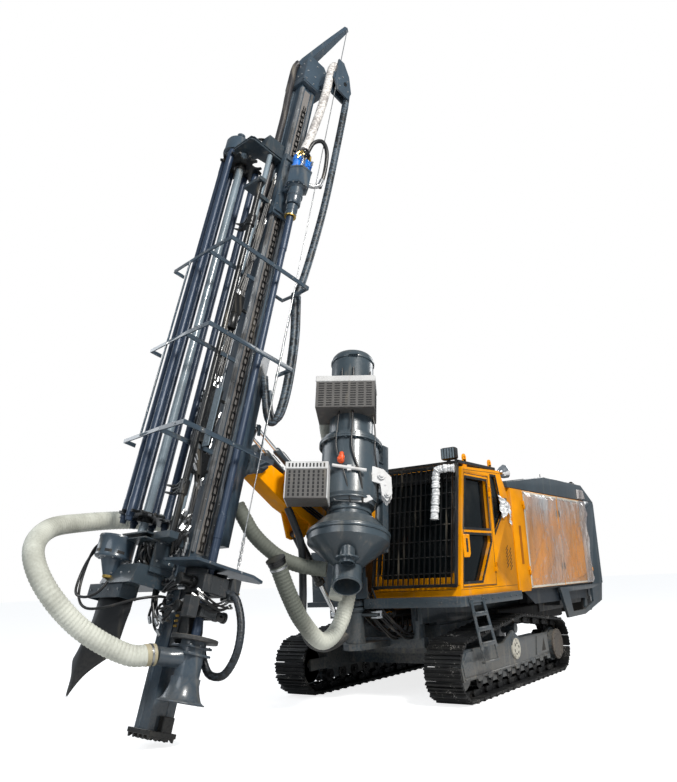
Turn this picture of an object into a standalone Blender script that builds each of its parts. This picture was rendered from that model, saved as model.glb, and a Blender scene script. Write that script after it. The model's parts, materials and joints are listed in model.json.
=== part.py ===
import math

import bmesh
import bpy
from mathutils import Matrix, Vector

# Frame: origin on the ground under the middle of the object, front to -Y, cab side to +X, Z up, metres
MACHINE_X = 0.1012
MACHINE_Y = 0.7602

GAP = 0.0004
CLEAR = 0.006
ROUND = 12

# Tracks
TRACK_IN = 0.847
TRACK_OUT = 1.297
FRAME_IN = 0.94
IDLER_Y, IDLER_Z = -1.45, 0.36
SPROCKET_Y, SPROCKET_Z = 1.52, 0.37
HUMP_Y, HUMP_Z = 0.185, 0.883
SHOE_COUNT = 48
CHAIN_DEPTH = 0.12
GROUSER = 0.030
PLATFORM_OUT = TRACK_OUT + 0.043

# Door hinges: knuckles on a line just outside the skin
KNUCKLE_R = 0.012
KNUCKLE = 0.06

# Cab
CAB_IN, CAB_OUT = 0.04, 1.24
CAB_MIDDLE = (CAB_IN + CAB_OUT) / 2
CAB_WALL = 0.06
CAB_FLOOR = 1.165
CAB_PROFILE = [(-1.50, CAB_FLOOR), (-1.20, 2.69), (-0.05, 2.73), (0.226, 2.31), (0.226, CAB_FLOOR)]
DOOR_REAR = -0.44
CAB_HINGE = (CAB_OUT + KNUCKLE_R + 2 * GAP, DOOR_REAR - CLEAR / 2)
CAB_HINGE_Z = [1.42, 2.36]

# Engine housing
HOUSE_X = 1.24
HOUSE_SKIN = 0.04
HOUSE_FRONT, HOUSE_DOORS, HOUSE_MID, HOUSE_TAIL, HOUSE_REAR = 0.27, 0.70, 2.14, 3.575, 4.11
HOUSE_FLOOR, HOUSE_TOP = 1.14, 2.53
HOUSE_HINGE = HOUSE_X + KNUCKLE_R + 2 * GAP
HOUSE_HINGE_Z = [1.35, 2.25]

# Front attachment: swing post on a vertical axis, boom turned to the machine's right
POST_X, POST_Y, POST_Z = -0.110, -1.685, 0.042
FRONT_SIZE = 0.971
BOOM_YAW = -10.0
MAST_LEAN = 16.0
LEAN = math.radians(MAST_LEAN)
ROOT_PIN = (-0.05, 1.66)
HEAD_PIN = (-1.60, 2.72)
PIN_V = 0.50
MAST_REACH = (PIN_V + math.sin(LEAN) * HEAD_PIN[1]) / math.cos(LEAN) - HEAD_PIN[0]
LIFT_BOOM = (-0.96, 1.965)
LIFT_POST = (-0.34, 1.00)
TILT_BOOM = (-1.00, 2.66)
TILT_HEAD = (-1.60, 3.17)
SWING_ANCHOR = (0.26, -0.62, 0.984)
SWING_EYE = (0.30, 0.06, 0.97)
PIN_R = 0.035
PIN_FIT = 0.003
BOOM_HALF = 0.13

# Mast, in its own frame: u to the machine's left, v to the back, w up along the beam
BEAM_U, BEAM_V = 0.12, 0.13
BEAM_LOW, BEAM_HIGH = 0.083, 8.50
DRILL_U, DRILL_V = 0.36, 0.0
DRILL_R = 0.045
MAG_U, MAG_V = -0.25, -0.52
MAG_R = 0.25
MAG_LOW, MAG_HIGH = 2.05, 6.85
HEAD_LOW, HEAD_HIGH = 6.18, 7.16
SWING_W = math.sin(LEAN) * (MAST_REACH + HEAD_PIN[0]) + math.cos(LEAN) * HEAD_PIN[1]

MACHINE = Matrix.Translation((MACHINE_X, MACHINE_Y, 0.0))
ARM = (MACHINE @ Matrix.Translation((POST_X, POST_Y, POST_Z)) @ Matrix.Rotation(math.radians(BOOM_YAW), 4, "Z")
       @ Matrix.Scale(FRONT_SIZE, 4))
MAST = ARM @ Matrix.Translation((0.0, -MAST_REACH, 0.0)) @ Matrix.Rotation(-LEAN, 4, "X")

GUARD_TURN = 40.0
COLLECTOR_RIM = Vector((0.66, -0.73, 1.90))
COLLECTOR_AXIS = Vector((-0.137, 0.241, 0.961)).normalized()
COLLECTOR = (ARM @ Matrix.Translation(COLLECTOR_RIM)
             @ Vector((0.0, 0.0, 1.0)).rotation_difference(COLLECTOR_AXIS).to_matrix().to_4x4())

COLORS = {
    "yellow": ((0.80, 0.36, 0.02), 0.45, 0.0),
    "grey": ((0.17, 0.21, 0.24), 0.50, 0.0),
    "dark": ((0.045, 0.050, 0.055), 0.55, 0.0),
    "black": ((0.02, 0.02, 0.02), 0.50, 0.0),
    "track": ((0.05, 0.045, 0.04), 0.60, 0.6),
    "rubber": ((0.02, 0.02, 0.02), 0.80, 0.0),
    "cushion": ((0.03, 0.03, 0.035), 0.90, 0.0),
    "chrome": ((0.80, 0.80, 0.80), 0.15, 1.0),
    "glass": ((0.05, 0.06, 0.07), 0.10, 0.0),
    "hose": ((0.62, 0.60, 0.52), 0.70, 0.0),
    "rod": ((0.05, 0.08, 0.14), 0.45, 0.5),
}


# Pieces are (points, faces) pairs

def box(lo, hi):
    points = [Vector((x, y, z)) for x in (lo[0], hi[0]) for y in (lo[1], hi[1]) for z in (lo[2], hi[2])]
    faces = [(0, 1, 3, 2), (4, 6, 7, 5), (0, 4, 5, 1), (2, 3, 7, 6), (0, 2, 6, 4), (1, 5, 7, 3)]
    return points, faces


def plate(outline, axis, lo, hi):
    # outline in the two axes left, in X, Y, Z order
    def place(a, b, c):
        return Vector({"X": (c, a, b), "Y": (a, c, b), "Z": (a, b, c)}[axis])
    count = len(outline)
    points = [place(a, b, lo) for a, b in outline] + [place(a, b, hi) for a, b in outline]
    faces = [tuple(range(count)), tuple(range(2 * count - 1, count - 1, -1))]
    faces += [(i, (i + 1) % count, count + (i + 1) % count, count + i) for i in range(count)]
    return points, faces


def across(direction):
    direction = Vector(direction).normalized()
    spare = Vector((0.0, 0.0, 1.0)) if abs(direction.z) < 0.9 else Vector((1.0, 0.0, 0.0))
    side = direction.cross(spare).normalized()
    return side, direction.cross(side)


def rod(start, end, radius, end_radius=None, count=ROUND):
    start, end = Vector(start), Vector(end)
    side, up = across(end - start)
    points = []
    for centre, size in ((start, radius), (end, radius if end_radius is None else end_radius)):
        for i in range(count):
            turn = math.tau * i / count
            points.append(centre + size * (math.cos(turn) * side + math.sin(turn) * up))
    faces = [tuple(range(count)), tuple(range(2 * count - 1, count - 1, -1))]
    faces += [(i, (i + 1) % count, count + (i + 1) % count, count + i) for i in range(count)]
    return points, faces


def beam(start, end, width, height, up=(0.0, 0.0, 1.0)):
    # a square bar from start to end, its height along up
    start, end, up = Vector(start), Vector(end), Vector(up)
    side = (end - start).cross(up).normalized() * (width / 2)
    rise = side.cross(end - start).normalized() * (height / 2)
    corners = [(-1, -1), (1, -1), (1, 1), (-1, 1)]
    points = [centre + a * side + b * rise for centre in (start, end) for a, b in corners]
    faces = [(0, 1, 2, 3), (7, 6, 5, 4), (0, 4, 5, 1), (1, 5, 6, 2), (2, 6, 7, 3), (3, 7, 4, 0)]
    return points, faces


def turned(profile, count=ROUND, centre=(0.0, 0.0)):
    # radius and height pairs in one closed outline, turned about a line along Z
    size = len(profile)
    points = []
    for i in range(count):
        turn = math.tau * i / count
        for radius, height in profile:
            points.append(Vector((centre[0] + radius * math.cos(turn), centre[1] + radius * math.sin(turn), height)))
    faces = []
    for i in range(count):
        j = (i + 1) % count
        for k in range(size):
            m = (k + 1) % size
            faces.append((i * size + k, j * size + k, j * size + m, i * size + m))
    return points, faces


def smooth(path, steps=4):
    # points on a curve through every place of the path
    path = [Vector(p) for p in path]
    ends = [2 * path[0] - path[1]] + path + [2 * path[-1] - path[-2]]
    line = []
    for a, b, c, d in zip(ends, ends[1:], ends[2:], ends[3:]):
        for i in range(steps):
            t = i / steps
            line.append(0.5 * (2 * b + (c - a) * t + (2 * a - 5 * b + 4 * c - d) * t ** 2
                               + (3 * b - a - 3 * c + d) * t ** 3))
    return line + [path[-1]]


def hose(path, radius, count=10, steps=4):
    line = smooth(path, steps)
    side, up = across(line[1] - line[0])
    points = []
    for k, centre in enumerate(line):
        ahead = (line[min(k + 1, len(line) - 1)] - line[max(k - 1, 0)]).normalized()
        side = (side - ahead * side.dot(ahead)).normalized()
        up = ahead.cross(side)
        for i in range(count):
            turn = math.tau * i / count
            points.append(centre + radius * (math.cos(turn) * side + math.sin(turn) * up))
    last = (len(line) - 1) * count
    faces = [tuple(range(count)), tuple(range(last + count - 1, last - 1, -1))]
    for k in range(len(line) - 1):
        for i in range(count):
            j = (i + 1) % count
            faces.append((k * count + i, k * count + j, (k + 1) * count + j, (k + 1) * count + i))
    return points, faces


def mirrored(pieces):
    return [([Vector((-p.x, p.y, p.z)) for p in points], faces) for points, faces in pieces]


def along(p, q, t):
    return tuple(a + (b - a) * t for a, b in zip(p, q))


# The scene

def clear_scene():
    for item in list(bpy.data.objects):
        bpy.data.objects.remove(item, do_unlink=True)


def collection(name, hidden):
    group = bpy.data.collections.new(name)
    bpy.context.scene.collection.children.link(group)
    group.hide_render = hidden
    return group


def material(name):
    color, roughness, metallic = COLORS[name]
    made = bpy.data.materials.new(name)
    made.use_nodes = True
    shader = made.node_tree.nodes["Principled BSDF"]
    shader.inputs["Base Color"].default_value = (*color, 1.0)
    shader.inputs["Roughness"].default_value = roughness
    shader.inputs["Metallic"].default_value = metallic
    return made


def as_object(name, pieces, matrix, pivot, group):
    mesh = bpy.data.meshes.new(name)
    points, faces = [], []
    for piece_points, piece_faces in pieces:
        base = len(points)
        points += [matrix @ p - pivot for p in piece_points]
        faces += [tuple(base + i for i in face) for face in piece_faces]
    mesh.from_pydata(points, [], faces)
    shape = bmesh.new()
    shape.from_mesh(mesh)
    bmesh.ops.recalc_face_normals(shape, faces=shape.faces)
    shape.to_mesh(mesh)
    shape.free()
    item = bpy.data.objects.new(name, mesh)
    item.location = pivot
    group.objects.link(item)
    return item


def combine(item, pieces, operation, matrix, pivot):
    tool = as_object(item.name + "_" + operation.lower(), pieces, matrix, pivot, CUTTERS)
    tool.hide_render = True
    tool.display_type = "WIRE"
    step = item.modifiers.new(operation.lower(), "BOOLEAN")
    step.operation = operation
    step.solver = "EXACT"
    step.use_self = True
    step.object = tool


def solid(name, slot, add, cut=(), matrix=None, pivot=None):
    matrix = MACHINE if matrix is None else matrix
    pivot = matrix @ Vector(pivot) if pivot else Vector((0.0, 0.0, 0.0))
    item = as_object(name, add[:1], matrix, pivot, PARTS)
    if len(add) > 1:
        combine(item, add[1:], "UNION", matrix, pivot)
    if cut:
        combine(item, cut, "DIFFERENCE", matrix, pivot)
    item.data.materials.append(MATERIALS[slot])
    return item


# Tracks

def track_line(depth):
    # the loop's outline at a depth under the shoes' tips, as a long list of places
    places = []

    def arc(y, z, radius, start, end, steps):
        for i in range(steps + 1):
            turn = math.radians(start + (end - start) * i / steps)
            places.append(Vector((y + (radius - depth) * math.cos(turn), z + (radius - depth) * math.sin(turn))))

    arc(SPROCKET_Y, SPROCKET_Z, SPROCKET_Z, -90, 84, 24)
    arc(HUMP_Y, HUMP_Z - 0.19, 0.19, 84, 100, 4)
    arc(IDLER_Y, IDLER_Z, IDLER_Z, 100, 270, 24)
    return places + [places[0]]


def sampled(line, distance):
    for a, b in zip(line, line[1:]):
        step = (b - a).length
        if distance <= step and step > 0:
            ahead = (b - a) / step
            return a + ahead * distance, Vector((ahead.y, -ahead.x))
        distance -= step
    return line[-1], Vector((0.0, -1.0))


def track_loop():
    line = track_line(0.0)
    length = sum((b - a).length for a, b in zip(line, line[1:]))
    pitch = length / SHOE_COUNT
    profile = [(0.000, 0.045), (0.012, 0.000), (0.034, 0.000), (0.052, GROUSER)]
    outer, inner = [], []
    for shoe in range(SHOE_COUNT):
        for shift, depth in profile:
            place, out = sampled(line, shoe * pitch + shift)
            outer.append(place - out * depth)
        place, out = sampled(line, shoe * pitch)
        inner.append(place - out * CHAIN_DEPTH)
    size, rings = len(profile), len(outer)
    points = [Vector((x, p.x, p.y)) for x in (TRACK_IN, TRACK_OUT) for p in outer + inner]
    half = rings + SHOE_COUNT
    faces = []
    for i in range(rings):
        j = (i + 1) % rings
        faces.append((i, j, half + j, half + i))
    for shoe in range(SHOE_COUNT):
        a, b = rings + shoe, rings + (shoe + 1) % SHOE_COUNT
        faces.append((b, a, half + a, half + b))
        first = shoe * size
        fan = [(a, first + k, first + k + 1) for k in range(size - 1)]
        fan.append((a, first + size - 1, (first + size) % rings, b))
        faces += fan
        faces += [tuple(half + i for i in reversed(face)) for face in fan]
    return points, faces


def track_frame():
    guard = [(-1.47, 0.58), (-1.59, 0.43), (-1.54, 0.236), (1.226, 0.246), (1.204, 0.556),
             (0.174, 0.566), (-0.024, 0.679), (-0.356, 0.548)]
    wheel = IDLER_Z - CHAIN_DEPTH - 0.008
    pieces = [box((FRAME_IN, -1.15, 0.27), (1.185, 1.22, 0.54)),
              plate(guard, "X", 1.175, 1.21),
              box((FRAME_IN, -1.50, 0.29), (0.98, -1.10, 0.43)),
              box((FRAME_IN, 1.10, 0.29), (0.99, 1.48, 0.45)),
              rod((0.95, IDLER_Y, IDLER_Z), (1.20, IDLER_Y, IDLER_Z), 0.05),
              rod((1.00, IDLER_Y, IDLER_Z), (1.16, IDLER_Y, IDLER_Z), wheel, count=14),
              rod((1.00, SPROCKET_Y, SPROCKET_Z), (1.15, SPROCKET_Y, SPROCKET_Z), wheel, count=14),
              rod((0.90, SPROCKET_Y, SPROCKET_Z), (1.24, SPROCKET_Y, SPROCKET_Z), 0.20, count=14),
              rod((1.20, 0.01, 0.499), (1.225, 0.01, 0.499), 0.12),
              box((1.04, HUMP_Y - 0.06, 0.50), (1.12, HUMP_Y + 0.06, 0.70)),
              rod((0.98, HUMP_Y, 0.690), (1.17, HUMP_Y, 0.690), 0.065, count=10),
              box((0.98, -1.10, 0.15), (1.01, 1.10, 0.30)),
              box((1.14, -1.10, 0.15), (1.17, 1.10, 0.30))]
    for i in range(8):
        y = -1.05 + 0.295 * i
        pieces.append(rod((0.99, y, 0.196), (1.16, y, 0.196), 0.075, count=8))
    return pieces


def build_tracks():
    for side, flip in (("left", list), ("right", mirrored)):
        solid("track_" + side, "track", flip([track_loop()]))
        solid("track_frame_" + side, "grey", flip(track_frame()))


# Carrier

def build_chassis():
    reach = FRAME_IN - GAP
    pieces = [box((-0.60, -0.85, 0.46), (0.60, 1.15, 0.80)),
              box((-reach, -0.62, 0.31), (reach, -0.38, 0.52)),
              box((-reach, 0.68, 0.31), (reach, 0.92, 0.52)),
              box((-0.60, -1.20, 0.84), (-0.45, 1.92, 1.05)),
              box((0.40, -1.20, 0.84), (0.55, 1.92, 1.05)),
              box((-0.58, -0.80, 0.75), (-0.47, 1.10, 0.90)),
              box((0.42, -0.80, 0.75), (0.53, 1.10, 0.90)),
              box((-0.60, -1.19, 0.56), (0.55, -1.08, 0.68)),
              box((-0.59, -1.18, 0.57), (-0.46, -1.06, 0.90)),
              box((-0.35, -1.12, 0.58), (0.10, -0.80, 0.655)),
              box((-0.50, -1.18, 1.00), (-0.25, -1.02, 1.153)),
              rod((0.46, -1.14, 0.66), (0.46, -1.14, 1.04), 0.075),
              box((0.20, -0.68, 0.78), (0.32, -0.56, SWING_ANCHOR[2] - 0.060)),
              rod((*SWING_ANCHOR[:2], 0.90), (*SWING_ANCHOR[:2], SWING_ANCHOR[2] + 0.045), 0.022)]
    nose = [(-0.14, 0.0), (-0.12, -0.10), (0.0, -0.15), (0.12, -0.10), (0.14, 0.0)]
    outline = [(-0.50, -1.06)] + [(POST_X + x, POST_Y + y) for x, y in nose] + [(0.08, -1.06)]
    for low, high in ((0.58, 0.655), (1.09, 1.155)):
        pieces.append(plate(outline, "Z", low, high))
    solid("chassis", "grey", pieces, [rod((POST_X, POST_Y, 0.5), (POST_X, POST_Y, 1.3), 0.0705, count=16)])


def build_platform():
    top = CAB_FLOOR - GAP
    solid("platform", "grey", [
        box((0.06, -1.73, 1.056), (PLATFORM_OUT, -1.50, top)),
        box((0.56, -1.52, 1.056), (PLATFORM_OUT, 0.10, top)),
        box((0.41, -1.18, 1.0504), (0.58, 0.05, top)),
        box((1.14, 0.05, 1.056), (1.22, 0.24, 1.13)),
    ])
    x = PLATFORM_OUT + 0.012
    stiles = [((x, -1.50, 1.15), (x, -1.30, 0.56)), ((x, -1.18, 1.15), (x, -0.90, 0.56))]
    pieces = [beam(top, bottom, 0.012, 0.06, up=(0.0, 1.0, 0.0)) for top, bottom in stiles]
    for height in (0.96, 0.79, 0.62):
        share = (1.15 - height) / 0.59
        left = along(*stiles[0], share)
        right = along(*stiles[1], share)
        pieces.append(beam(left, right, 0.05, 0.022, up=(1.0, 0.0, 0.0)))
    pieces.append(box((PLATFORM_OUT + GAP, -1.53, 1.09), (PLATFORM_OUT + 0.0144, -1.14, 1.152)))
    solid("ladder", "grey", pieces)


def build_undertray():
    top = HOUSE_FLOOR - GAP
    skirt = [(1.91, top), (2.18, 0.684), (3.0, 0.688), (3.98, 0.858), (4.10, top)]
    window = [(2.30, 1.07), (2.42, 0.76), (3.0, 0.76), (3.50, 0.86), (3.50, 1.07)]
    outer = HOUSE_X - 0.01
    for side, flip in (("left", list), ("right", mirrored)):
        solid("skirt_" + side, "grey", flip([plate(skirt, "X", outer - 0.04, outer)]),
              flip([plate(window, "X", outer - 0.1, outer + 0.1)]))
    solid("undertray", "dark", [
        box((-1.18, 1.96, 1.06), (1.18, 4.05, HOUSE_FLOOR - GAP)),
        box((-0.80, 2.10, 0.78), (0.80, 3.60, 1.08)),
        box((-0.70, 1.92 + GAP, 0.86), (0.70, 2.20, 1.08)),
        rod((-0.98, 2.75, 0.95), (1.05, 2.75, 0.95), 0.13),
        box((0.78, 2.35, 0.86), (1.05, 3.40, 1.08)),
    ])
    solid("side_tank", "grey", [
        box((-1.20, -1.20, 1.056), (-0.62, 0.24, 1.12)),
        box((-1.18, -1.10, 1.10), (-0.66, 0.18, 1.78)),
        box((-0.64, -0.98, 1.0504), (-0.47, 0.10, 1.12)),
    ])


# Cab

def front_y(z):
    (y0, z0), (y1, z1) = CAB_PROFILE[0], CAB_PROFILE[1]
    return y0 + (y1 - y0) * (z - z0) / (z1 - z0)


DOOR_HOLE = [(front_y(1.25) + 0.055, 1.25), (front_y(2.63) + 0.055, 2.63), (DOOR_REAR, 2.63), (DOOR_REAR, 1.25)]
REAR_GLASS = [(-0.37, 2.65), (-0.20, 2.65), (-0.05, 2.18), (-0.36, 1.90)]
SIDE_GLASS = [(front_y(1.35) + 0.10, 1.35), (front_y(2.60) + 0.10, 2.60), (-0.20, 2.60), (-0.20, 1.35)]
UPPER_GLASS = [(-1.30, 1.94), (-1.13, 2.57), (-0.50, 2.57), (-0.50, 1.94)]
LOWER_GLASS = [(-1.40, 1.31), (-1.29, 1.88), (-0.50, 1.88), (-0.50, 1.79), (-0.87, 1.31)]


def shrunk(outline, amount):
    middle = Vector((sum(a for a, b in outline) / len(outline), sum(b for a, b in outline) / len(outline)))
    moved = []
    for a, b in outline:
        away = Vector((a, b)) - middle
        moved.append(tuple(middle + away * (1.0 - amount / away.length)))
    return moved


def knuckles(x, y, heights, leaf, door):
    # hinge barrels on a line along Z with straps towards the leaf's side: +1 or -1 along Y
    pieces = []
    for z in heights:
        low = z if door else z + KNUCKLE + GAP
        side = leaf if door else -leaf
        ends = sorted((y + side * 0.0035, y + side * 0.045))
        pieces.append(rod((x, y, low), (x, y, low + KNUCKLE), KNUCKLE_R, count=8))
        pieces.append(box((x - KNUCKLE_R - 0.004, ends[0], low + 0.002), (x, ends[1], low + KNUCKLE - 0.002)))
    return pieces


def build_cab():
    inner = (CAB_IN + CAB_WALL, CAB_OUT - CAB_WALL)
    solid("cab_side_left", "yellow",
          [plate(CAB_PROFILE, "X", inner[1], CAB_OUT)] + knuckles(*CAB_HINGE, CAB_HINGE_Z, -1, False),
          [plate(DOOR_HOLE, "X", inner[1] - 0.1, CAB_OUT + 0.1),
           plate(REAR_GLASS, "X", inner[1] - 0.1, CAB_OUT + 0.1)])
    solid("cab_side_right", "yellow", [plate(CAB_PROFILE, "X", CAB_IN, inner[0])],
          [plate(SIDE_GLASS, "X", CAB_IN - 0.1, inner[0] + 0.1)])
    lo, hi = inner[0] + GAP, inner[1] - GAP
    solid("cab_base", "yellow", [
        box((lo, -1.42, CAB_FLOOR), (hi, 0.226, 1.215)),
        box((lo, 0.166, CAB_FLOOR), (hi, 0.226, 2.30)),
    ], [box((lo + 0.14, 0.10, 1.75), (hi - 0.14, 0.30, 2.22))])
    sill = [(front_y(CAB_FLOOR), CAB_FLOOR), (front_y(2.62), 2.62), (front_y(2.62) + 0.05, 2.62),
            (front_y(1.22) + 0.05, 1.22), (-1.425, 1.22), (-1.425, CAB_FLOOR)]
    hole = [(front_y(1.31) - 0.1, 1.31), (front_y(2.56) - 0.1, 2.56), (front_y(2.56) + 0.1, 2.56),
            (front_y(1.31) + 0.1, 1.31)]
    solid("cab_front", "yellow", [plate(sill, "X", lo, hi)], [plate(hole, "X", lo + 0.05, hi - 0.05)])
    roof = [(front_y(2.6204), 2.6204), (-1.20, 2.69), (-0.05, 2.73), (0.222, 2.3104), (0.150, 2.3104),
            (-0.085, 2.67), (-1.14, 2.635), (front_y(2.6204) + 0.06, 2.6204)]
    solid("cab_roof", "yellow", [plate(roof, "X", lo, hi)])
    pane = [(front_y(1.325) + 0.020, 1.325), (front_y(2.545) + 0.020, 2.545), (front_y(2.545) + 0.030, 2.545),
            (front_y(1.325) + 0.030, 1.325)]
    solid("windscreen", "glass", [plate(pane, "X", lo + 0.05 + GAP, hi - 0.05 - GAP)])
    solid("glass_right", "glass", [plate(shrunk(SIDE_GLASS, 0.0006), "X", CAB_IN + 0.025, CAB_IN + 0.035)])
    solid("glass_left", "glass", [plate(shrunk(REAR_GLASS, 0.0006), "X", CAB_OUT - 0.03, CAB_OUT - 0.02)])
    build_cab_door()
    build_cab_guard(lo, hi)
    middle = CAB_MIDDLE
    solid("seat", "cushion", [
        box((middle - 0.25, -0.75, 1.60), (middle + 0.25, -0.22, 1.72)),
        box((middle - 0.23, -0.30, 1.65), (middle + 0.23, -0.16, 2.35)),
        box((middle - 0.12, -0.62, 1.2154), (middle + 0.12, -0.34, 1.62)),
        box((middle - 0.42, -0.70, 1.74), (middle - 0.30, -0.35, 1.82)),
        box((middle - 0.36, -0.55, 1.66), (middle - 0.22, -0.45, 1.80)),
    ])


def build_cab_door():
    (y0, z0), (y1, z1), (y2, z2), (y3, z3) = DOOR_HOLE
    gap = CLEAR
    leaf = [(y0 + gap, z0 + gap), (y1 + gap, z1 - gap), (y2 - gap, z2 - gap), (y3 - gap, z3 + gap)]
    skin = CAB_OUT - 0.055
    pivot = (*CAB_HINGE, CAB_FLOOR)
    solid("cab_door", "yellow", [
        plate(leaf, "X", skin, CAB_OUT - 0.002),
        box((CAB_OUT - 0.01, -1.30, 1.74), (CAB_OUT + 0.03, -1.21, 1.82)),
    ] + knuckles(*CAB_HINGE, CAB_HINGE_Z, -1, True), [
        plate(UPPER_GLASS, "X", skin - 0.1, CAB_OUT + 0.1),
        plate(LOWER_GLASS, "X", skin - 0.1, CAB_OUT + 0.1),
    ], pivot=pivot)
    glass = [(-1.385, 1.32), (-1.115, 2.585), (-0.485, 2.585), (-0.485, 1.32)]
    solid("cab_door_glass", "glass", [plate(glass, "X", skin - 0.015, skin - GAP)], pivot=pivot)


def build_cab_guard(lo, hi):
    offset = 0.06
    bottom, top = 1.29, 2.70
    def at(z, out):
        return (front_y(z) - out, z)
    pieces = []
    b, t = at(bottom, offset), at(top, offset)
    for z in (bottom, top):
        y = at(z, offset)[0]
        pieces.append(box((CAB_IN + 0.03, y - 0.025, z - 0.02), (CAB_OUT - 0.02, y + 0.025, z + 0.02)))
    width = CAB_OUT - CAB_IN - 0.09
    for i in range(12):
        x = CAB_IN + 0.04 + width * i / 11
        pieces.append(beam((x + 0.01, *b), (x + 0.01, *t), 0.012, 0.034, up=(0.0, 1.0, 0.0)))
    for i in range(3):
        y, z = along(b, t, (i + 0.8) / 3.6)
        pieces.append(beam((CAB_IN + 0.04, y, z), (CAB_OUT - 0.03, y, z), 0.014, 0.014))
    for x in (CAB_IN + 0.03, CAB_OUT - 0.06):
        pieces.append(box((x, t[0] - 0.01, top - 0.01), (x + 0.03, t[0] + 0.03, top + 0.081)))
        pieces.append(box((x, t[0] - 0.01, top + 0.041), (x + 0.03, -0.10, top + 0.081)))
    for i in range(6):
        y = t[0] + 0.12 + 0.19 * i
        pieces.append(box((CAB_IN + 0.04, y, top + 0.052), (CAB_OUT - 0.04, y + 0.06, top + 0.070)))
    for x in (CAB_IN + 0.05, CAB_OUT - 0.09):
        y = front_y(1.27)
        pieces.append(box((x, y - 0.07, 1.27), (x + 0.03, y - GAP, 1.30)))
    pieces.append(box((CAB_MIDDLE - 0.02, -0.92, top + 0.05), (CAB_MIDDLE + 0.12, -0.84, top + 0.24)))
    solid("cab_guard", "black", pieces)


# Engine housing

def build_housing():
    inside = HOUSE_X - HOUSE_SKIN
    floor = HOUSE_FLOOR
    front_hinge = knuckles(HOUSE_HINGE, HOUSE_DOORS + CLEAR / 2, HOUSE_HINGE_Z, 1, False)
    solid("housing_front", "yellow", [
        box((-HOUSE_X, HOUSE_FRONT, floor), (HOUSE_X, HOUSE_FRONT + 0.04, HOUSE_TOP - GAP)),
        box((-HOUSE_X, HOUSE_FRONT, floor), (-inside, HOUSE_DOORS, HOUSE_TOP - GAP)),
        box((inside, HOUSE_FRONT, floor), (HOUSE_X, HOUSE_DOORS, HOUSE_TOP - GAP)),
    ] + front_hinge + mirrored(front_hinge))
    low = floor + 0.0004
    pieces = [box((-inside + GAP, HOUSE_FRONT + 0.04 + GAP, low), (inside - GAP, 4.06, 1.19))]
    for y in (HOUSE_DOORS - 0.08, HOUSE_MID - 0.04, HOUSE_TAIL - 0.03):
        for x in (-inside + GAP, inside - 0.06):
            pieces.append(box((x, y, low), (x + 0.06 - GAP, y + 0.08, HOUSE_TOP - GAP)))
    for x in (-inside + GAP, inside - 0.06):
        pieces.append(box((x, HOUSE_FRONT + 0.04 + GAP, HOUSE_TOP - 0.075), (x + 0.06 - GAP, 3.60, HOUSE_TOP - GAP)))
    solid("housing_frame", "dark", pieces)
    rear = [(HOUSE_TAIL, floor), (HOUSE_TAIL, HOUSE_TOP - GAP), (HOUSE_REAR - 0.02, HOUSE_TOP - GAP),
            (HOUSE_REAR, HOUSE_TOP - 0.05), (HOUSE_REAR, floor)]
    tail = [box((-HOUSE_X, HOUSE_REAR - 0.04, floor), (HOUSE_X, HOUSE_REAR, HOUSE_TOP - 0.05)),
            plate(rear, "X", -HOUSE_X, -inside), plate(rear, "X", inside, HOUSE_X)]
    rear_hinge = knuckles(HOUSE_HINGE, HOUSE_TAIL - CLEAR / 2, HOUSE_HINGE_Z, -1, False)
    tail += rear_hinge + mirrored(rear_hinge)
    solid("housing_rear", "grey", tail, [box((-0.9, 4.0, 1.5), (0.9, 4.2, 2.3))])
    roof = [(0.195, HOUSE_TOP), (0.195, 2.61), (1.69, 2.79), (3.51, 2.79), (4.10, HOUSE_TOP)]
    under = [(0.255, HOUSE_TOP - 0.1), (0.255, 2.57), (1.69, 2.745), (3.49, 2.745), (4.0, HOUSE_TOP - 0.1)]
    solid("housing_roof", "grey", [plate(roof, "X", -HOUSE_X, HOUSE_X),
                                  rod((0.89, 3.2, 2.76), (0.89, 3.2, 2.88), 0.05, count=12)],
          [plate(under, "X", -HOUSE_X + 0.04, HOUSE_X - 0.04)])
    solid("engine", "dark", [box((-0.50, 1.20, 1.1904), (0.50, 3.30, 2.25))])
    build_housing_doors(inside)


def build_housing_doors(inside):
    leaves = [("front", HOUSE_DOORS + CLEAR, HOUSE_MID - CLEAR / 2, HOUSE_DOORS + CLEAR / 2, 1),
              ("rear", HOUSE_MID + CLEAR / 2, HOUSE_TAIL - CLEAR, HOUSE_TAIL - CLEAR / 2, -1)]
    for side, flip in (("left", list), ("right", mirrored)):
        sign = 1.0 if side == "left" else -1.0
        for name, start, end, hinge, leaf in leaves:
            solid("housing_door_" + name + "_" + side, "yellow", flip([
                box((inside + CLEAR / 2, start, HOUSE_FLOOR + 0.03), (HOUSE_X, end, HOUSE_TOP - 0.010)),
            ] + knuckles(HOUSE_HINGE, hinge, HOUSE_HINGE_Z, leaf, True)), pivot=(sign * HOUSE_HINGE, hinge, HOUSE_FLOOR))


# Swing post, boom and mast bracket, in the arm's frame

def pin_hole(place, reach, radius=PIN_R):
    y, z = place
    return rod((-reach, y, z), (reach, y, z), radius, count=ROUND)


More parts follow.
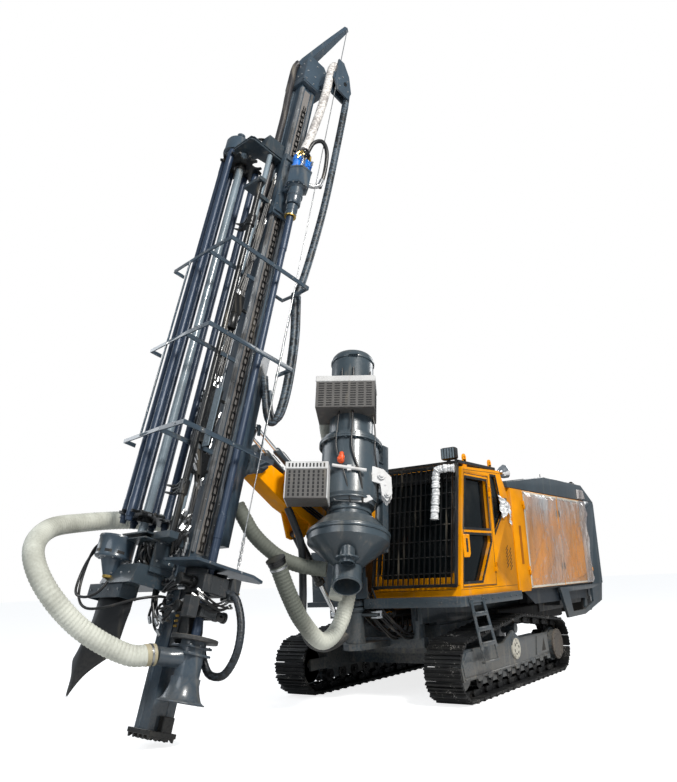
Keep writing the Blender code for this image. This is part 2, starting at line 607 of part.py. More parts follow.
def build_post():
    ry, rz = ROOT_PIN
    pieces = [rod((0.0, 0.0, (0.655 + GAP - POST_Z) / FRONT_SIZE), (0.0, 0.0, 1.07), 0.12, count=16),
              rod((0.0, 0.0, 0.57), (0.0, 0.0, 1.25), 0.070, count=16),
              box((-0.19, -0.20, 1.165), (0.19, 0.06, 1.42)),
              box((BOOM_HALF + 0.006, -0.18, 1.38), (0.18, 0.04, 1.80)),
              box((-0.18, -0.18, 1.38), (-BOOM_HALF - 0.006, 0.04, 1.80)),
              rod((-0.21, ry, rz), (0.21, ry, rz), PIN_R),
              plate([(0.02, -0.03), (0.30, 0.02), (0.335, 0.04), (0.335, 0.08), (0.30, 0.10), (0.02, 0.07)],
                    "Z", SWING_EYE[2] - 0.015, SWING_EYE[2] + 0.015),
              rod((*SWING_EYE[:2], SWING_EYE[2] - 0.05), (*SWING_EYE[:2], SWING_EYE[2] + 0.05), 0.016)]
    for x in (-0.062, 0.037):
        pieces.append(box((x, LIFT_POST[0] - 0.03, LIFT_POST[1] - 0.05), (x + 0.025, -0.05, LIFT_POST[1] + 0.05)))
    pieces.append(rod((-0.065, *LIFT_POST), (0.065, *LIFT_POST), 0.020))
    foot = COLLECTOR_RIM + Vector((0.02, 0.56, -0.12))
    head = foot + COLLECTOR_AXIS * 1.30
    pieces += [beam((0.168, -0.06, 1.60), (foot.x, foot.y, foot.z), 0.12, 0.12),
               beam(foot - COLLECTOR_AXIS * 0.08, head, 0.10, 0.10, up=(0.0, 1.0, 0.0))]
    solid("swing_post", "grey", pieces, matrix=ARM, pivot=(0.0, 0.0, 0.0))


def build_swing_cylinder():
    eye = ARM @ Vector(SWING_EYE) - Vector((MACHINE_X, MACHINE_Y, 0.0))
    anchor = Vector(SWING_ANCHOR)
    ahead = (anchor - eye).normalized()
    rise = Vector((0.0, 0.0, 1.0))
    solid("swing_barrel", "black", [
        rod(eye + ahead * 0.34, anchor - ahead * 0.03, 0.050),
        rod(anchor - rise * 0.028, anchor + rise * 0.028, 0.048),
    ], [rod(eye + ahead * 0.30, eye + ahead * 0.80, 0.0265),
        rod(anchor - rise * 0.1, anchor + rise * 0.1, 0.0235)], pivot=anchor)
    solid("swing_rod", "chrome", [
        rod(eye + ahead * 0.07, eye + ahead * 0.60, 0.025),
        beam(eye + ahead * 0.055, eye + ahead * 0.085, 0.06, 0.088),
        beam(eye - ahead * 0.04 + rise * 0.032, eye + ahead * 0.08 + rise * 0.032, 0.084, 0.023),
        beam(eye - ahead * 0.04 - rise * 0.032, eye + ahead * 0.08 - rise * 0.032, 0.084, 0.023),
    ], [rod(eye - rise * 0.1, eye + rise * 0.1, 0.030)], pivot=anchor)


def build_boom():
    outline = [(-1.52, 2.80), (-1.60, 2.83), (-1.69, 2.79), (-1.71, 2.70), (-1.66, 2.63), (-1.20, 2.28),
               (-0.90, 2.12), (-0.15, 1.58), (-0.05, 1.54), (0.05, 1.60), (0.07, 1.70), (0.00, 1.80),
               (-0.10, 1.97), (-0.92, 2.46)]
    lift = [(-0.80, 2.10), (-1.12, 2.28), (-1.03, 1.92), (-0.96, 1.895), (-0.89, 1.92)]
    tilt = [(-0.85, 2.40), (-1.20, 2.60), (-1.05, 2.71), (-1.00, 2.725), (-0.94, 2.69)]
    pieces = [plate(outline, "X", -BOOM_HALF, BOOM_HALF)]
    for x in (-0.092, 0.062):
        pieces.append(plate(lift, "X", x, x + 0.03))
    for x in (-0.055, 0.029):
        pieces.append(plate(tilt, "X", x, x + 0.026))
    pieces.append(rod((-0.10, *LIFT_BOOM), (0.10, *LIFT_BOOM), 0.025))
    pieces.append(rod((-0.13, *TILT_BOOM), (0.13, *TILT_BOOM), 0.022))
    solid("boom", "yellow", pieces, [pin_hole(ROOT_PIN, 0.3, PIN_R + PIN_FIT), pin_hole(HEAD_PIN, 0.3, PIN_R + PIN_FIT)],
          matrix=ARM, pivot=(0.0, *ROOT_PIN))


def build_lift_cylinder():
    top, bottom = Vector((0.0, *LIFT_BOOM)), Vector((0.0, *LIFT_POST))
    down = (bottom - top).normalized()
    solid("lift_barrel", "black", [
        rod(top + down * 0.03, top + down * 0.72, 0.055),
        rod(top - Vector((0.052, 0, 0)), top + Vector((0.052, 0, 0)), 0.045),
    ], [rod(top - Vector((0.1, 0, 0)), top + Vector((0.1, 0, 0)), 0.0265),
        rod(top + down * 0.06, top + down * 0.80, 0.0315)], matrix=ARM, pivot=top)
    solid("lift_rod", "chrome", [
        rod(top + down * 0.45, bottom - down * 0.03, 0.030),
        rod(bottom - Vector((0.028, 0, 0)), bottom + Vector((0.028, 0, 0)), 0.045),
    ], [rod(bottom - Vector((0.1, 0, 0)), bottom + Vector((0.1, 0, 0)), 0.0235)], matrix=ARM, pivot=top)


def build_tilt_cylinder():
    low, high = Vector((0.0, *TILT_BOOM)), Vector((0.0, *TILT_HEAD))
    up = (high - low).normalized()
    barrels, holes, rods, eyes = [], [], [], []
    for x in (-0.10, 0.10):
        a, b = low + Vector((x, 0, 0)), high + Vector((x, 0, 0))
        barrels += [rod(a + up * 0.02, a + up * 0.42, 0.040),
                    rod(a - Vector((0.018, 0, 0)), a + Vector((0.018, 0, 0)), 0.036)]
        holes += [rod(a + up * 0.05, a + up * 0.50, 0.0225),
                  rod(a - Vector((0.05, 0, 0)), a + Vector((0.05, 0, 0)), 0.0235)]
        rods += [rod(a + up * 0.28, b - up * 0.02, 0.021),
                 rod(b - Vector((0.018, 0, 0)), b + Vector((0.018, 0, 0)), 0.036)]
        eyes.append(rod(b - Vector((0.05, 0, 0)), b + Vector((0.05, 0, 0)), 0.0235))
    tie = beam(low + up * 0.36 - Vector((0.10, 0, 0)), low + up * 0.36 + Vector((0.10, 0, 0)), 0.03, 0.03)
    link = beam(high - up * 0.07 - Vector((0.10, 0, 0)), high - up * 0.07 + Vector((0.10, 0, 0)), 0.02, 0.02)
    solid("tilt_barrel", "grey", barrels + [tie], holes, matrix=ARM, pivot=low)
    solid("tilt_rod", "chrome", rods + [link], eyes, matrix=ARM, pivot=low)


def build_bracket():
    y, z = HEAD_PIN
    reach = MAST_REACH + y
    pin = (math.cos(LEAN) * reach - math.sin(LEAN) * z, math.sin(LEAN) * reach + math.cos(LEAN) * z)
    reach = MAST_REACH + TILT_HEAD[0]
    lug = (math.cos(LEAN) * reach - math.sin(LEAN) * TILT_HEAD[1],
           math.sin(LEAN) * reach + math.cos(LEAN) * TILT_HEAD[1])
    pieces = [rod((0.0, 0.302, SWING_W), (0.0, 0.36, SWING_W), 0.21, count=24),
              rod((0.0, 0.20, SWING_W), (0.0, 0.33, SWING_W), 0.08, count=20),
              box((-0.186, 0.34, SWING_W - 0.15), (0.186, 0.385, SWING_W + 0.19))]
    cheek = [(0.35, SWING_W - 0.16), (pin[0] + 0.02, pin[1] - 0.09), (pin[0] + 0.09, pin[1]),
             (pin[0] + 0.02, pin[1] + 0.10), (0.35, SWING_W + 0.20)]
    for x in (-0.19, BOOM_HALF + 0.006):
        pieces.append(plate(cheek, "X", x, x + 0.054))
    arm = [(0.380, SWING_W + 0.05), (0.380, SWING_W + 0.21), (lug[0] + 0.045, lug[1] + 0.01), (lug[0], lug[1] + 0.045),
           (lug[0] - 0.02, lug[1] + 0.03), (0.306, lug[1] - 0.10), (0.306, SWING_W + 0.05)]
    for x in (-0.065, 0.035):
        pieces.append(plate(arm, "X", x, x + 0.03))
    pieces.append(rod((-0.20, *pin), (0.20, *pin), PIN_R))
    pieces.append(rod((-0.13, *lug), (0.13, *lug), 0.020))
    solid("mast_bracket", "grey", pieces, matrix=MAST, pivot=(0.0, *pin))


# Mast, in its own frame

def build_cradle():
    pieces = [box((-0.18, 0.152, 1.95), (0.18, 0.295, 4.25))]
    claw = [(0.127, 0.095), (0.187, 0.095), (0.187, 0.20), (0.156, 0.20), (0.156, 0.122), (0.127, 0.122)]
    for w in (1.94, 2.55, 3.96):
        pieces.append(plate(claw, "Z", w, w + 0.30))
        pieces.append(plate([(-u, v) for u, v in claw], "Z", w, w + 0.30))
    solid("cradle", "grey", pieces, [rod((0.0, 0.19, SWING_W), (0.0, 0.40, SWING_W), 0.081, count=20),
                                     box((-0.10, 0.21, 2.05), (0.10, 0.40, 2.70)),
                                     box((-0.10, 0.21, 3.25), (0.10, 0.40, 4.15))],
          matrix=MAST, pivot=(0.0, 0.30, SWING_W))


def build_beam():
    pieces = [box((-BEAM_U, -BEAM_V, BEAM_LOW), (BEAM_U, BEAM_V, BEAM_HIGH)),
              box((-0.15, 0.128, 1.0), (0.15, 0.151, 6.2)),
              box((0.11, -0.125, 1.80), (0.145, -0.090, 8.45)),
              box((0.11, 0.052, 1.80), (0.145, 0.087, 8.45)),
              box((-0.20, -0.15, 0.058), (0.20, 0.15, 0.103)),
              box((0.05, -0.02, 0.07), (0.19, 0.10, 0.24))]
    for i in range(5):
        u = -0.19 + 0.085 * i
        pieces.append(box((u, -0.145, 0.018), (u + 0.035, 0.145, 0.068)))
    link = 0.38
    outline = [(0.10, 1.85)]
    for i in range(17):
        w = 1.85 + link * i
        outline += [(0.130, w), (0.138, w + 0.02), (0.138, w + link - 0.08), (0.130, w + link - 0.06)]
    outline.append((0.10, 8.31))
    pieces.append(plate(outline, "Y", -0.035, 0.025))
    solid("feed_beam", "grey", pieces, matrix=MAST, pivot=(0.0, 0.0, 0.0))


HOOPS = [2.90, 4.05, 5.18]


def ribbon(path, thick):
    # the outline of a strip that follows an open path
    path = [Vector(p) for p in path]
    near, far = [], []
    for k, place in enumerate(path):
        back = (place - path[k - 1]).normalized() if k else (path[1] - place).normalized()
        ahead = (path[k + 1] - place).normalized() if k + 1 < len(path) else back
        out = Vector((-(back + ahead).y, (back + ahead).x)).normalized()
        reach = thick / 2 / out.dot(Vector((-back.y, back.x)))
        near.append(tuple(place + out * reach))
        far.append(tuple(place - out * reach))
    return near + far[::-1]


def build_guard():
    side = [(0.10, -BEAM_V - GAP), (0.10, -0.835), (0.55, -0.835), (0.55, 0.36), (0.25, 0.38)]
    front = [(0.10, -0.835), (-0.66, -0.80), (-0.66, -0.66)]
    back = [(0.26, 0.379), (0.05, 0.38), (0.05, 0.1514)]
    pieces = []
    for w in HOOPS:
        pieces.append(plate(ribbon(side, 0.016), "Z", w - 0.025, w + 0.025))
        pieces.append(plate(ribbon(front, 0.015), "Z", w - 0.022, w + 0.022))
    pieces.append(plate(ribbon(back, 0.014), "Z", HOOPS[-1] - 0.022, HOOPS[-1] + 0.022))
    for u, v in ((-0.30, -0.816), (0.55, -0.20), (0.27, 0.379)):
        pieces.append(beam((u, v, HOOPS[0] - 0.01), (u, v, HOOPS[-1] + 0.01), 0.012, 0.022, up=(0.0, 1.0, 0.0)))
    solid("mast_guard", "grey", pieces, matrix=MAST, pivot=(0.0, 0.0, 0.0))


def build_table():
    u, v = DRILL_U, DRILL_V
    face = BEAM_U + GAP
    back = 0.088
    wing = [(face, -0.42), (0.62, -0.36), (0.62, 0.36), (0.50, 0.58), (0.42, 0.60), (0.32, 0.46), (0.23, 0.30),
            (0.20, back), (face, back)]
    pieces = [plate(wing, "Z", 1.63, 1.66),
              box((face, -0.12, 0.86), (0.20, back, 1.70)),
              box((0.195, -0.15, 1.38), (0.52, 0.15, 1.56)),
              box((0.195, -0.10, 1.15), (0.50, 0.10, 1.28)),
              rod((u, -0.34, 1.47), (u, 0.34, 1.47), 0.055),
              rod((u, -0.30, 1.215), (u, 0.30, 1.215), 0.050),
              box((0.17, -0.05, 1.24), (0.24, 0.05, 1.645)),
              rod((u, v, 0.93), (u, v, 0.97), 0.232, count=18),
              box((0.18, -0.13, 0.80), (0.50, 0.13, 0.89)),
              rod((u, v, 0.57), (u, v, 0.95), 0.125),
              rod((u - 0.02, v - 0.05, 0.745), (u - 0.09, v - 0.30, 0.745), 0.085),
              rod((u - 0.078, v - 0.262, 0.745), (u - 0.084, v - 0.28, 0.745), 0.115)]
    cuts = [rod((u, v, 0.40), (u, v, 2.0), 0.056),
            rod((u, v, 0.50), (u, v, 0.88), 0.113),
            rod((u, v, 0.745), (u - 0.095, v - 0.32, 0.745), 0.072)]
    solid("drill_table", "dark", pieces, cuts, matrix=MAST, pivot=(0.0, 0.0, 0.0))
    bell = [(0.1275, 0.60), (0.1275, 0.53), (0.205, 0.385), (0.205, 0.37), (0.215, 0.37), (0.215, 0.388),
            (0.141, 0.532), (0.141, 0.60)]
    solid("hood_bell", "grey", [turned(bell, 20, (u, v))], matrix=MAST, pivot=(u, v, 0.5))


def build_magazine():
    arm_hold = [(0.03, -BEAM_V - GAP), (0.09, -BEAM_V - GAP), (0.09, -0.40), (ARM_U + 0.06, ARM_V + 0.04),
                (ARM_U + 0.06, ARM_V - 0.06), (0.03, ARM_V - 0.06)]
    mount = [box((-0.55, -0.66, 7.08), (0.08, -BEAM_V - GAP, 7.14)),
             rod((-0.42, -0.54, 7.10), (-0.42, -0.54, 7.36), 0.17),
             rod((-0.42, -0.54, 7.34), (-0.42, -0.54, 7.50), 0.06, count=8),
             box((-0.40, -0.655, 1.80), (0.08, -BEAM_V - 0.003, 1.87)),
             rod((-0.47, -0.64, 1.62), (-0.47, -0.64, 1.84), 0.19),
             rod((-0.47, -0.64, 1.42), (-0.47, -0.64, 1.64), 0.06, 0.14),
             box((-0.58, -0.66, 1.36), (0.02, -0.25, 1.56)),
             box((-0.30, -0.50, 1.50), (0.06, -0.24, 1.86)),
             rod((0.03, -0.30, 1.84), (0.03, -0.30, 7.10), 0.035, count=8),
             box((-0.10, -0.40, 7.12), (0.07, -BEAM_V - 0.004, 7.36)),
             plate(arm_hold, "Z", ARM_LOW - 0.071, ARM_LOW - GAP),
             plate(arm_hold, "Z", ARM_HIGH + GAP, ARM_HIGH + 0.056)]
    solid("magazine_mount", "dark", mount, matrix=MAST, pivot=(0.0, 0.0, 0.0))
    flap = [(-0.86, 1.3596), (-0.16, 1.3596), (-0.12, 1.12), (-0.22, 0.70), (-0.31, 0.37), (-0.55, 0.24), (-0.90, 0.45)]
    solid("rubber_flap", "rubber", [plate(flap, "Y", -0.60, -0.575)], matrix=MAST, pivot=(-0.5, -0.6, 1.36))
    star = []
    for i in range(7):
        turn = math.tau * (i + 0.5) / 7
        for shift, radius in ((-0.30, 0.27), (-0.17, 0.27), (-0.16, 0.21), (0.16, 0.21), (0.17, 0.27), (0.30, 0.27)):
            star.append((MAG_U + radius * math.cos(turn + shift), MAG_V + radius * math.sin(turn + shift)))
    pieces = [rod((MAG_U, MAG_V, 1.87 + GAP), (MAG_U, MAG_V, 7.08 - GAP), 0.045, count=12),
              plate(star, "Z", MAG_LOW, MAG_LOW + 0.03), plate(star, "Z", MAG_HIGH, MAG_HIGH + 0.03)]
    for i in (1, 2, 3, 4, 5):
        turn = math.tau * (i + 0.5) / 7
        u, v = MAG_U + 0.22 * math.cos(turn), MAG_V + 0.22 * math.sin(turn)
        pieces.append(rod((u, v, MAG_LOW - 0.08), (u, v, MAG_HIGH + 0.12), DRILL_R, count=8))
    solid("magazine", "rod", pieces, matrix=MAST, pivot=(MAG_U, MAG_V, MAG_LOW))


ARM_U, ARM_V = 0.30, -0.50
ARM_LOW, ARM_HIGH = 1.886, 6.334


def build_rod_arms():
    pieces = [rod((ARM_U, ARM_V, ARM_LOW), (ARM_U, ARM_V, ARM_HIGH), 0.035, count=8)]
    outline = [(ARM_U - 0.26, ARM_V - 0.05), (ARM_U - 0.20, ARM_V + 0.05), (ARM_U + 0.02, ARM_V + 0.05),
               (ARM_U + 0.05, ARM_V - 0.02), (ARM_U, ARM_V - 0.06)]
    for w in (2.30, 5.70):
        pieces.append(plate(outline, "Z", w, w + 0.10))
    solid("rod_arms", "dark", pieces, matrix=MAST, pivot=(ARM_U, ARM_V, ARM_LOW))


def build_jib():
    base = BEAM_HIGH + GAP
    pieces = [box((-0.19, -0.17, base), (0.19, 0.17, base + 0.12)),
              box((-0.20, -0.18, base + 0.02), (-0.165, 0.18, 9.00)),
              box((0.165, -0.18, base + 0.02), (0.20, 0.18, 9.00)),
              rod((-0.18, 0.0, 8.82), (0.18, 0.0, 8.82), 0.13),
              box((-0.18, -0.16, 8.92), (0.18, -0.02, 8.98)),
              rod((-0.02, -0.12, 8.93), (0.46, 0.19, 9.70), 0.095, 0.045, count=4),
              box((-0.14, 0.14, base + 0.01), (0.15, 0.23, 8.70)),
              box((0.18, 0.10, 8.60), (0.50, 0.16, 8.72)),
              box((0.38, 0.12, 8.50), (0.41, 0.44, 8.76)),
              box((0.49, 0.12, 8.50), (0.52, 0.44, 8.76)),
              rod((0.37, 0.31, 8.62), (0.53, 0.31, 8.62), 0.115)]
    solid("mast_head", "dark", pieces, matrix=MAST, pivot=(0.0, 0.0, 0.0))


def build_head():
    u, v = DRILL_U, DRILL_V
    low, high = HEAD_LOW, HEAD_HIGH
    saddle = [(0.146, -0.137), (0.146, 0.093), (0.126, 0.093), (0.126, 0.120), (0.19, 0.120), (0.19, -0.165),
              (0.105, -0.165), (0.105, -0.137)]
    pieces = [plate(saddle, "Z", low, high),
              box((0.18, -0.09, low + 0.36), (0.33, 0.09, low + 0.70)),
              rod((u, v, low + 0.40), (u, v, low + 0.67), 0.15, count=7),
              rod((u, v, low + 0.12), (u, v, low + 0.43), 0.095),
              rod((u + 0.004, v - 0.085, low + 0.64), (u + 0.004, v - 0.085, low + 0.93), 0.065, count=10),
              rod((u + 0.004, v + 0.085, low + 0.64), (u + 0.004, v + 0.085, low + 0.92), 0.065, count=10),
              rod((u - 0.02, v, low + 0.62), (u - 0.02, v, low + 1.05), 0.05, count=8),
              rod((u + 0.06, v + 0.05, low + 0.55), (u + 0.12, v + 0.28, low + 0.51), 0.035, count=8)]
    solid("rotary_head", "dark", pieces, [rod((u, v, low), (u, v, low + 0.17), 0.066)],
          matrix=MAST, pivot=(u, v, low))
    solid("drill_string", "rod", [
        rod((u, v, 0.42), (u, v, low + 0.05), DRILL_R, count=10),
        rod((u, v, low - 0.07), (u, v, low + 0.11), 0.075),
        rod((u, v, low + 0.05), (u, v, low + 0.17 - GAP), 0.060),
    ], matrix=MAST, pivot=(u, v, low))


# Dust collector, in its own leaning frame with the hopper's rim at 0

def build_collector():
    outline = [(0.0, -0.36), (0.17, -0.36), (0.475, -0.03), (0.475, 0.0), (0.33, 0.16), (0.25, 0.20),
               (0.25, 0.33), (0.30, 0.33), (0.345, 0.42), (0.345, 1.10), (0.385, 1.10), (0.385, 1.14), (0.345, 1.14),
               (0.345, 1.20), (0.268, 1.22), (0.268, 2.34), (0.24, 2.40), (0.0, 2.40)]
    turn = Matrix.Rotation(math.radians(GUARD_TURN), 4, "Z")

    def faced(piece):
        return [turn @ p for p in piece[0]], piece[1]
    pieces = [lathe_solid(outline, 18),
              rod((0.0, 0.0, -0.345), (0.0, 0.0, -0.64), 0.162, count=16),
              faced(box((-0.41, -0.42, 1.46), (0.31, 0.05, 1.89))),
              faced(box((-0.70, -0.49, 0.27), (-0.215, -0.21, 0.71))),
              rod((-0.02, -0.16, -0.165), (-0.02, -0.42, -0.30), 0.075, count=8),
              box((-0.06, 0.20, 0.56), (0.06, 0.5216, 0.64)),
              box((-0.06, 0.20, 0.98), (0.06, 0.5216, 1.06)),
              rod((-0.10, 0.10, 1.95), (-0.33, 0.20, 1.95), 0.10, count=8)]
    cuts = [rod((0.0, 0.0, -0.50), (0.0, 0.0, -0.70), 0.145, count=16)]
    return pieces, cuts


def lathe_solid(outline, count):
    # an outline from axis to axis, turned about Z
    points, faces = [], []
    rings = []
    for radius, height in outline:
        if radius == 0.0:
            rings.append([len(points)])
            points.append(Vector((0.0, 0.0, height)))
        else:
            rings.append(list(range(len(points), len(points) + count)))
            for i in range(count):
                turn = math.tau * i / count
                points.append(Vector((radius * math.cos(turn), radius * math.sin(turn), height)))
    for a, b in zip(rings, rings[1:]):
        for i in range(count):
            j = (i + 1) % count
            loop = [a[i % len(a)], a[j % len(a)], b[j % len(b)], b[i % len(b)]]
            faces.append(tuple(dict.fromkeys(loop)))
    return points, faces


# Suction hoses, on the mast and on the swing post

def build_hoses():
    mast_path = [(0.258, -0.336, 0.745), (0.20, -0.60, 0.70), (0.10, -1.05, 0.83), (0.02, -1.45, 1.10),
                 (-0.20, -1.58, 1.42), (-0.55, -1.36, 1.72), (-0.85, -0.90, 1.95), (-0.88, -0.35, 2.15),
                 (-0.60, 0.06, 2.20), (-0.36, 0.19, 2.20)]
    solid("hose_mast", "hose", [
        hose(mast_path, 0.10, count=8, steps=3),
        beam((-0.50, 0.06, 2.20), (-BEAM_U - GAP, 0.06, 2.20), 0.06, 0.06),
    ], matrix=MAST, pivot=(0.0, 0.0, 0.0))
    arm_path = [(0.34, -1.54, 1.60), (0.33, -1.38, 1.28), (0.32, -1.18, 0.98), (0.30, -0.86, 0.74), (0.30, -0.56, 0.92),
                (0.31, -0.36, 1.40), (0.34, -0.23, 1.85), (0.49, -0.24, 2.16)]
    solid("hose_post", "hose", [
        hose(arm_path, 0.095, count=8, steps=3),
        box((0.18 + GAP, -0.34, 1.48), (0.32, -0.15, 1.54)),
    ], matrix=ARM, pivot=(0.0, 0.0, 0.0))


def build_front():
    build_post()
    build_swing_cylinder()
    build_boom()
    build_lift_cylinder()
    build_tilt_cylinder()
    build_bracket()
    pieces, cuts = build_collector()
    solid("collector", "grey", pieces, cuts, matrix=COLLECTOR)


def build_mast():
    build_cradle()
    build_beam()
    build_guard()
    build_table()
    build_magazine()
    build_rod_arms()
    build_jib()
    build_head()
    build_hoses()


clear_scene()
PARTS = collection("crawler_drilling_rig", False)
CUTTERS = collection("cutters", True)
MATERIALS = {name: material(name) for name in COLORS}
build_tracks()
build_chassis()
build_platform()
build_undertray()
build_cab()
build_housing()
build_front()
build_mast()
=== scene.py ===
"""A crawler drilling rig with its mast raised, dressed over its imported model."""
import json
import math

import bmesh
import bpy
import numpy as np
from mathutils import Matrix, Vector


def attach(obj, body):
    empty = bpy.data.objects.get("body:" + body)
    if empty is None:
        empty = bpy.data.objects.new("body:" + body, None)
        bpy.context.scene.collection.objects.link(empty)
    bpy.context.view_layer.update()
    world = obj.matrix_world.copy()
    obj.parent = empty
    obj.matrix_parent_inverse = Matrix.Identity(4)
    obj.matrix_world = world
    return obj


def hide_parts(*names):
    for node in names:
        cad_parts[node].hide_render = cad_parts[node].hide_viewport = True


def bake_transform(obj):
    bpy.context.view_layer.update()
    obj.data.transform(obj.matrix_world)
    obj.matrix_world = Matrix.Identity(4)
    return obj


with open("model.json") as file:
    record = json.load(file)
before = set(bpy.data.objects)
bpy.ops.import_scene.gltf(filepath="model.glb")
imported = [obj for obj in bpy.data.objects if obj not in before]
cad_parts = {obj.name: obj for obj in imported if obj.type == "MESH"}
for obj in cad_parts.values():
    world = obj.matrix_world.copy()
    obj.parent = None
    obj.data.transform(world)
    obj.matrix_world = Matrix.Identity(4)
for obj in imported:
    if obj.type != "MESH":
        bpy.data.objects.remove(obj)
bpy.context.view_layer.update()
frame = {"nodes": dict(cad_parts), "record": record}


# The place where the rig stands: a plain pale floor, the camera low at the front left, where the
# whole rig is seen from a little above the tracks, and soft lights on both sides of it.

EYE_HEIGHT = 1.45
EYE_PLACE = (5.2612, -8.7898, EYE_HEIGHT)
LOOK_TURN, LOOK_RISE, LOOK_ROLL = 34.275, 13.917, -2.601
FOCAL_PIXELS, FRAME_PIXELS = 746.53, 782
SENSOR = 36.0


def set_camera():
    """The camera turns about Z, then lifts its gaze, then rolls about it."""
    camera = bpy.data.objects.new("camera", bpy.data.cameras.new("camera"))
    camera.data.sensor_fit = "VERTICAL"
    camera.data.sensor_height = SENSOR
    camera.data.lens = FOCAL_PIXELS / FRAME_PIXELS * SENSOR
    camera.data.clip_end = 200.0
    turn = Matrix.Rotation(math.radians(LOOK_TURN), 4, "Z")
    rise = Matrix.Rotation(math.radians(90.0 + LOOK_RISE), 4, "X")
    roll = Matrix.Rotation(math.radians(LOOK_ROLL), 4, "Z")
    camera.matrix_world = Matrix.Translation(EYE_PLACE) @ turn @ rise @ roll
    bpy.context.scene.collection.objects.link(camera)
    bpy.context.scene.camera = camera


def area_light(name, place, target, size, power, colour=(1.0, 1.0, 1.0)):
    """A round soft lamp that looks from its place at its target."""
    lamp = bpy.data.lights.new(name, "AREA")
    lamp.shape = "DISK"
    lamp.size = size
    lamp.energy = power
    lamp.color = colour
    item = bpy.data.objects.new(name, lamp)
    item.location = place
    item.rotation_euler = (Vector(target) - Vector(place)).to_track_quat("-Z", "Y").to_euler()
    bpy.context.scene.collection.objects.link(item)


set_camera()
area_light("key_light", (11.0, -6.0, 12.0), (0.0, 0.0, 2.5), 3.5, 2600.0, (1.0, 0.97, 0.92))
area_light("front_light", (0.0, -14.0, 8.0), (0.0, -2.0, 3.0), 7.0, 420.0, (0.92, 0.96, 1.0))
area_light("side_light", (-10.0, -3.0, 7.0), (0.0, -1.0, 3.0), 7.0, 300.0, (0.92, 0.96, 1.0))
area_light("rear_light", (3.0, 14.0, 9.0), (0.0, 2.0, 2.0), 6.0, 500.0)
world = bpy.data.worlds.new("studio")
world.use_nodes = True
world.node_tree.nodes["Background"].inputs["Color"].default_value = (0.8, 0.9, 1.0, 1.0)
world.node_tree.nodes["Background"].inputs["Strength"].default_value = 0.3
bright = world.node_tree.nodes.new("ShaderNodeBackground")
bright.inputs["Color"].default_value = (1.0, 1.0, 1.0, 1.0)
split = world.node_tree.nodes.new("ShaderNodeMixShader")
world.node_tree.links.new(world.node_tree.nodes.new("ShaderNodeLightPath").outputs["Is Camera Ray"],
                          split.inputs[0])
world.node_tree.links.new(world.node_tree.nodes["Background"].outputs[0], split.inputs[1])
world.node_tree.links.new(bright.outputs[0], split.inputs[2])
world.node_tree.links.new(split.outputs[0], world.node_tree.nodes["World Output"].inputs["Surface"])
bpy.context.scene.world = world
bpy.context.scene.view_settings.view_transform = "Standard"


class Number:
    """A number inside a material: arithmetic on it adds Math nodes to the material's bench."""

    def __init__(self, bench, socket):
        self.bench = bench
        self.socket = socket

    def math(self, operation, *values, clamp=False):
        """One Math node over the values."""
        return self.bench.node("ShaderNodeMath", {"operation": operation, "use_clamp": clamp}, values)

    def __add__(self, other):
        return self.math("ADD", self, other)

    def __sub__(self, other):
        return self.math("SUBTRACT", self, other)

    def __rsub__(self, other):
        return self.math("SUBTRACT", other, self)

    def __mul__(self, other):
        return self.math("MULTIPLY", self, other)

    __radd__ = __add__
    __rmul__ = __mul__

    def clamped(self):
        """The number, held between 0 and 1."""
        return self.math("ADD", self, 0.0, clamp=True)


class Bench:
    """The node bench of one material, with its shader and the piece's own coordinates."""

    def __init__(self, name):
        self.material = bpy.data.materials.new(name)
        self.material.use_nodes = True
        self.tree = self.material.node_tree
        self.shader = self.tree.nodes["Principled BSDF"]
        self.place = self.node("ShaderNodeTexCoord", out="Object")

    def node(self, kind, settings=None, values=(), out=0):
        """A node of any kind: its settings first, then the values or links of its sockets."""
        made = self.tree.nodes.new(kind)
        for key, value in (settings or {}).items():
            setattr(made, key, value)
        pairs = values.items() if isinstance(values, dict) else enumerate(values)
        for key, value in pairs:
            self.plug(made.inputs[key], value)
        return Number(self, made.outputs[out])

    def plug(self, socket, value):
        """A link where the value is a Number, and otherwise the socket's own value."""
        if isinstance(value, Number):
            self.tree.links.new(value.socket, socket)
        elif isinstance(value, tuple) and len(value) == 3 and socket.type == "RGBA":
            socket.default_value = (*value, 1.0)
        else:
            socket.default_value = value

    def stretched(self, scale):
        """The piece's coordinates, scaled along each axis."""
        return self.node("ShaderNodeMapping", values={"Vector": self.place, "Scale": scale})

    def noise(self, scale, detail=3.0, place=None):
        """Clouds of a scale and detail over the piece's coordinates or another place."""
        return self.node("ShaderNodeTexNoise", values={"Vector": place or self.place, "Scale": scale,
                                                       "Detail": detail})

    def part(self, vector, axis):
        """One axis of a vector."""
        return self.node("ShaderNodeSeparateXYZ", values=[vector], out=axis)

    def between(self, number, low, high):
        """0 below low, 1 above high, and a smooth step between them."""
        return self.node("ShaderNodeMapRange", {"interpolation_type": "SMOOTHSTEP"},
                         {"Value": number, "From Min": low, "From Max": high})

    def mix(self, share, first, second):
        """The first colour where the share is 0, the second where it is 1."""
        made = self.tree.nodes.new("ShaderNodeMix")
        made.data_type = "RGBA"
        for index, value in ((0, share), (6, first), (7, second)):
            self.plug(made.inputs[index], value)
        return Number(self, made.outputs[2])

    def bump(self, height, distance, strength=1.0):
        """A surface direction that leans by the slope of a height."""
        return self.node("ShaderNodeBump", values={"Height": height, "Distance": distance,
                                                   "Strength": strength})

    def finish(self, **values):
        """Values and links put on the shader's sockets; the material is ready."""
        for key, value in values.items():
            self.plug(self.shader.inputs[key.replace("_", " ")], value)
        return self.material


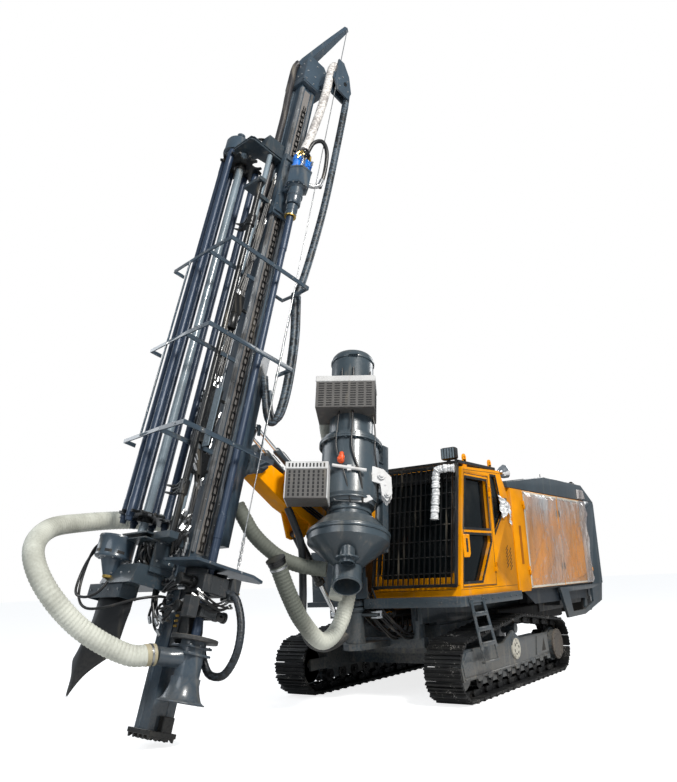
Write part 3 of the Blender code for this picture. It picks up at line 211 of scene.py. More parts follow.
def floor_finish():
    """Pale smooth concrete, faintly clouded."""
    bench = Bench("pale_floor")
    cloud = bench.noise(0.35, 4.0)
    colour = bench.mix(cloud, (0.6, 0.6, 0.6), (0.57, 0.57, 0.575))
    seen = bench.node("ShaderNodeLightPath", out="Is Camera Ray")
    return bench.finish(Base_Color=colour, Roughness=0.85, Emission_Strength=1.0,
                        Emission_Color=bench.mix(seen, (0.05, 0.05, 0.05), (0.8, 0.8, 0.8)))


def lay_floor(half=90.0):
    """A wide flat square just under the tracks."""
    mesh = bpy.data.meshes.new("floor")
    mesh.from_pydata([(-half, -half, 0), (half, -half, 0), (half, half, 0), (-half, half, 0)], [],
                     [(0, 1, 2, 3)])
    floor = bpy.data.objects.new("floor", mesh)
    floor.location.z = -0.004
    mesh.materials.append(floor_finish())
    bpy.context.scene.collection.objects.link(floor)


lay_floor()


# The crawler tracks: two endless chains of forged links that carry pressed steel shoes with three bars
# each, bolted on and worn bright where they touch the ground. They run on rollers bolted under the frames.

def grid(points, rows_close=False, columns_close=True, caps=True):
    """Quads between the neighbours of a rows x columns sheet of points, with flat ends as caps."""
    rows, columns = points.shape[:2]
    number = np.arange(rows * columns).reshape(rows, columns)
    ends = [number[:1, ::-1], number[-1:]] if caps else []
    if rows_close:
        number = np.vstack([number, number[:1]])
    if columns_close:
        number = np.hstack([number, number[:, :1]])
    quads = np.stack([number[:-1, :-1], number[:-1, 1:], number[1:, 1:], number[1:, :-1]], axis=-1)
    return points.reshape(-1, 3), [quads.reshape(-1, 4), *ends]


def offset(outline, amount):
    """An outline moved inwards: each corner goes along the mean of its two edges' normals."""
    ahead = np.roll(outline, -1, axis=0) - outline
    normal = np.stack([ahead[:, 1], -ahead[:, 0]], axis=1) / np.linalg.norm(ahead, axis=1)[:, None]
    before = np.roll(normal, 1, axis=0)
    reach = 1.0 + np.sum(normal * before, axis=1)
    return outline - amount * (normal + before) / np.maximum(reach, 0.4)[:, None]


def prism(outline, axis, low, high, rim=0.002):
    """An outline in the two axes left, carried along the third, with a small slope at both rims."""
    outline = np.array(outline, dtype=float)
    following = np.roll(outline, -1, axis=0)
    if np.sum(outline[:, 0] * following[:, 1] - following[:, 0] * outline[:, 1]) < 0:
        outline = outline[::-1]
    inner = offset(outline, rim)
    rings = []
    for shape, level in ((inner, low), (outline, low + rim), (outline, high - rim), (inner, high)):
        rings.append(np.column_stack([shape, np.full(len(shape), level)]))
    order = {"X": (2, 0, 1), "Y": (0, 2, 1), "Z": (0, 1, 2)}[axis]
    return grid(np.array(rings)[:, :, order])


def block(low, high, rim=0.003):
    """A box with all its edges sloped off."""
    (x0, y0, z0), (x1, y1, z1) = low, high
    cut = min(rim, 0.3 * (x1 - x0), 0.3 * (y1 - y0), 0.3 * (z1 - z0))
    outline = [(x0 + cut, y0), (x1 - cut, y0), (x1, y0 + cut), (x1, y1 - cut), (x1 - cut, y1),
               (x0 + cut, y1), (x0, y1 - cut), (x0, y0 + cut)]
    return prism(outline, "Z", z0, z1, cut)


def across(ahead):
    """Two directions square to one direction."""
    spare = np.array([0.0, 0.0, 1.0]) if abs(ahead[2]) < 0.9 else np.array([1.0, 0.0, 0.0])
    side = np.cross(ahead, spare)
    side /= np.linalg.norm(side)
    return side, np.cross(ahead, side)


def turned(profile, start, ahead, sides=32, ring=False):
    """(distance along, radius) pairs turned about a line: start + t ahead + r (cos a side + sin a up)."""
    ahead = np.array(ahead, dtype=float)
    ahead /= np.linalg.norm(ahead)
    side, up = across(ahead)
    turn = np.linspace(0.0, math.tau, sides, endpoint=False)
    circle = np.cos(turn)[:, None] * side + np.sin(turn)[:, None] * up
    profile = np.array(profile, dtype=float)
    middle = np.array(start) + profile[:, :1] * ahead
    return grid(middle[:, None] + profile[:, 1, None, None] * circle, rows_close=ring, caps=not ring)


def bar(start, end, radius, sides=24, tip=None, rim=0.003):
    """A round bar or cone from start to end with sloped rims."""
    start, end = np.array(start, dtype=float), np.array(end, dtype=float)
    length = np.linalg.norm(end - start)
    tip = radius if tip is None else tip
    rim = min(rim, 0.3 * min(radius, tip), 0.3 * length)
    profile = [(0.0, radius - rim), (rim, radius), (length - rim, tip), (length, tip - rim)]
    return turned(profile, start, end - start, sides)


def beam(start, end, width, height, up=(0.0, 0.0, 1.0), rim=0.002):
    """A square bar from start to end, its height along up."""
    start, end = np.array(start, dtype=float), np.array(end, dtype=float)
    ahead = (end - start) / np.linalg.norm(end - start)
    side = np.cross(ahead, up)
    side /= np.linalg.norm(side)
    rise = np.cross(side, ahead)
    a, b = width / 2, height / 2
    points, faces = prism([(-a, -b), (a, -b), (a, b), (-a, b)], "Z", 0.0, np.linalg.norm(end - start), rim)
    return start + points @ np.array([side, rise, ahead]), faces


def copies(surface, places):
    """The same surface moved to many places."""
    points, faces = surface
    moves = np.array(places, dtype=float)
    step = len(points) * np.arange(len(moves))
    moved = (points[None] + moves[:, None]).reshape(-1, 3)
    return moved, [(group[None] + step[:, None, None]).reshape(-1, group.shape[1]) for group in faces]


def bolts(places, ahead, size=0.016):
    """Hexagon heads with a washer, one at each place."""
    profile = [(-0.3 * size, 1.15 * size), (0.12 * size, 1.15 * size), (0.14 * size, 0.88 * size),
               (0.75 * size, 0.88 * size), (0.9 * size, 0.7 * size)]
    return copies(turned(profile, (0, 0, 0), ahead, 6), places)


def ring_places(centre, ahead, radius, count, first=0.0):
    """Places on a circle about a line."""
    ahead = np.array(ahead, dtype=float)
    side, up = across(ahead / np.linalg.norm(ahead))
    turn = first + np.linspace(0.0, math.tau, count, endpoint=False)
    return np.array(centre) + radius * (np.cos(turn)[:, None] * side + np.sin(turn)[:, None] * up)


def bolt_ring(centre, ahead, radius, count, size, first=0.0):
    """Hexagon heads on a circle about a line."""
    return bolts(ring_places(centre, ahead, radius, count, first), ahead, size)


def curve(path, spacing):
    """Evenly spaced points on the smooth curve through a path's places (Catmull-Rom)."""
    path = np.array(path, dtype=float)
    ends = np.vstack([2 * path[0] - path[1], path, 2 * path[-1] - path[-2]])
    a, b, c, d = ends[:-3, None], ends[1:-2, None], ends[2:-1, None], ends[3:, None]
    t = np.linspace(0.0, 1.0, 16, endpoint=False)[None, :, None]
    line = 0.5 * (2 * b + (c - a) * t + (2 * a - 5 * b + 4 * c - d) * t ** 2
                  + (3 * b - a - 3 * c + d) * t ** 3)
    line = np.vstack([line.reshape(-1, 3), path[-1:]])
    run = np.concatenate([[0.0], np.cumsum(np.linalg.norm(np.diff(line, axis=0), axis=1))])
    wanted = np.linspace(0.0, run[-1], max(3, int(run[-1] / spacing) + 1))
    return np.stack([np.interp(wanted, run, line[:, k]) for k in range(3)], axis=1), wanted


def tube(path, radius, sides=10, spacing=0.03, wave=None):
    """A circle carried along a smooth path; wave gives the share of the radius at each length of run."""
    line, run = curve(path, spacing)
    ahead = np.gradient(line, axis=0)
    ahead /= np.linalg.norm(ahead, axis=1)[:, None]
    side, _ = across(ahead[0])
    sides_of = np.empty_like(line)
    for k, direction in enumerate(ahead):
        side = side - direction * side.dot(direction)
        side /= np.linalg.norm(side)
        sides_of[k] = side
    up = np.cross(ahead, sides_of)
    turn = np.linspace(0.0, math.tau, sides, endpoint=False)[None, :, None]
    size = radius * (np.ones(len(run)) if wave is None else wave(run))[:, None, None]
    return grid(line[:, None] + size * (np.cos(turn) * sides_of[:, None] + np.sin(turn) * up[:, None]))


def mirrored(surfaces):
    """The same surfaces on the machine's other side."""
    return [(points * (-1.0, 1.0, 1.0), [group[:, ::-1] for group in faces]) for points, faces in surfaces]


def piece(name, surfaces, body, finish, frame_of=None, smooth=35.0, instead=()):
    """Surfaces joined in one mesh, placed by a matrix, with normals outwards and sharp edges by angle."""
    points = np.vstack([surface[0] for surface in surfaces])
    if frame_of is not None:
        matrix = np.array(frame_of)
        points = points @ matrix[:3, :3].T + matrix[:3, 3]
    faces, count = [], 0
    for surface in surfaces:
        faces += [face for group in surface[1] for face in (group + count).tolist()]
        count += len(surface[0])
    mesh = bpy.data.meshes.new(name)
    mesh.from_pydata(points.tolist(), [], faces)
    return dressed(name, mesh, body, finish, smooth, instead)


def dressed(name, mesh, body, finish, smooth, instead):
    """A mesh turned outwards, shaded smooth up to an angle, given its finish and set on its body."""
    shape = bmesh.new()
    shape.from_mesh(mesh)
    bmesh.ops.recalc_face_normals(shape, faces=shape.faces)
    shape.to_mesh(mesh)
    shape.free()
    mesh.polygons.foreach_set("use_smooth", np.ones(len(mesh.polygons), dtype=bool))
    mesh.set_sharp_from_angle(angle=math.radians(smooth))
    mesh.materials.append(finish)
    made = bpy.data.objects.new(name, mesh)
    bpy.context.scene.collection.objects.link(made)
    if isinstance(body, str):
        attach(made, body)
    else:
        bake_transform(made)
    if instead:
        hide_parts(*instead)
    return made


def eased(node, body, finish, width=0.004, flat=1.0):
    """A copy of a frame node with its flat faces joined and its edges rounded, shown in its place."""
    shape = bmesh.new()
    shape.from_mesh(frame["nodes"][node].data)
    bmesh.ops.remove_doubles(shape, verts=shape.verts, dist=0.00002)
    if width:
        bmesh.ops.dissolve_limit(shape, angle_limit=math.radians(flat), verts=shape.verts, edges=shape.edges)
        corners = [edge for edge in shape.edges
                   if len(edge.link_faces) == 2 and edge.calc_face_angle(0.0) > 0.5]
        bmesh.ops.bevel(shape, geom=corners, offset=width, offset_type="OFFSET", segments=2, profile=0.6,
                        affect="EDGES", clamp_overlap=True)
    mesh = bpy.data.meshes.new(node + "_eased")
    shape.to_mesh(mesh)
    shape.free()
    return dressed(node + "_eased", mesh, body, finish, 40.0, (node,))


def paint(name, colour, roughness=0.42, dust=0.35, low=0.0, chips=0.0, metallic=0.0, gloss=0.0, grit=0.004,
          shine=0.5):
    """Sprayed paint: clouded in tone, streaked, dusty where it looks up and near the ground, with chips."""
    bench = Bench(name)
    normal = bench.node("ShaderNodeTexCoord", out="Normal")
    cloud = bench.noise(1.7, 5.0)
    fine = bench.noise(38.0, 4.0)
    streak = bench.noise(1.0, 4.0, bench.stretched((9.0, 9.0, 0.7)))
    dark = tuple(0.72 * part for part in colour)
    tone = bench.mix(bench.between(cloud, 0.35, 0.7), colour, dark)
    tone = bench.mix(bench.between(streak, 0.56, 0.78) * 0.35, tone, (0.32, 0.28, 0.22))
    upward = bench.between(bench.part(normal, 2), 0.25, 0.95)
    near_ground = 1.0 - bench.between(bench.part(bench.place, 2), 0.15, 1.3)
    soil = (upward * dust + near_ground * low) * bench.between(cloud * 0.5 + fine * 0.5, 0.36, 0.58)
    tone = bench.mix(soil.clamped(), tone, (0.36, 0.32, 0.26))
    wear = bench.between(fine + bench.noise(5.0, 6.0) * 0.9, 1.06, 1.12) * chips
    tone = bench.mix(wear, tone, (0.12, 0.1, 0.085))
    rough = (roughness + fine * 0.16 + soil * 0.3 - 0.08).clamped()
    return bench.finish(Base_Color=tone, Roughness=rough, Metallic=metallic, Coat_Weight=gloss,
                        Coat_Roughness=0.12, Specular_IOR_Level=shine,
                        Normal=bench.bump(fine + wear * -1.5, grit, 0.35))


def track_steel():
    """Bare shoe steel: dark scale and dry earth in the corners, bright scuffs on what meets the ground."""
    bench = Bench("track_steel")
    cloud = bench.noise(6.0, 6.0)
    grain = bench.noise(70.0, 5.0)
    tone = bench.mix(bench.between(cloud, 0.38, 0.62), (0.002, 0.002, 0.0025), (0.008, 0.008, 0.0075))
    scuff = bench.between(grain + cloud, 1.18, 1.32)
    tone = bench.mix(scuff, tone, (0.36, 0.34, 0.32))
    return bench.finish(Base_Color=tone, Roughness=0.42 - scuff * 0.1 + grain * 0.2,
                        Metallic=0.2 + scuff * 0.6, Normal=bench.bump(grain + cloud, 0.006, 0.5))


JOINTS = {joint["name"]: joint for joint in frame["record"]["behaviour"]["joints"]}
POST_IN_CARRIER = Vector((-0.11, -1.685, 0.042))
CARRIER = Matrix.Translation(Vector(JOINTS["boom_swing"]["pos_m"]) - POST_IN_CARRIER)


def on_carrier(name, surfaces, finish, smooth=35.0, instead=()):
    """A piece that is fixed on the carrier and drawn in its frame."""
    return piece(name, surfaces, "carrier", finish, CARRIER, smooth, instead)


TRACK_IN, TRACK_OUT = 0.847, 1.297
TRACK_MIDDLE = (TRACK_IN + TRACK_OUT) / 2
IDLER, SPROCKET, HUMP = (-1.45, 0.36), (1.52, 0.37), (0.185, 0.883)
SHOE_COUNT = 48


def track_line(depth):
    """The loop's places in Y and Z at a depth under the bars' tips: arcs round sprocket, hump and idler."""
    arcs = [(*SPROCKET, SPROCKET[1], -90, 84, 60), (HUMP[0], HUMP[1] - 0.19, 0.19, 84, 100, 10),
            (*IDLER, IDLER[1], 100, 270, 60)]
    parts = []
    for y, z, radius, first, last, steps in arcs:
        turn = np.radians(np.linspace(first, last, steps))
        parts.append(np.column_stack([y + (radius - depth) * np.cos(turn),
                                      z + (radius - depth) * np.sin(turn)]))
    line = np.vstack(parts)
    return np.vstack([line, line[:1]])


def on_track(depth, run):
    """Places and outward directions at the given lengths of run along the outer loop."""
    line = track_line(0.0)
    length = np.concatenate([[0.0], np.cumsum(np.linalg.norm(np.diff(line, axis=0), axis=1))])
    run = run % length[-1]
    place = np.stack([np.interp(run, length, line[:, k]) for k in range(2)], axis=-1)
    ahead = np.stack([np.interp(run + 0.01, length, line[:, k]) for k in range(2)], axis=-1) - place
    ahead /= np.linalg.norm(ahead, axis=-1)[..., None]
    out = np.stack([ahead[..., 1], -ahead[..., 0]], axis=-1)
    return place - out * depth[..., None]


def track_length():
    """The run of the whole outer loop: the sum of its short chords."""
    line = track_line(0.0)
    return np.sum(np.linalg.norm(np.diff(line, axis=0), axis=1))


def shoes():
    """Each shoe is one profile of (share of the pitch, depth), carried across the track's width."""
    profile = [(0.02, 0.046), (0.02, 0.03), (0.06, 0.027), (0.1, 0.001), (0.2, 0.001), (0.25, 0.026),
               (0.36, 0.029), (0.4, 0.01), (0.47, 0.01), (0.52, 0.028), (0.66, 0.029), (0.7, 0.012),
               (0.77, 0.012), (0.82, 0.028), (0.97, 0.031), (0.97, 0.046)]
    pitch = track_length() / SHOE_COUNT
    share, depth = np.array(profile).T
    run = (np.arange(SHOE_COUNT)[:, None] + share[None]) * pitch
    place = on_track(np.broadcast_to(depth, run.shape), run)
    surfaces = []
    trim = 0.012
    for shoe in place:
        middle = shoe.mean(axis=0)
        rows = []
        for x, size in ((TRACK_IN, 0.93), (TRACK_IN + trim, 1.0), (TRACK_OUT - trim, 1.0), (TRACK_OUT, 0.93)):
            flat = middle + (shoe - middle) * size
            rows.append(np.column_stack([np.full(len(flat), x), flat]))
        surfaces.append(grid(np.array(rows)))
    return surfaces


def links():
    """Two rows of chain links: a plate under each shoe, lapped on the next, and a round pin between them."""
    pitch = track_length() / SHOE_COUNT
    surfaces = []
    wide = 0.035
    for x in (TRACK_MIDDLE - 0.075, TRACK_MIDDLE + 0.075):
        for k in range(SHOE_COUNT):
            shift = 0.012 * (-1) ** k
            share = np.array([-0.08, 0.12, 0.88, 1.08, 0.92, 0.08])
            depth = np.array([0.072, 0.046, 0.046, 0.076, 0.112, 0.112])
            side = on_track(depth, (k + share) * pitch)
            low, high = x - wide / 2 + shift, x + wide / 2 + shift
            surfaces.append(prism(side, "X", low, high, 0.004))
    pins = on_track(np.full(SHOE_COUNT, 0.08), np.arange(SHOE_COUNT) * pitch)
    pin = turned([(-0.11, 0.016), (-0.108, 0.02), (0.108, 0.02), (0.11, 0.016)], (0, 0, 0), (1, 0, 0), 12)
    surfaces.append(copies(pin, np.column_stack([np.full(SHOE_COUNT, TRACK_MIDDLE), pins])))
    return surfaces


def shoe_bolts():
    """Two rows of bolt heads in the pans between the shoes' bars, two to a row."""
    pitch = track_length() / SHOE_COUNT
    surfaces = []
    for share in (0.31, 0.59):
        at = on_track(np.full(SHOE_COUNT, 0.024), (np.arange(SHOE_COUNT) + share) * pitch)
        deep = on_track(np.full(SHOE_COUNT, 0.034), (np.arange(SHOE_COUNT) + share) * pitch)
        for x in (TRACK_MIDDLE - 0.1, TRACK_MIDDLE + 0.1):
            for low, high in zip(deep, at):
                surfaces.append(bar((x, *low), (x, *high), 0.013, 6, rim=0.001))
    return surfaces


def rollers():
    """Bottom rollers with two treads and a deep middle groove, one profile turned about X, on axles."""
    tread = [(-0.1, 0.03), (-0.1, 0.088), (-0.078, 0.088), (-0.072, 0.074), (-0.02, 0.074), (-0.014, 0.06),
             (0.014, 0.06), (0.02, 0.074), (0.072, 0.074), (0.078, 0.088), (0.1, 0.088), (0.1, 0.03)]
    places = [(TRACK_MIDDLE, -1.05 + 0.295 * k, 0.197) for k in range(8)]
    surfaces = [copies(turned(tread, (0, 0, 0), (1, 0, 0), 28), places)]
    axle = turned([(-0.118, 0.024), (-0.115, 0.028), (0.115, 0.028), (0.118, 0.024)], (0, 0, 0), (1, 0, 0),
                  16)
    surfaces.append(copies(axle, places))
    return surfaces


def sprocket():
    """A toothed rim: the radius goes in and out between root and tip, one tooth to each link."""
    y, z = SPROCKET
    teeth, count = 13, 13 * 10
    turn = np.linspace(0.0, math.tau, count, endpoint=False)
    wave = np.clip(0.5 + 0.9 * np.cos(turn * teeth), 0.0, 1.0)
    radius = 0.245 + 0.042 * wave
    outline = np.column_stack([y + radius * np.cos(turn), z + radius * np.sin(turn)])
    hub = [(0.0, 0.235), (0.03, 0.235), (0.035, 0.205), (0.115, 0.195), (0.13, 0.18), (0.135, 0.1),
           (0.13, 0.0)]
    start = (TRACK_MIDDLE - 0.02, y, z)
    bolt_ring = ring_places((TRACK_MIDDLE + 0.012, y, z), (1, 0, 0), 0.219, 16)
    cover_ring = ring_places((TRACK_MIDDLE + 0.114, y, z), (1, 0, 0), 0.155, 10)
    return [prism(outline, "X", TRACK_MIDDLE - 0.028, TRACK_MIDDLE + 0.028, 0.006),
            turned(hub, start, (1, 0, 0), 40), bolts(bolt_ring, (1, 0, 0), 0.013),
            bolts(cover_ring, (1, 0, 0), 0.01)]


def idler():
    """One profile turned about the axle: a rim raised in its middle and a dished web."""
    y, z = IDLER
    rim = [(-0.072, 0.05), (-0.072, 0.215), (-0.068, 0.226), (-0.034, 0.226), (-0.03, 0.238), (0.03, 0.238),
           (0.034, 0.226), (0.068, 0.226), (0.072, 0.215), (0.06, 0.19), (0.045, 0.12), (0.072, 0.085),
           (0.078, 0.05)]
    return [turned(rim, (TRACK_MIDDLE, y, z), (1, 0, 0), 48)]


FRAME_FACE, COVER_MIDDLE = 1.21, (0.01, 0.45)


def frame_side():
    """What a track frame's outer face carries: its edge strip, raised plates and roller hangers, and apart
    from them the bolted round cover."""
    low, high = FRAME_FACE - 0.002, FRAME_FACE + 0.008
    plates = [block((low, -1.5, 0.25), (FRAME_FACE + 0.01, 1.2, 0.272)),
              prism([(0.72, 0.295), (1.19, 0.3), (1.17, 0.53), (0.78, 0.535)], "X", low, high),
              prism([(-1.44, 0.545), (-1.55, 0.43), (-1.51, 0.29), (-1.18, 0.29), (-1.12, 0.4),
                     (-1.22, 0.55)], "X", low, high)]
    for k in range(9):
        y = -1.18 + 0.285 * k
        plates.append(prism([(y, 0.25), (y + 0.15, 0.25), (y + 0.12, 0.205), (y + 0.03, 0.205)], "X",
                            FRAME_FACE - 0.035, FRAME_FACE + 0.002))
    plates.append(bolts([(high, y, 0.262) for y in np.arange(-1.4, 1.15, 0.17)], (1, 0, 0), 0.009))
    y, z = COVER_MIDDLE
    cover = [turned([(0.0, 0.13), (0.02, 0.13), (0.024, 0.126), (0.026, 0.0)], (FRAME_FACE - 0.004, y, z),
                    (1, 0, 0), 40),
             bolt_ring((FRAME_FACE + 0.017, y, z), (1, 0, 0), 0.112, 8, 0.008)]
    return plates, cover


def drive_cover():
    """The final drive's outer cover: a stepped disc with a ring of bolts."""
    y, z = SPROCKET
    return [turned([(0.0, 0.206), (0.02, 0.206), (0.026, 0.196), (0.028, 0.15), (0.022, 0.14),
                    (0.022, 0.0)], (1.222, y, z), (1, 0, 0), 48),
            bolt_ring((1.248, y, z), (1, 0, 0), 0.173, 12, 0.009)]


def frame_slots():
    """Slots in the round cover and the dark three-sided hole of the rear plate."""
    face = 1.2315
    surfaces = [prism([(0.92, 0.33), (1.08, 0.33), (1.02, 0.5)], "X", face - 0.014, face - 0.0125, 0.0005)]
    for k in range(6):
        turn = math.tau * k / 6 + 0.3
        c, s = math.cos(turn), math.sin(turn)
        y, z = COVER_MIDDLE[0] + 0.066 * c, COVER_MIDDLE[1] + 0.066 * s
        surfaces.append(beam((face, y - 0.018 * s, z + 0.018 * c), (face, y + 0.018 * s, z - 0.018 * c),
                             0.004, 0.016, up=(0.0, c, s)))
    return surfaces


TRACK_STEEL = track_steel()
FRAME_GREY = paint("frame_grey", (0.03, 0.046, 0.06), 0.36, 0.12, 0.25, 0.25, gloss=0.25)
COVER_CREAM = paint("cover_cream", (0.62, 0.6, 0.52), 0.5, 0.2, 0.3, 0.5)
DEEP_BLACK = paint("deep_black", (0.01, 0.01, 0.011), 0.7, 0.1, 0.1)
DRIVE_DARK = paint("drive_dark", (0.05, 0.042, 0.038), 0.5, 0.2, 0.3, 0.4)
BRIGHT_STEEL = paint("bright_steel", (0.52, 0.53, 0.54), 0.3, 0.15, 0.1, 0.3, metallic=0.9)
for side, flip in (("left", list), ("right", mirrored)):
    on_carrier("track_shoes_" + side, flip(shoes() + shoe_bolts()), TRACK_STEEL, 30.0,
               ("track_" + side,))
    on_carrier("track_links_" + side, flip(links()), TRACK_STEEL)
    on_carrier("rollers_" + side, flip(rollers() + sprocket() + idler()), TRACK_STEEL)
    eased("track_frame_" + side, "carrier", FRAME_GREY, 0.003)
    plates, cover = frame_side()
    on_carrier("frame_plates_" + side, flip(plates), FRAME_GREY)
    on_carrier("round_cover_" + side, flip(cover), COVER_CREAM)
    on_carrier("drive_cover_" + side, flip(drive_cover()), DRIVE_DARK)
    on_carrier("frame_slots_" + side, flip(frame_slots()), DEEP_BLACK)


# The carrier: a welded box frame on the track frames, with the cab's deck, a grey side tank, sheet skirts
# under the engine housing and a bolted ladder whose lowest step hangs on chains.

for node, wide in (("chassis", 0.005), ("platform", 0.004), ("side_tank", 0.012), ("skirt_left", 0.0),
                   ("skirt_right", 0.0), ("ladder", 0.002)):
    eased(node, "carrier", FRAME_GREY, wide)
OILY_DARK = paint("oily_dark", (0.03, 0.034, 0.038), 0.46, 0.3, 0.2, 0.2)
RUBBER = paint("rubber_black", (0.005, 0.0055, 0.007), 0.42, 0.08, 0.1, grit=0.002)
SATIN_BLACK = paint("satin_black", (0.006, 0.0065, 0.007), 0.3, 0.1, 0.05)
eased("undertray", "carrier", OILY_DARK, 0.006)

PLATFORM_OUT = TRACK_OUT + 0.043
DECK_TOP = 1.165


def tread_plate():
    """Raised short bars in two crossing directions on the walkway."""
    rows = np.array([(x, y, DECK_TOP - 0.001) for x in np.arange(0.1, 1.31, 0.055)
                     for y in np.arange(-1.71, -1.52, 0.055)])
    one = prism([(-0.016, -0.003), (0.016, -0.003), (0.016, 0.003), (-0.016, 0.003)], "Z", 0.0, 0.003, 0.001)
    two = (one[0][:, [1, 0, 2]] * (1, -1, 1), one[1])
    return [copies(one, rows), copies(two, rows + (0.0275, 0.0, 0.0))]


def ladder_parts():
    """Serrated treads on the rungs, and the lowest step with its four chains of small links."""
    x = PLATFORM_OUT + 0.012
    surfaces = []
    for height in (0.96, 0.79, 0.62):
        share = (1.15 - height) / 0.59
        y0, y1 = -1.5 + 0.2 * share, -1.18 + 0.28 * share
        surfaces.append(block((x - 0.035, y0 + 0.01, height + 0.008),
                              (x + 0.018, y1 - 0.01, height + 0.018), 0.002))
        teeth = [(x - 0.026 + 0.018 * k, y, height + 0.018) for k in range(3)
                 for y in np.arange(y0 + 0.03, y1, 0.03)]
        surfaces.append(copies(turned([(0.0, 0.006), (0.004, 0.004)], (0, 0, 0), (0, 0, 1), 6), teeth))
    step = 0.41
    surfaces.append(block((x - 0.035, -1.27, step), (x + 0.018, -0.87, step + 0.025), 0.003))
    for y_top, y_low in ((-1.3, -1.25), (-0.93, -0.89)):
        for k in range(6):
            share = (k + 0.5) / 6
            y, z = y_top + (y_low - y_top) * share, 0.57 - 0.135 * share
            wide = (0.006, 0.0) if k % 2 else (0.0, 0.006)
            corners = ((1, 0.008), (1, -0.008), (-1, -0.008), (-1, 0.008))
            loop = [(x + a * wide[0], y + a * wide[1], z + b) for a, b in corners]
            surfaces.append(tube(np.array(loop + loop[:1]), 0.0028, 6, 0.004))
    surfaces.append(bolts([(x + 0.006, y, 1.125) for y in (-1.505, -1.47, -1.21, -1.17)], (1, 0, 0), 0.01))
    return surfaces


def deck_parts():
    """Bolted side cover under the cab, the tank's cap and straps, and the frame's lifting eyes."""
    surfaces = [bolts([(PLATFORM_OUT, y, 1.11) for y in np.arange(-1.05, 0.09, 0.19)], (1, 0, 0), 0.009),
                bolts([(x, -1.73, 1.11) for x in np.arange(0.15, 1.3, 0.19)], (0, -1, 0), 0.009)]
    surfaces.append(bar((-0.92, -0.95, 1.775), (-0.92, -0.95, 1.8), 0.055, 28))
    surfaces.append(bar((-0.92, -0.95, 1.8), (-0.92, -0.95, 1.825), 0.045, 12))
    for y in (-0.8, -0.1):
        surfaces.append(block((-1.186, y - 0.02, 1.1), (-1.176, y + 0.02, 1.77), 0.003))
        surfaces.append(block((-1.186, y - 0.02, 1.77), (-0.655, y + 0.02, 1.779), 0.003))
    for x in (-0.53, 0.48):
        surfaces.append(prism([(-1.26, 0.9), (-1.19, 0.87), (-1.19, 1.03), (-1.24, 1.03)], "X", x - 0.012,
                              x + 0.012))
    return surfaces


on_carrier("tread_plate", tread_plate(), FRAME_GREY)
on_carrier("ladder_treads", ladder_parts(), FRAME_GREY)
on_carrier("deck_fittings", deck_parts(), FRAME_GREY)


def hose_fan(starts, ends, sag, radius, bow=(0.0, 0.0, 0.0)):
    """Hoses side by side: each leaves its start, hangs through a lowered middle and enters its end."""
    surfaces = []
    for k, (start, end) in enumerate(zip(np.array(starts, dtype=float), np.array(ends, dtype=float))):
        drop = sag * (0.85 + 0.3 * ((k * 7) % 5) / 5)
        aside = np.array(bow) * (1.0 + 0.25 * ((k * 3) % 4))
        middle = (start + end) / 2 + aside - (0, 0, drop)
        near, far = start * 0.78 + middle * 0.22 + aside * 0.2, end * 0.78 + middle * 0.22 + aside * 0.2
        surfaces.append(tube([start, near - (0, 0, drop * 0.35), middle, far - (0, 0, drop * 0.35), end],
                             radius, 10, 0.025))
    return surfaces


def carrier_hoses():
    """The bundle of hydraulic hoses from the frame's front to the swing post, slack enough for the swing."""
    count = 9
    starts = [(0.02 + 0.052 * k, -1.02 + 0.02 * (k % 3), 0.93 - 0.035 * (k % 3)) for k in range(count)]
    ends = [(-0.16 + 0.034 * k, -1.62 + 0.02 * (k % 2), 1.2 + 0.045 * (k % 3)) for k in range(count)]
    return hose_fan(starts, ends, 0.34, 0.014, (0.1, -0.03, 0.0))


swing_bend = ("carrier", "post", tuple(CARRIER @ Vector((0.15, -1.1, 0.9))),
              tuple(CARRIER @ Vector((0.0, -1.55, 1.1))))
piece("carrier_hoses", carrier_hoses(), swing_bend, RUBBER, CARRIER)


# The operator's cab: folded and welded yellow steel panels round a hollow room, tinted glass in rubber seals,
# and a bolted guard of black bars over the windscreen and the roof.

YELLOW = paint("amber_yellow", (0.88, 0.33, 0.0), 0.42, 0.0, 0.0, 0.03, grit=0.0015, shine=0.08)
CAB_IN, CAB_OUT = 0.04, 1.24
CAB_LOW, CAB_FRONT_LOW, CAB_FRONT_HIGH, CAB_EAVE = 1.165, -1.5, -1.2, 2.69


def cab_front_y(z):
    """The windscreen's place in Y at a height, on the straight line from its foot to the eave."""
    return CAB_FRONT_LOW + (CAB_FRONT_HIGH - CAB_FRONT_LOW) * (z - CAB_LOW) / (CAB_EAVE - CAB_LOW)


def glass_finish():
    """Tinted safety glass, made nearly black and nearly opaque as painted shade of the dark room behind it,
    with a film of dust.
    """
    bench = Bench("glass_tint_and_shade")
    dust = bench.between(bench.noise(3.0, 6.0), 0.42, 0.75)
    # Painted shade: the near-black base and an alpha of 0.97 hide the lit cab room behind the pane.
    colour = bench.mix(dust * 0.06, (0.003, 0.005, 0.006), (0.2, 0.19, 0.17))
    return bench.finish(Base_Color=colour, Roughness=0.05 + dust * 0.12, Alpha=0.97 + dust * 0.03,
                        Specular_IOR_Level=0.12)


GLASS_TINT_AND_SHADE = glass_finish()
for node, body, wide in (("cab_side_left", "carrier", 0.0), ("cab_side_right", "carrier", 0.006),
                         ("cab_base", "carrier", 0.006), ("cab_front", "carrier", 0.006),
                         ("cab_roof", "carrier", 0.01), ("cab_door", "door", 0.006)):
    eased(node, body, YELLOW, wide)
for node, body in (("windscreen", "carrier"), ("glass_right", "carrier"), ("glass_left", "carrier"),
                   ("cab_door_glass", "door")):
    eased(node, body, GLASS_TINT_AND_SHADE, 0.0)


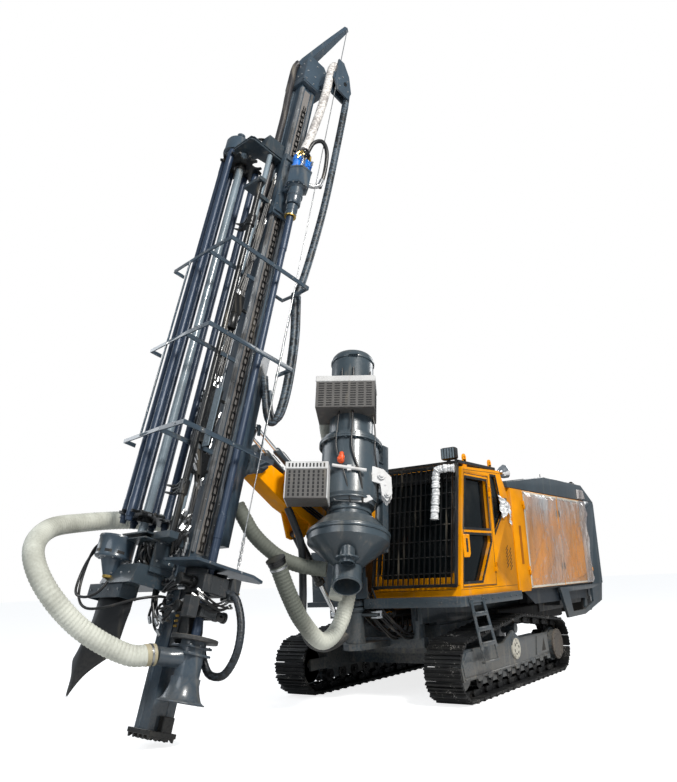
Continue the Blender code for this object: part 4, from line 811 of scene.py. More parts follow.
def guard_bars():
    """The windscreen guard: upright flats that lean with the glass and round rods, in a square frame."""
    out, low, high = 0.06, 1.29, 2.7
    left, right = CAB_IN + 0.03, CAB_OUT - 0.02
    foot, head = (cab_front_y(low) - out, low), (cab_front_y(high) - out, high)
    surfaces = []
    for y, z in (foot, head):
        surfaces.append(block((left, y - 0.02, z - 0.018), (right, y + 0.02, z + 0.018), 0.003))
    for x in (left, right - 0.026):
        surfaces.append(beam((x + 0.013, *foot), (x + 0.013, *head), 0.026, 0.04, up=(0, 1, 0)))
    for x in np.linspace(left + 0.075, right - 0.075, 15):
        surfaces.append(beam((x, *foot), (x, *head), 0.008, 0.032, up=(0, 1, 0)))
    for share in np.linspace(0.1, 0.9, 7):
        y, z = foot[0] + (head[0] - foot[0]) * share, foot[1] + (head[1] - foot[1]) * share
        surfaces.append(bar((left, y, z), (right, y, z), 0.006, 10, rim=0.001))
    for x in (left + 0.02, right - 0.06):
        surfaces.append(block((x, cab_front_y(1.27) - 0.07, 1.265),
                              (x + 0.035, cab_front_y(1.27) - 0.001, 1.3)))
    return surfaces


def roof_guard():
    """The guard over the roof: two side rails on feet and cross slats set on edge."""
    rail = 2.735
    front = cab_front_y(2.7) - 0.05
    surfaces = []
    for x in (CAB_IN + 0.045, CAB_OUT - 0.045):
        surfaces.append(block((x - 0.015, front, rail), (x + 0.015, -0.1, rail + 0.04)))
        surfaces.append(block((x - 0.015, front - 0.01, 2.69), (x + 0.015, front + 0.03, rail + 0.04)))
    for y in np.arange(front + 0.06, -0.1, 0.083):
        surfaces.append(beam((CAB_IN + 0.045, y, rail + 0.022), (CAB_OUT - 0.045, y, rail + 0.022), 0.008,
                             0.032, up=(0.0, 0.35, 0.94)))
    return surfaces


def rim_strip(corners, x, wide, thick):
    """A soft seal along an outline in a plane square to X."""
    corners = np.array(corners)
    ring = np.array([offset(corners, -wide / 2), offset(corners, -wide / 2), offset(corners, wide / 2),
                     offset(corners, wide / 2)])
    level = np.array([x, x + thick, x + thick, x])
    points = np.concatenate([np.broadcast_to(level[:, None, None], (4, len(corners), 1)), ring], axis=2)
    return grid(points, rows_close=True, caps=False)


UPPER_PANE = [(-1.3, 1.94), (-0.5, 1.94), (-0.5, 2.57), (-1.13, 2.57)]
LOWER_PANE = [(-1.4, 1.31), (-0.87, 1.31), (-0.5, 1.79), (-0.5, 1.88), (-1.29, 1.88)]
REAR_PANE = [(-0.36, 1.9), (-0.05, 2.18), (-0.2, 2.65), (-0.37, 2.65)]
SIDE_PANE = [(-1.36, 1.35), (-0.2, 1.35), (-0.2, 2.6), (-1.12, 2.6)]
DOOR_EDGE = [(-1.42, 1.262), (-0.452, 1.262), (-0.452, 2.618), (-1.15, 2.618)]


def door_trim():
    """The pressed plate round the door's handle, with a long dark slot in it."""
    plate = [(-1.34, 1.6), (-1.2, 1.6), (-1.165, 1.64), (-1.165, 1.87), (-1.34, 1.87)]
    slot = block((CAB_OUT + 0.009, -1.275, 1.66), (CAB_OUT + 0.013, -1.225, 1.82), 0.002)
    return prism(plate, "X", CAB_OUT - 0.003, CAB_OUT + 0.01, 0.004), slot


def louvre_slits():
    """Pressed slanting slits in the cab's side, behind the door."""
    surfaces = []
    for column in range(2):
        for k in range(6):
            y, z = -0.07 + 0.105 * column, 1.46 + 0.045 * k - 0.03 * column
            surfaces.append(beam((CAB_OUT + 0.001, y, z), (CAB_OUT + 0.001, y + 0.07, z + 0.06), 0.004,
                                 0.01, up=(0.0, -0.65, 0.76)))
    return surfaces


def cab_seams():
    """Dark joints: under the roof's edge, between the floor frame and the panels, and down the corners."""
    x = CAB_OUT + 0.0005
    return [beam((x, -1.17, 2.655), (x, -0.05, 2.695), 0.002, 0.005),
            beam((x, -1.48, 1.235), (x, 0.22, 1.235), 0.002, 0.004),
            block((CAB_IN + 0.06, cab_front_y(1.24) - 0.003, 1.236),
                  (CAB_OUT - 0.06, cab_front_y(1.24) + 0.002, 1.241), 0.0005)]


def roof_fittings():
    """Two lifting eyes, each a plate with a hole on a welded pad."""
    surfaces = []
    for y in (-1.02, -0.25):
        eye = turned([(-0.008, 0.018), (-0.008, 0.05), (0.008, 0.05), (0.008, 0.018)], (1.195, y, 2.82),
                     (1, 0, 0), 24, ring=True)
        surfaces += [eye, prism([(y - 0.055, 2.69), (y + 0.055, 2.69), (y + 0.048, 2.8), (y - 0.048, 2.8)],
                                "X", 1.187, 1.203, 0.001)]
    return surfaces


LAMP_X = 0.94


def windscreen_border():
    """The glass's black printed border over the frame's top and sides."""
    surfaces = []
    low, high, split = (cab_front_y(1.44) - 0.004, 1.44), (cab_front_y(2.685) - 0.004,
                                                           2.685), (cab_front_y(2.52) - 0.004, 2.52)
    for x in (CAB_IN + 0.085, CAB_OUT - 0.085):
        surfaces.append(beam((x, *low), (x, *high), 0.06, 0.006, up=(0, 1, 0)))
    middle = (CAB_IN + CAB_OUT) / 2
    surfaces.append(beam((middle, *split), (middle, *high), CAB_OUT - CAB_IN - 0.13, 0.007, up=(0, 1, 0)))
    return surfaces


def windscreen_sill():
    """The yellow panel that closes the windscreen's lowest band, behind the bars."""
    middle = (CAB_IN + CAB_OUT) / 2
    return [beam((middle, cab_front_y(1.29) - 0.004, 1.29), (middle, cab_front_y(1.38) - 0.004, 1.38),
                 CAB_OUT - CAB_IN - 0.02, 0.006, up=(0, 1, 0))]


def lamp_bodies():
    """The work lamp on the roof guard: a square body with cooling ribs on a flat bracket."""
    surfaces = [block((LAMP_X, -1.155, 2.8), (LAMP_X + 0.2, -1.045, 2.955), 0.018)]
    for k in range(5):
        surfaces.append(block((LAMP_X + 0.015 + 0.038 * k, -1.169, 2.81),
                              (LAMP_X + 0.023 + 0.038 * k, -1.15, 2.945), 0.002))
    surfaces.append(block((LAMP_X + 0.06, -1.11, 2.7), (LAMP_X + 0.11, -1.09, 2.8), 0.003))
    return surfaces


def lamp_lens(x0, x1, y, z0, z1):
    """A thin glass over the lamp's front, a rim's width smaller than its body."""
    rim = 0.012
    return [block((x0 + rim, y - 0.006, z0 + rim), (x1 - rim, y + 0.004, z1 - rim), 0.003)]


def wrap_finish():
    """Thin clear film wound round a fitting: milky folds over a hidden grey."""
    bench = Bench("milky_wrap")
    fold = bench.noise(16.0, 6.0, bench.stretched((1.0, 1.0, 2.6)))
    colour = bench.mix(bench.between(fold, 0.38, 0.62), (0.46, 0.47, 0.48), (0.9, 0.91, 0.92))
    return bench.finish(Base_Color=colour, Roughness=0.16, Coat_Weight=0.5,
                        Normal=bench.bump(fold, 0.03, 0.9))


def wrapped(low, high, turns=5):
    """A wrapped box: rings between its ends whose size goes in and out with a sum of sines."""
    low, high = np.array(low, dtype=float), np.array(high, dtype=float)
    middle, half = (low + high) / 2, (high - low) / 2
    level = np.linspace(-1.0, 1.0, 26)[:, None]
    turn = np.linspace(0.0, math.tau, 40, endpoint=False)[None]
    square = (np.abs(np.cos(turn)) ** 5 + np.abs(np.sin(turn)) ** 5) ** (-1 / 5)
    crease = 1.0 + 0.035 * np.sin(turns * level * 5 + 3 * turn) + 0.03 * np.sin(7 * turn + 9 * level)
    close = np.clip(1.25 - np.abs(level) ** 6, 0.25, 1.0)
    x = middle[0] + half[0] * square * np.cos(turn) * crease * close * 0.93
    y = middle[1] + half[1] * square * np.sin(turn) * crease * close * 0.93
    z = middle[2] + half[2] * level + 0.0 * turn
    return grid(np.stack([x, y, z], axis=-1))


def wrapped_arm(path, radius):
    """A bent arm wound in film: a tube whose radius goes in and out with two beating sines of its run."""
    def folds(run):
        return 0.92 + 0.13 * np.sin(run * 95.0) * np.sin(run * 31.0 + 1.0) + 0.07 * np.sin(run * 210.0)
    return tube(path, radius, 18, 0.008, folds)


def flap(corner, wide, tall):
    """A torn sheet of film taped by its upper edge: it hangs crooked and stands out by crossed sine folds."""
    down, along = np.meshgrid(np.linspace(0.0, 1.0, 24), np.linspace(0.0, 1.0, 30), indexing="ij")
    y = corner[1] + wide * along + 0.05 * down * np.sin(4.0 * along)
    z = corner[2] - 0.1 * along - tall * down * (0.85 + 0.22 * np.sin(7.0 * along + 1.0))
    fold = 0.022 * np.abs(np.sin(9.0 * along + 5.0 * down)) * (0.3 + down)
    out = 0.01 + fold + 0.012 * np.sin(13.0 * down + 3.0 * along) ** 2
    front = np.stack([corner[0] + out, y, z], axis=-1)
    return grid(np.concatenate([front, (front - (0.004, 0.0, 0.0))[:, ::-1]], axis=1))


chrome_bench = Bench("piston_chrome")
CHROME = chrome_bench.finish(Base_Color=(0.82, 0.83, 0.84), Metallic=1.0,
                             Roughness=0.1 + chrome_bench.noise(30.0) * 0.08)
MILKY_WRAP = wrap_finish()
LENS = Bench("lamp_lens").finish(Base_Color=(0.16, 0.2, 0.23), Roughness=0.08, Coat_Weight=1.0)
on_carrier("windscreen_guard", guard_bars() + roof_guard(), SATIN_BLACK, instead=("cab_guard",))
on_carrier("windscreen_border", windscreen_border(), SATIN_BLACK)
on_carrier("windscreen_sill", windscreen_sill(), YELLOW)
handle_plate, handle_slot = door_trim()
piece("door_trim", [handle_plate], "door", YELLOW, CARRIER)
piece("door_seals", [rim_strip(UPPER_PANE, CAB_OUT - 0.004, 0.03, 0.006),
                     rim_strip(LOWER_PANE, CAB_OUT - 0.004, 0.03, 0.006),
                     rim_strip(offset(np.array(DOOR_EDGE), 0.004), CAB_OUT - 0.006, 0.01, 0.005)],
      "door", SATIN_BLACK, CARRIER)
on_carrier("pane_seals", [rim_strip(REAR_PANE, CAB_OUT - 0.004, 0.026, 0.008),
                          rim_strip(SIDE_PANE, CAB_IN - 0.004, 0.026, 0.008)], SATIN_BLACK)
on_carrier("cab_slits", louvre_slits() + cab_seams(), DEEP_BLACK)
piece("door_slot", [handle_slot], "door", DEEP_BLACK, CARRIER)
on_carrier("roof_eyes", roof_fittings(), YELLOW)
on_carrier("lamp_bodies", lamp_bodies(), SATIN_BLACK)
on_carrier("lamp_lens", lamp_lens(LAMP_X, LAMP_X + 0.2, -1.157, 2.8, 2.955), LENS)
on_carrier("wrapped_mirrors", [wrapped_arm([(1.2, -1.32, 2.66), (1.06, -1.36, 2.665), (0.98, -1.375, 2.62),
                                            (0.955, -1.39, 2.35), (0.935, -1.43, 2.06)], 0.052),
                               flap((1.248, -0.2, 2.4), 0.36, 0.27)], MILKY_WRAP)
on_carrier("wrapped_lamps", [wrapped((0.72, 0.3, 2.63), (0.9, 0.42, 2.74))], MILKY_WRAP)
lamp_bowl = [(-0.07, 0.0), (-0.07, 0.03), (-0.05, 0.06), (0.0, 0.085), (0.05, 0.095), (0.055, 0.099),
             (0.06, 0.095), (0.055, 0.088), (0.02, 0.07), (0.0, 0.0)]
on_carrier("rear_lamps", [turned(lamp_bowl, (1.11, 0.38, 2.76), (0.55, 0.75, 0.35), 36)], CHROME)
on_carrier("mirror_arms", [block((1.238, 0.02, 2.33), (1.262, 0.07, 2.37), 0.003),
                           bar((1.11, 0.36, 2.6), (1.07, 0.36, 2.66), 0.012, 12),
                           bar((0.81, 0.36, 2.6), (0.81, 0.36, 2.66), 0.012, 12)], SATIN_BLACK)


# The operator's seat: a foam cushion and back with sewn edges on a suspension box, with an armrest console.

def cushion(low, high, crown, crown_axis):
    """A stuffed block: a rounded square whose faces swell by a cosine bow and pull in at the corners."""
    low, high = np.array(low, dtype=float), np.array(high, dtype=float)
    middle, half = (low + high) / 2, (high - low) / 2
    rise = np.linspace(-math.pi / 2, math.pi / 2, 25)[:, None]
    turn = np.linspace(0.0, math.tau, 48, endpoint=False)[None]

    def soft(value, power):
        return np.sign(value) * np.abs(value) ** power
    ball = np.stack([soft(np.cos(rise), 0.3) * soft(np.cos(turn), 0.34),
                     soft(np.cos(rise), 0.3) * soft(np.sin(turn), 0.34),
                     soft(np.sin(rise), 0.4) + 0.0 * turn], axis=-1)
    spread = [k for k in range(3) if k != crown_axis]
    bow = np.cos(ball[..., spread[0]] * 1.4) * np.cos(ball[..., spread[1]] * 1.4)
    channel = 0.1 * np.exp(-((np.abs(ball[..., spread[1]]) - 0.45) / 0.05) ** 2)
    ball[..., crown_axis] *= 1.0 + crown * bow - channel
    return grid(middle + half * ball)


def seat_cloth():
    """Black woven cloth: two crossing fine waves as the weave."""
    bench = Bench("seat_cloth")
    weave = bench.node("ShaderNodeTexWave", {"bands_direction": "X"}, {"Vector": bench.place, "Scale": 160.0})
    weft = bench.node("ShaderNodeTexWave", {"bands_direction": "Z"}, {"Vector": bench.place, "Scale": 160.0})
    cloud = bench.noise(9.0)
    colour = bench.mix(weave * weft, (0.016, 0.016, 0.018), (0.045, 0.046, 0.05))
    return bench.finish(Base_Color=colour, Roughness=0.88,
                        Normal=bench.bump(weave + weft + cloud, 0.002, 0.5))


SEAT_CLOTH = seat_cloth()
seat_pad = on_carrier("seat_pad", [cushion((0.39, -0.75, 1.58), (0.89, -0.24, 1.725), 0.1, 2)], SEAT_CLOTH,
                      instead=("seat",))
seat_back = on_carrier("seat_back", [cushion((0.41, -0.31, 1.69), (0.87, -0.165, 2.35), 0.12, 1)],
                       SEAT_CLOTH)
on_carrier("seat_base", [block((0.52, -0.62, 1.216), (0.76, -0.34, 1.3), 0.008),
                         block((0.5, -0.66, 1.52), (0.78, -0.3, 1.6), 0.008)]
           + [block((0.53, -0.61, z), (0.75, -0.35, z + 0.022), 0.009) for z in np.arange(1.3, 1.52, 0.028)]
           + [block((0.22, -0.7, 1.74), (0.34, -0.35, 1.82), 0.02),
              block((0.28, -0.55, 1.66), (0.42, -0.45, 1.8), 0.02),
              bar((0.28, -0.64, 1.81), (0.28, -0.64, 1.9), 0.01, 12),
              bar((0.28, -0.64, 1.88), (0.28, -0.64, 1.95), 0.022, 16, 0.017, 0.008)],
           SATIN_BLACK)


# The engine housing: a frame closed by yellow sheet doors that are still wrapped in clear film, with a grey
# roof and tail of bent sheet, seams packed with black rubber, and a slatted radiator mouth behind.

HOUSE_X, HOUSE_FRONT, HOUSE_DOORS, HOUSE_MID, HOUSE_TAIL, HOUSE_REAR = 1.24, 0.27, 0.7, 2.14, 3.575, 4.11
HOUSE_FLOOR, HOUSE_TOP = 1.14, 2.53
DOOR_BODY = {"front_left": "front_door_left_body", "rear_left": "rear_door_left_body",
             "front_right": "front_door_right_body", "rear_right": "rear_door_right_body"}

PALE_GREY = paint("pale_blue_grey", (0.046, 0.066, 0.082), 0.34, 0.14, 0.15, 0.1, gloss=0.3)
eased("housing_front", "carrier", YELLOW, 0.006)
eased("housing_rear", "carrier", PALE_GREY, 0.0)
eased("housing_roof", "carrier", PALE_GREY, 0.008)
eased("housing_frame", "carrier", OILY_DARK, 0.003)
eased("engine", "carrier", OILY_DARK, 0.02)
for door, body in DOOR_BODY.items():
    eased("housing_door_" + door, body, YELLOW, 0.0)


def film_finish():
    """Clear packing film: see-through where it lies flat, milky on every crease, glossy all over."""
    bench = Bench("packing_film")
    broad = bench.noise(1.1, 2.0, bench.stretched((1.0, 1.3, 0.6)))
    fold = bench.noise(2.2, 5.0, bench.stretched((1.0, 1.8, 0.7)))
    line = bench.noise(6.0, 3.0, bench.stretched((1.0, 1.6, 0.9)))
    crease = (bench.between(fold, 0.49, 0.505) - bench.between(fold, 0.505, 0.53)).clamped()
    small = (bench.between(line, 0.492, 0.5) - bench.between(line, 0.5, 0.512)).clamped()
    upper = bench.between(bench.part(bench.place, 2), 1.9, 2.5)
    milk = (crease * 0.35 + small * 0.2 + bench.between(broad, 0.4, 0.7) * 0.5 + upper * 0.55).clamped()
    colour = bench.mix(milk, (0.46, 0.34, 0.26), (0.42, 0.44, 0.46))
    return bench.finish(Base_Color=colour, Roughness=0.12 + milk * 0.12, Alpha=0.34 + milk * 0.5,
                        Coat_Weight=0.8, Normal=bench.bump(fold + line * 0.4, 0.05, 0.7))


def film(y0, y1, z0, z1, seed, out=0.004):
    """A sheet over a door: it stands out by a sum of ridged sine folds that die out at its taped rim."""
    rows, columns = np.meshgrid(np.linspace(0.0, 1.0, 90), np.linspace(0.0, 1.0, 110), indexing="ij")
    y, z = y0 + (y1 - y0) * columns, z0 + (z1 - z0) * rows
    chance = np.random.default_rng(seed)
    height = np.zeros_like(y)
    for _ in range(16):
        turn, stretch, phase = chance.uniform(-0.5, 0.6), chance.uniform(1.2,
                                                                         11.0), chance.uniform(0, math.tau)
        run = (y * math.cos(turn) + z * math.sin(turn)) * stretch + 1.2 * np.sin(2.3 * y + phase) + phase
        height += (1.0 - np.abs(np.sin(run))) ** 4 * 0.024 / (1.0 + 0.16 * stretch)
    rim = np.clip(np.minimum(np.minimum(rows, 1 - rows), np.minimum(columns, 1 - columns)) * 18, 0.0, 1.0)
    x = HOUSE_X + out + height * rim
    return grid(np.stack([x, y, z], axis=-1), columns_close=False, caps=False)


def tape(y0, y1, z0, z1):
    """A strip of tape along the film's rim."""
    return block((HOUSE_X + 0.003, y0, z0), (HOUSE_X + 0.0085, y1, z1), 0.001)


def strip_finish():
    """A double strip of the same film: greyer, with long lengthwise creases."""
    bench = Bench("milky_film")
    fold = bench.noise(3.0, 4.0, bench.stretched((1.0, 3.5, 0.5)))
    colour = bench.mix(bench.between(fold, 0.42, 0.6), (0.3, 0.27, 0.27), (0.56, 0.53, 0.52))
    return bench.finish(Base_Color=colour, Roughness=0.15, Alpha=0.8, Coat_Weight=0.8,
                        Normal=bench.bump(fold, 0.04, 0.7))


MILKY_FILM = strip_finish()
PACKING_FILM = film_finish()
TAPE = paint("tape", (0.72, 0.66, 0.55), 0.35, 0.0)
FILM_LOW, FILM_HIGH = HOUSE_FLOOR + 0.05, HOUSE_TOP - 0.03
LEAVES = {"front": (HOUSE_DOORS + 0.012, HOUSE_MID - 0.01), "rear": (HOUSE_MID + 0.01, HOUSE_TAIL - 0.012)}
for side, flip, seed in (("left", list, 3), ("right", mirrored, 11)):
    for name, (y0, y1) in LEAVES.items():
        body = DOOR_BODY[name + "_" + side]
        sheet = film(y0 + 0.01, y1 - 0.01, FILM_LOW, FILM_HIGH, seed + len(name))
        covered = piece("door_film_" + name + "_" + side, flip([sheet]), body, PACKING_FILM,
                        CARRIER, 180.0)
        strips = [tape(y0 + 0.01, y1 - 0.01, HOUSE_TOP - 0.06, HOUSE_TOP - 0.02),
                  tape(y0 + 0.01, y1 - 0.01, HOUSE_FLOOR + 0.035, HOUSE_FLOOR + 0.065)]
        upright = (y1 - 0.09, y1) if name == "rear" else (y0 + 0.005, y0 + 0.055)
        strips.append(tape(*upright, FILM_LOW, FILM_HIGH))
        piece("door_tape_" + name + "_" + side, flip(strips), body, TAPE, CARRIER)
        y = y1 - 0.06 if name == "front" else y0 + 0.025
        latches = [block((HOUSE_X - 0.002, y, z - 0.05), (HOUSE_X + 0.012, y + 0.035, z + 0.05), 0.006)
                   for z in (1.45, 2.25)]
        piece("door_latches_" + name + "_" + side, flip(latches), body, SATIN_BLACK, CARRIER)


def housing_seams():
    """The black packing between the roof and both walls."""
    x = HOUSE_X - 0.004
    surfaces = []
    for a in (-1, 1):
        surfaces.append(block((a * x - 0.004, HOUSE_FRONT, HOUSE_TOP - 0.006),
                              (a * x + 0.004, HOUSE_REAR - 0.03, HOUSE_TOP + 0.006), 0.001))
    return surfaces


def panel_handles():
    """The long pressed handle slot in each narrow front panel, drawn as a flat darker amber mark: painted
    shade of the recess.
    """
    return [block((a * (HOUSE_X + 0.001) - 0.002, 0.46, 1.5), (a * (HOUSE_X + 0.001) + 0.002, 0.54, 2.02),
                  0.001) for a in (-1, 1)]


def tail_shade_boxes():
    """Painted shade inside the tail's open frame and under the housing: two black boxes that stand for the
    shadowed hollows there.
    """
    return [block((-1.02, 3.58, 0.69), (1.02, 4.06, 1.135), 0.01),
            block((-0.78, 0.6, 0.66), (0.78, 3.2, 0.9), 0.02)]


def tail_covers():
    """Two upright grey covers on each side of the tail."""
    surfaces = []
    for a in (-1, 1):
        low, high = min(a * 1.02, a * 1.05), max(a * 1.02, a * 1.05)
        surfaces += [block((low, 3.61, 0.76), (high, 3.74, 0.98), 0.004),
                     block((low, 3.84, 0.93), (high, 3.99, 1.13), 0.004)]
    return surfaces


def skirt_plates():
    """Bent dark sheets that close the side between the deck and the tail, above the track."""
    outline = [(0.62, 1.135), (1.0, 0.95), (3.2, 0.93), (3.42, 0.9), (3.44, 1.135)]
    return [prism(outline, "X", a * 1.16 - 0.003, a * 1.16 + 0.003, 0.001) for a in (-1, 1)]


def radiator_slats():
    """Slanting slats across the tail's opening, with upright stays behind them."""
    surfaces = []
    for z in np.arange(1.53, 2.3, 0.055):
        surfaces.append(beam((-0.9, 4.075, z), (0.9, 4.075, z), 0.004, 0.055, up=(0.0, -0.6, 0.8)))
    for x in np.arange(-0.75, 0.8, 0.3):
        surfaces.append(block((x - 0.008, 4.055, 1.5), (x + 0.008, 4.098, 2.3), 0.002))
    return surfaces


def exhaust():
    """The silencer's tail pipe with its collar, and the air intake's mushroom on its neck."""
    return [turned([(0.0, 0.052), (0.015, 0.052), (0.02, 0.046), (0.11, 0.046), (0.12, 0.043),
                    (0.115, 0.04), (0.0, 0.04)], (0.89, 3.2, 2.775), (0, 0, 1), 32, ring=True),
            turned([(0.0, 0.085), (0.02, 0.1), (0.035, 0.05), (0.036, 0.0)], (-0.7, 3.1, 2.8), (0, 0, 1),
                   36),
            bar((-0.7, 3.1, 2.76), (-0.7, 3.1, 2.81), 0.05, 28)]


def roof_strips():
    """Folded seams and bolts across the housing's roof."""
    surfaces = []
    for y, z in ((0.95, 2.7035), (2.6, 2.7925)):
        surfaces.append(block((-1.2, y - 0.02, z - 0.01), (1.2, y + 0.02, z + 0.004), 0.003))
    surfaces.append(bolts([(x, 2.6, 2.795) for x in np.arange(-1.15, 1.2, 0.23)], (0, 0, 1), 0.009))
    return surfaces


def engine_parts():
    """What shows of the engine through open doors: ribs, covers, pipes and a fan shroud on the block."""
    surfaces = []
    for a in (-1, 1):
        for y in np.arange(1.35, 3.2, 0.22):
            surfaces.append(block((a * 0.515 - 0.02, y, 1.35), (a * 0.515 + 0.02, y + 0.06, 2.1), 0.008))
        surfaces.append(bar((a * 0.52, 1.35, 1.8), (a * 0.52, 3.1, 1.8), 0.045, 24))
        surfaces.append(bar((a * 0.53, 1.5, 1.52), (a * 0.53, 1.5, 1.3), 0.055, 28))
    surfaces.append(bar((0.0, 3.32, 1.8), (0.0, 3.5, 1.8), 0.42, 40, rim=0.02))
    for y in (1.6, 2.1, 2.6):
        surfaces.append(bar((0.0, y, 2.24), (0.0, y, 2.34), 0.14, 32, rim=0.02))
    return surfaces


flat_strip = film(3.24, 3.552, HOUSE_FLOOR + 0.03, HOUSE_TOP - 0.015, 29, 0.012)
strip = piece("rear_film_strip", [flat_strip], "rear_door_left_body", MILKY_FILM, CARRIER, 180.0)
short_strip = film(3.2, 3.48, HOUSE_TOP + 0.01, HOUSE_TOP + 0.17, 31, 0.006)
strip = on_carrier("roof_film_strip", [short_strip], MILKY_FILM, 180.0)
piece("strip_tapes", [tape(3.25, 3.54, z, z + 0.018) for z in (1.24, 1.42, 1.75, 2.02, 2.16)],
      "rear_door_left_body", TAPE, CARRIER)
on_carrier("roof_vent", [bar((1.1, 3.42, 2.7), (1.1, 3.42, 2.84), 0.035, 24),
                         bar((1.1, 3.42, 2.82), (1.1, 3.52, 2.8), 0.045, 24),
                         bar((1.18, 1.7, 2.72), (1.18, 1.7, 2.84), 0.006, 10)], SATIN_BLACK)
# The handle slots' darker amber is painted shade of the pressed recess, the yellow at about half its
# brightness.
on_carrier("panel_handles", panel_handles(), paint("handle_slot_shade", (0.42, 0.13, 0.0), 0.45, 0.1, shine=0.1))
# Black boxes as painted shade in the tail's opening and under the housing.
on_carrier("tail_shade_boxes", tail_shade_boxes(), DEEP_BLACK)
on_carrier("tail_covers", tail_covers(), PALE_GREY)
on_carrier("skirt_plates", skirt_plates(), paint("skirt_navy", (0.01, 0.016, 0.024), 0.4, 0.08, 0.1, 0.1))
on_carrier("housing_seams", housing_seams(), DEEP_BLACK)
on_carrier("radiator_slats", radiator_slats(), SATIN_BLACK)
on_carrier("exhaust", exhaust(), OILY_DARK)
on_carrier("roof_strips", roof_strips(), PALE_GREY)
on_carrier("engine_parts", engine_parts(), OILY_DARK)
tail_bolts = []
for side in (1, -1):
    rows = [(side * HOUSE_X, y, z) for y in (HOUSE_TAIL + 0.06, HOUSE_REAR - 0.08)
            for z in np.arange(1.25, 2.5, 0.2)]
    tail_bolts.append(bolts(rows, (side, 0, 0), 0.008))
rows = [(x, HOUSE_REAR - 0.007, z) for x in (-1.0, 1.0) for z in np.arange(1.3, 2.4, 0.2)]
on_carrier("housing_bolts", [*tail_bolts, bolts(rows, (0, 1, 0), 0.008)], PALE_GREY)


# The front: a swing post on a king pin, a yellow boom of welded plate, its lift and tilt cylinders, and the
# bracket that carries the mast on a swing bearing. Pins are kept by bolted plates and greased.

FRONT_SIZE, BOOM_YAW, MAST_LEAN = 0.971, -10.0, 16.0
LEAN = math.radians(MAST_LEAN)
ROOT_PIN, HEAD_PIN, HEAD_V = (-0.05, 1.66), (-1.6, 2.72), 0.5
LIFT_BOOM, LIFT_POST = (-0.96, 1.965), (-0.34, 1.0)
TILT_BOOM, TILT_HEAD = (-1.0, 2.66), (-1.6, 3.17)
BOOM_HALF = 0.13
MAST_REACH = (HEAD_V + math.sin(LEAN) * HEAD_PIN[1]) / math.cos(LEAN) - HEAD_PIN[0]
SWING_W = math.sin(LEAN) * (MAST_REACH + HEAD_PIN[0]) + math.cos(LEAN) * HEAD_PIN[1]
ARM = (CARRIER @ Matrix.Translation(POST_IN_CARRIER) @ Matrix.Rotation(math.radians(BOOM_YAW), 4, "Z")
       @ Matrix.Scale(FRONT_SIZE, 4))
MAST = ARM @ Matrix.Translation((0.0, -MAST_REACH, 0.0)) @ Matrix.Rotation(-LEAN, 4, "X")

eased("swing_post", "post", FRAME_GREY, 0.004)
eased("boom", "boom_body", YELLOW, 0.006)
eased("mast_bracket", "bracket", FRAME_GREY, 0.0)


def pin_head(place, side, radius, keeper):
    """A pin's end with a rim, a grease nipple and a keeper plate held by two bolts."""
    x, y, z = place
    a = 1.0 if side > 0 else -1.0
    ahead = np.array([a, 0.0, 0.0])
    start = np.array([x, y, z])
    dy, dz = keeper
    size = math.hypot(dy, dz)
    out = np.array([0.0, dy / size, dz / size])
    return [turned([(-0.02, radius), (0.008, radius), (0.012, radius - 0.004), (0.012, 0.0)], start, ahead,
                   28),
            bar(start + 0.01 * ahead, start + 0.02 * ahead, 0.007, 6, rim=0.001),
            beam(start + 0.004 * ahead + out * (radius - 0.014),
                 start + 0.004 * ahead + out * (radius + 0.075), 0.012, 0.04, up=np.cross(ahead, out)),
            bolts([start + 0.009 * ahead + out * (radius + 0.045)], ahead, 0.01)]


def boom_parts():
    """Ringed doublers round the boom's pins, hose clamps on its sides and a rib along its back."""
    surfaces = []
    for x in (-BOOM_HALF, BOOM_HALF):
        for (y, z), r in ((ROOT_PIN, 0.115), (HEAD_PIN, 0.085)):
            surfaces.append(turned([(-0.004, r), (0.006, r), (0.009, r - 0.004), (0.009, 0.039),
                                    (-0.004, 0.039)], (x, y, z), (1 if x > 0 else -1, 0, 0), 36, ring=True))
        for share in (0.25, 0.5, 0.75):
            y, z = -0.2 - 1.05 * share, 1.84 + 0.66 * share
            surfaces.append(block((x - 0.01, y - 0.02, z - 0.02), (x + 0.01, y + 0.02, z + 0.02), 0.004))
    rib = [(-0.14, 1.985), (-0.9, 2.445), (-0.9, 2.475), (-0.14, 2.015)]
    surfaces.append(prism(rib, "X", -0.01, 0.01))
    return surfaces


def boom_hoses():
    """Three hoses along each side of the boom, one above the other, through its clamps."""
    surfaces = []
    for k in range(3):
        x = BOOM_HALF + 0.024
        low = 0.035 * k
        path = [(x, -0.1, 1.78 + low), (x, -0.3, 1.9 + low), (x, -0.6, 2.07 + low), (x, -0.95, 2.26 + low),
                (x, -1.25, 2.45 + low)]
        surfaces.append(tube(path, 0.013, 10, 0.03))
        surfaces.append(tube([(-a, b, c) for a, b, c in path], 0.013, 10, 0.03))
    return surfaces


def cylinder(low, high, barrel, wide, rod, reach):
    """A cylinder between two pins: a welded barrel with a bolted gland and ports, and a bright rod."""
    low, high = np.array(low, dtype=float), np.array(high, dtype=float)
    ahead = (high - low) / np.linalg.norm(high - low)
    length = np.linalg.norm(high - low)
    gland = wide * 1.12
    shell = turned([(0.03, wide * 0.75), (0.045, wide), (barrel - 0.07, wide), (barrel - 0.065, gland),
                    (barrel - 0.012, gland), (barrel, wide * 0.92), (barrel, rod + 0.0015),
                    (barrel - 0.05, rod + 0.0015)], low, ahead, 36)
    return shell, turned([(reach, rod), (length - 0.03, rod)], low, ahead, 32), ahead


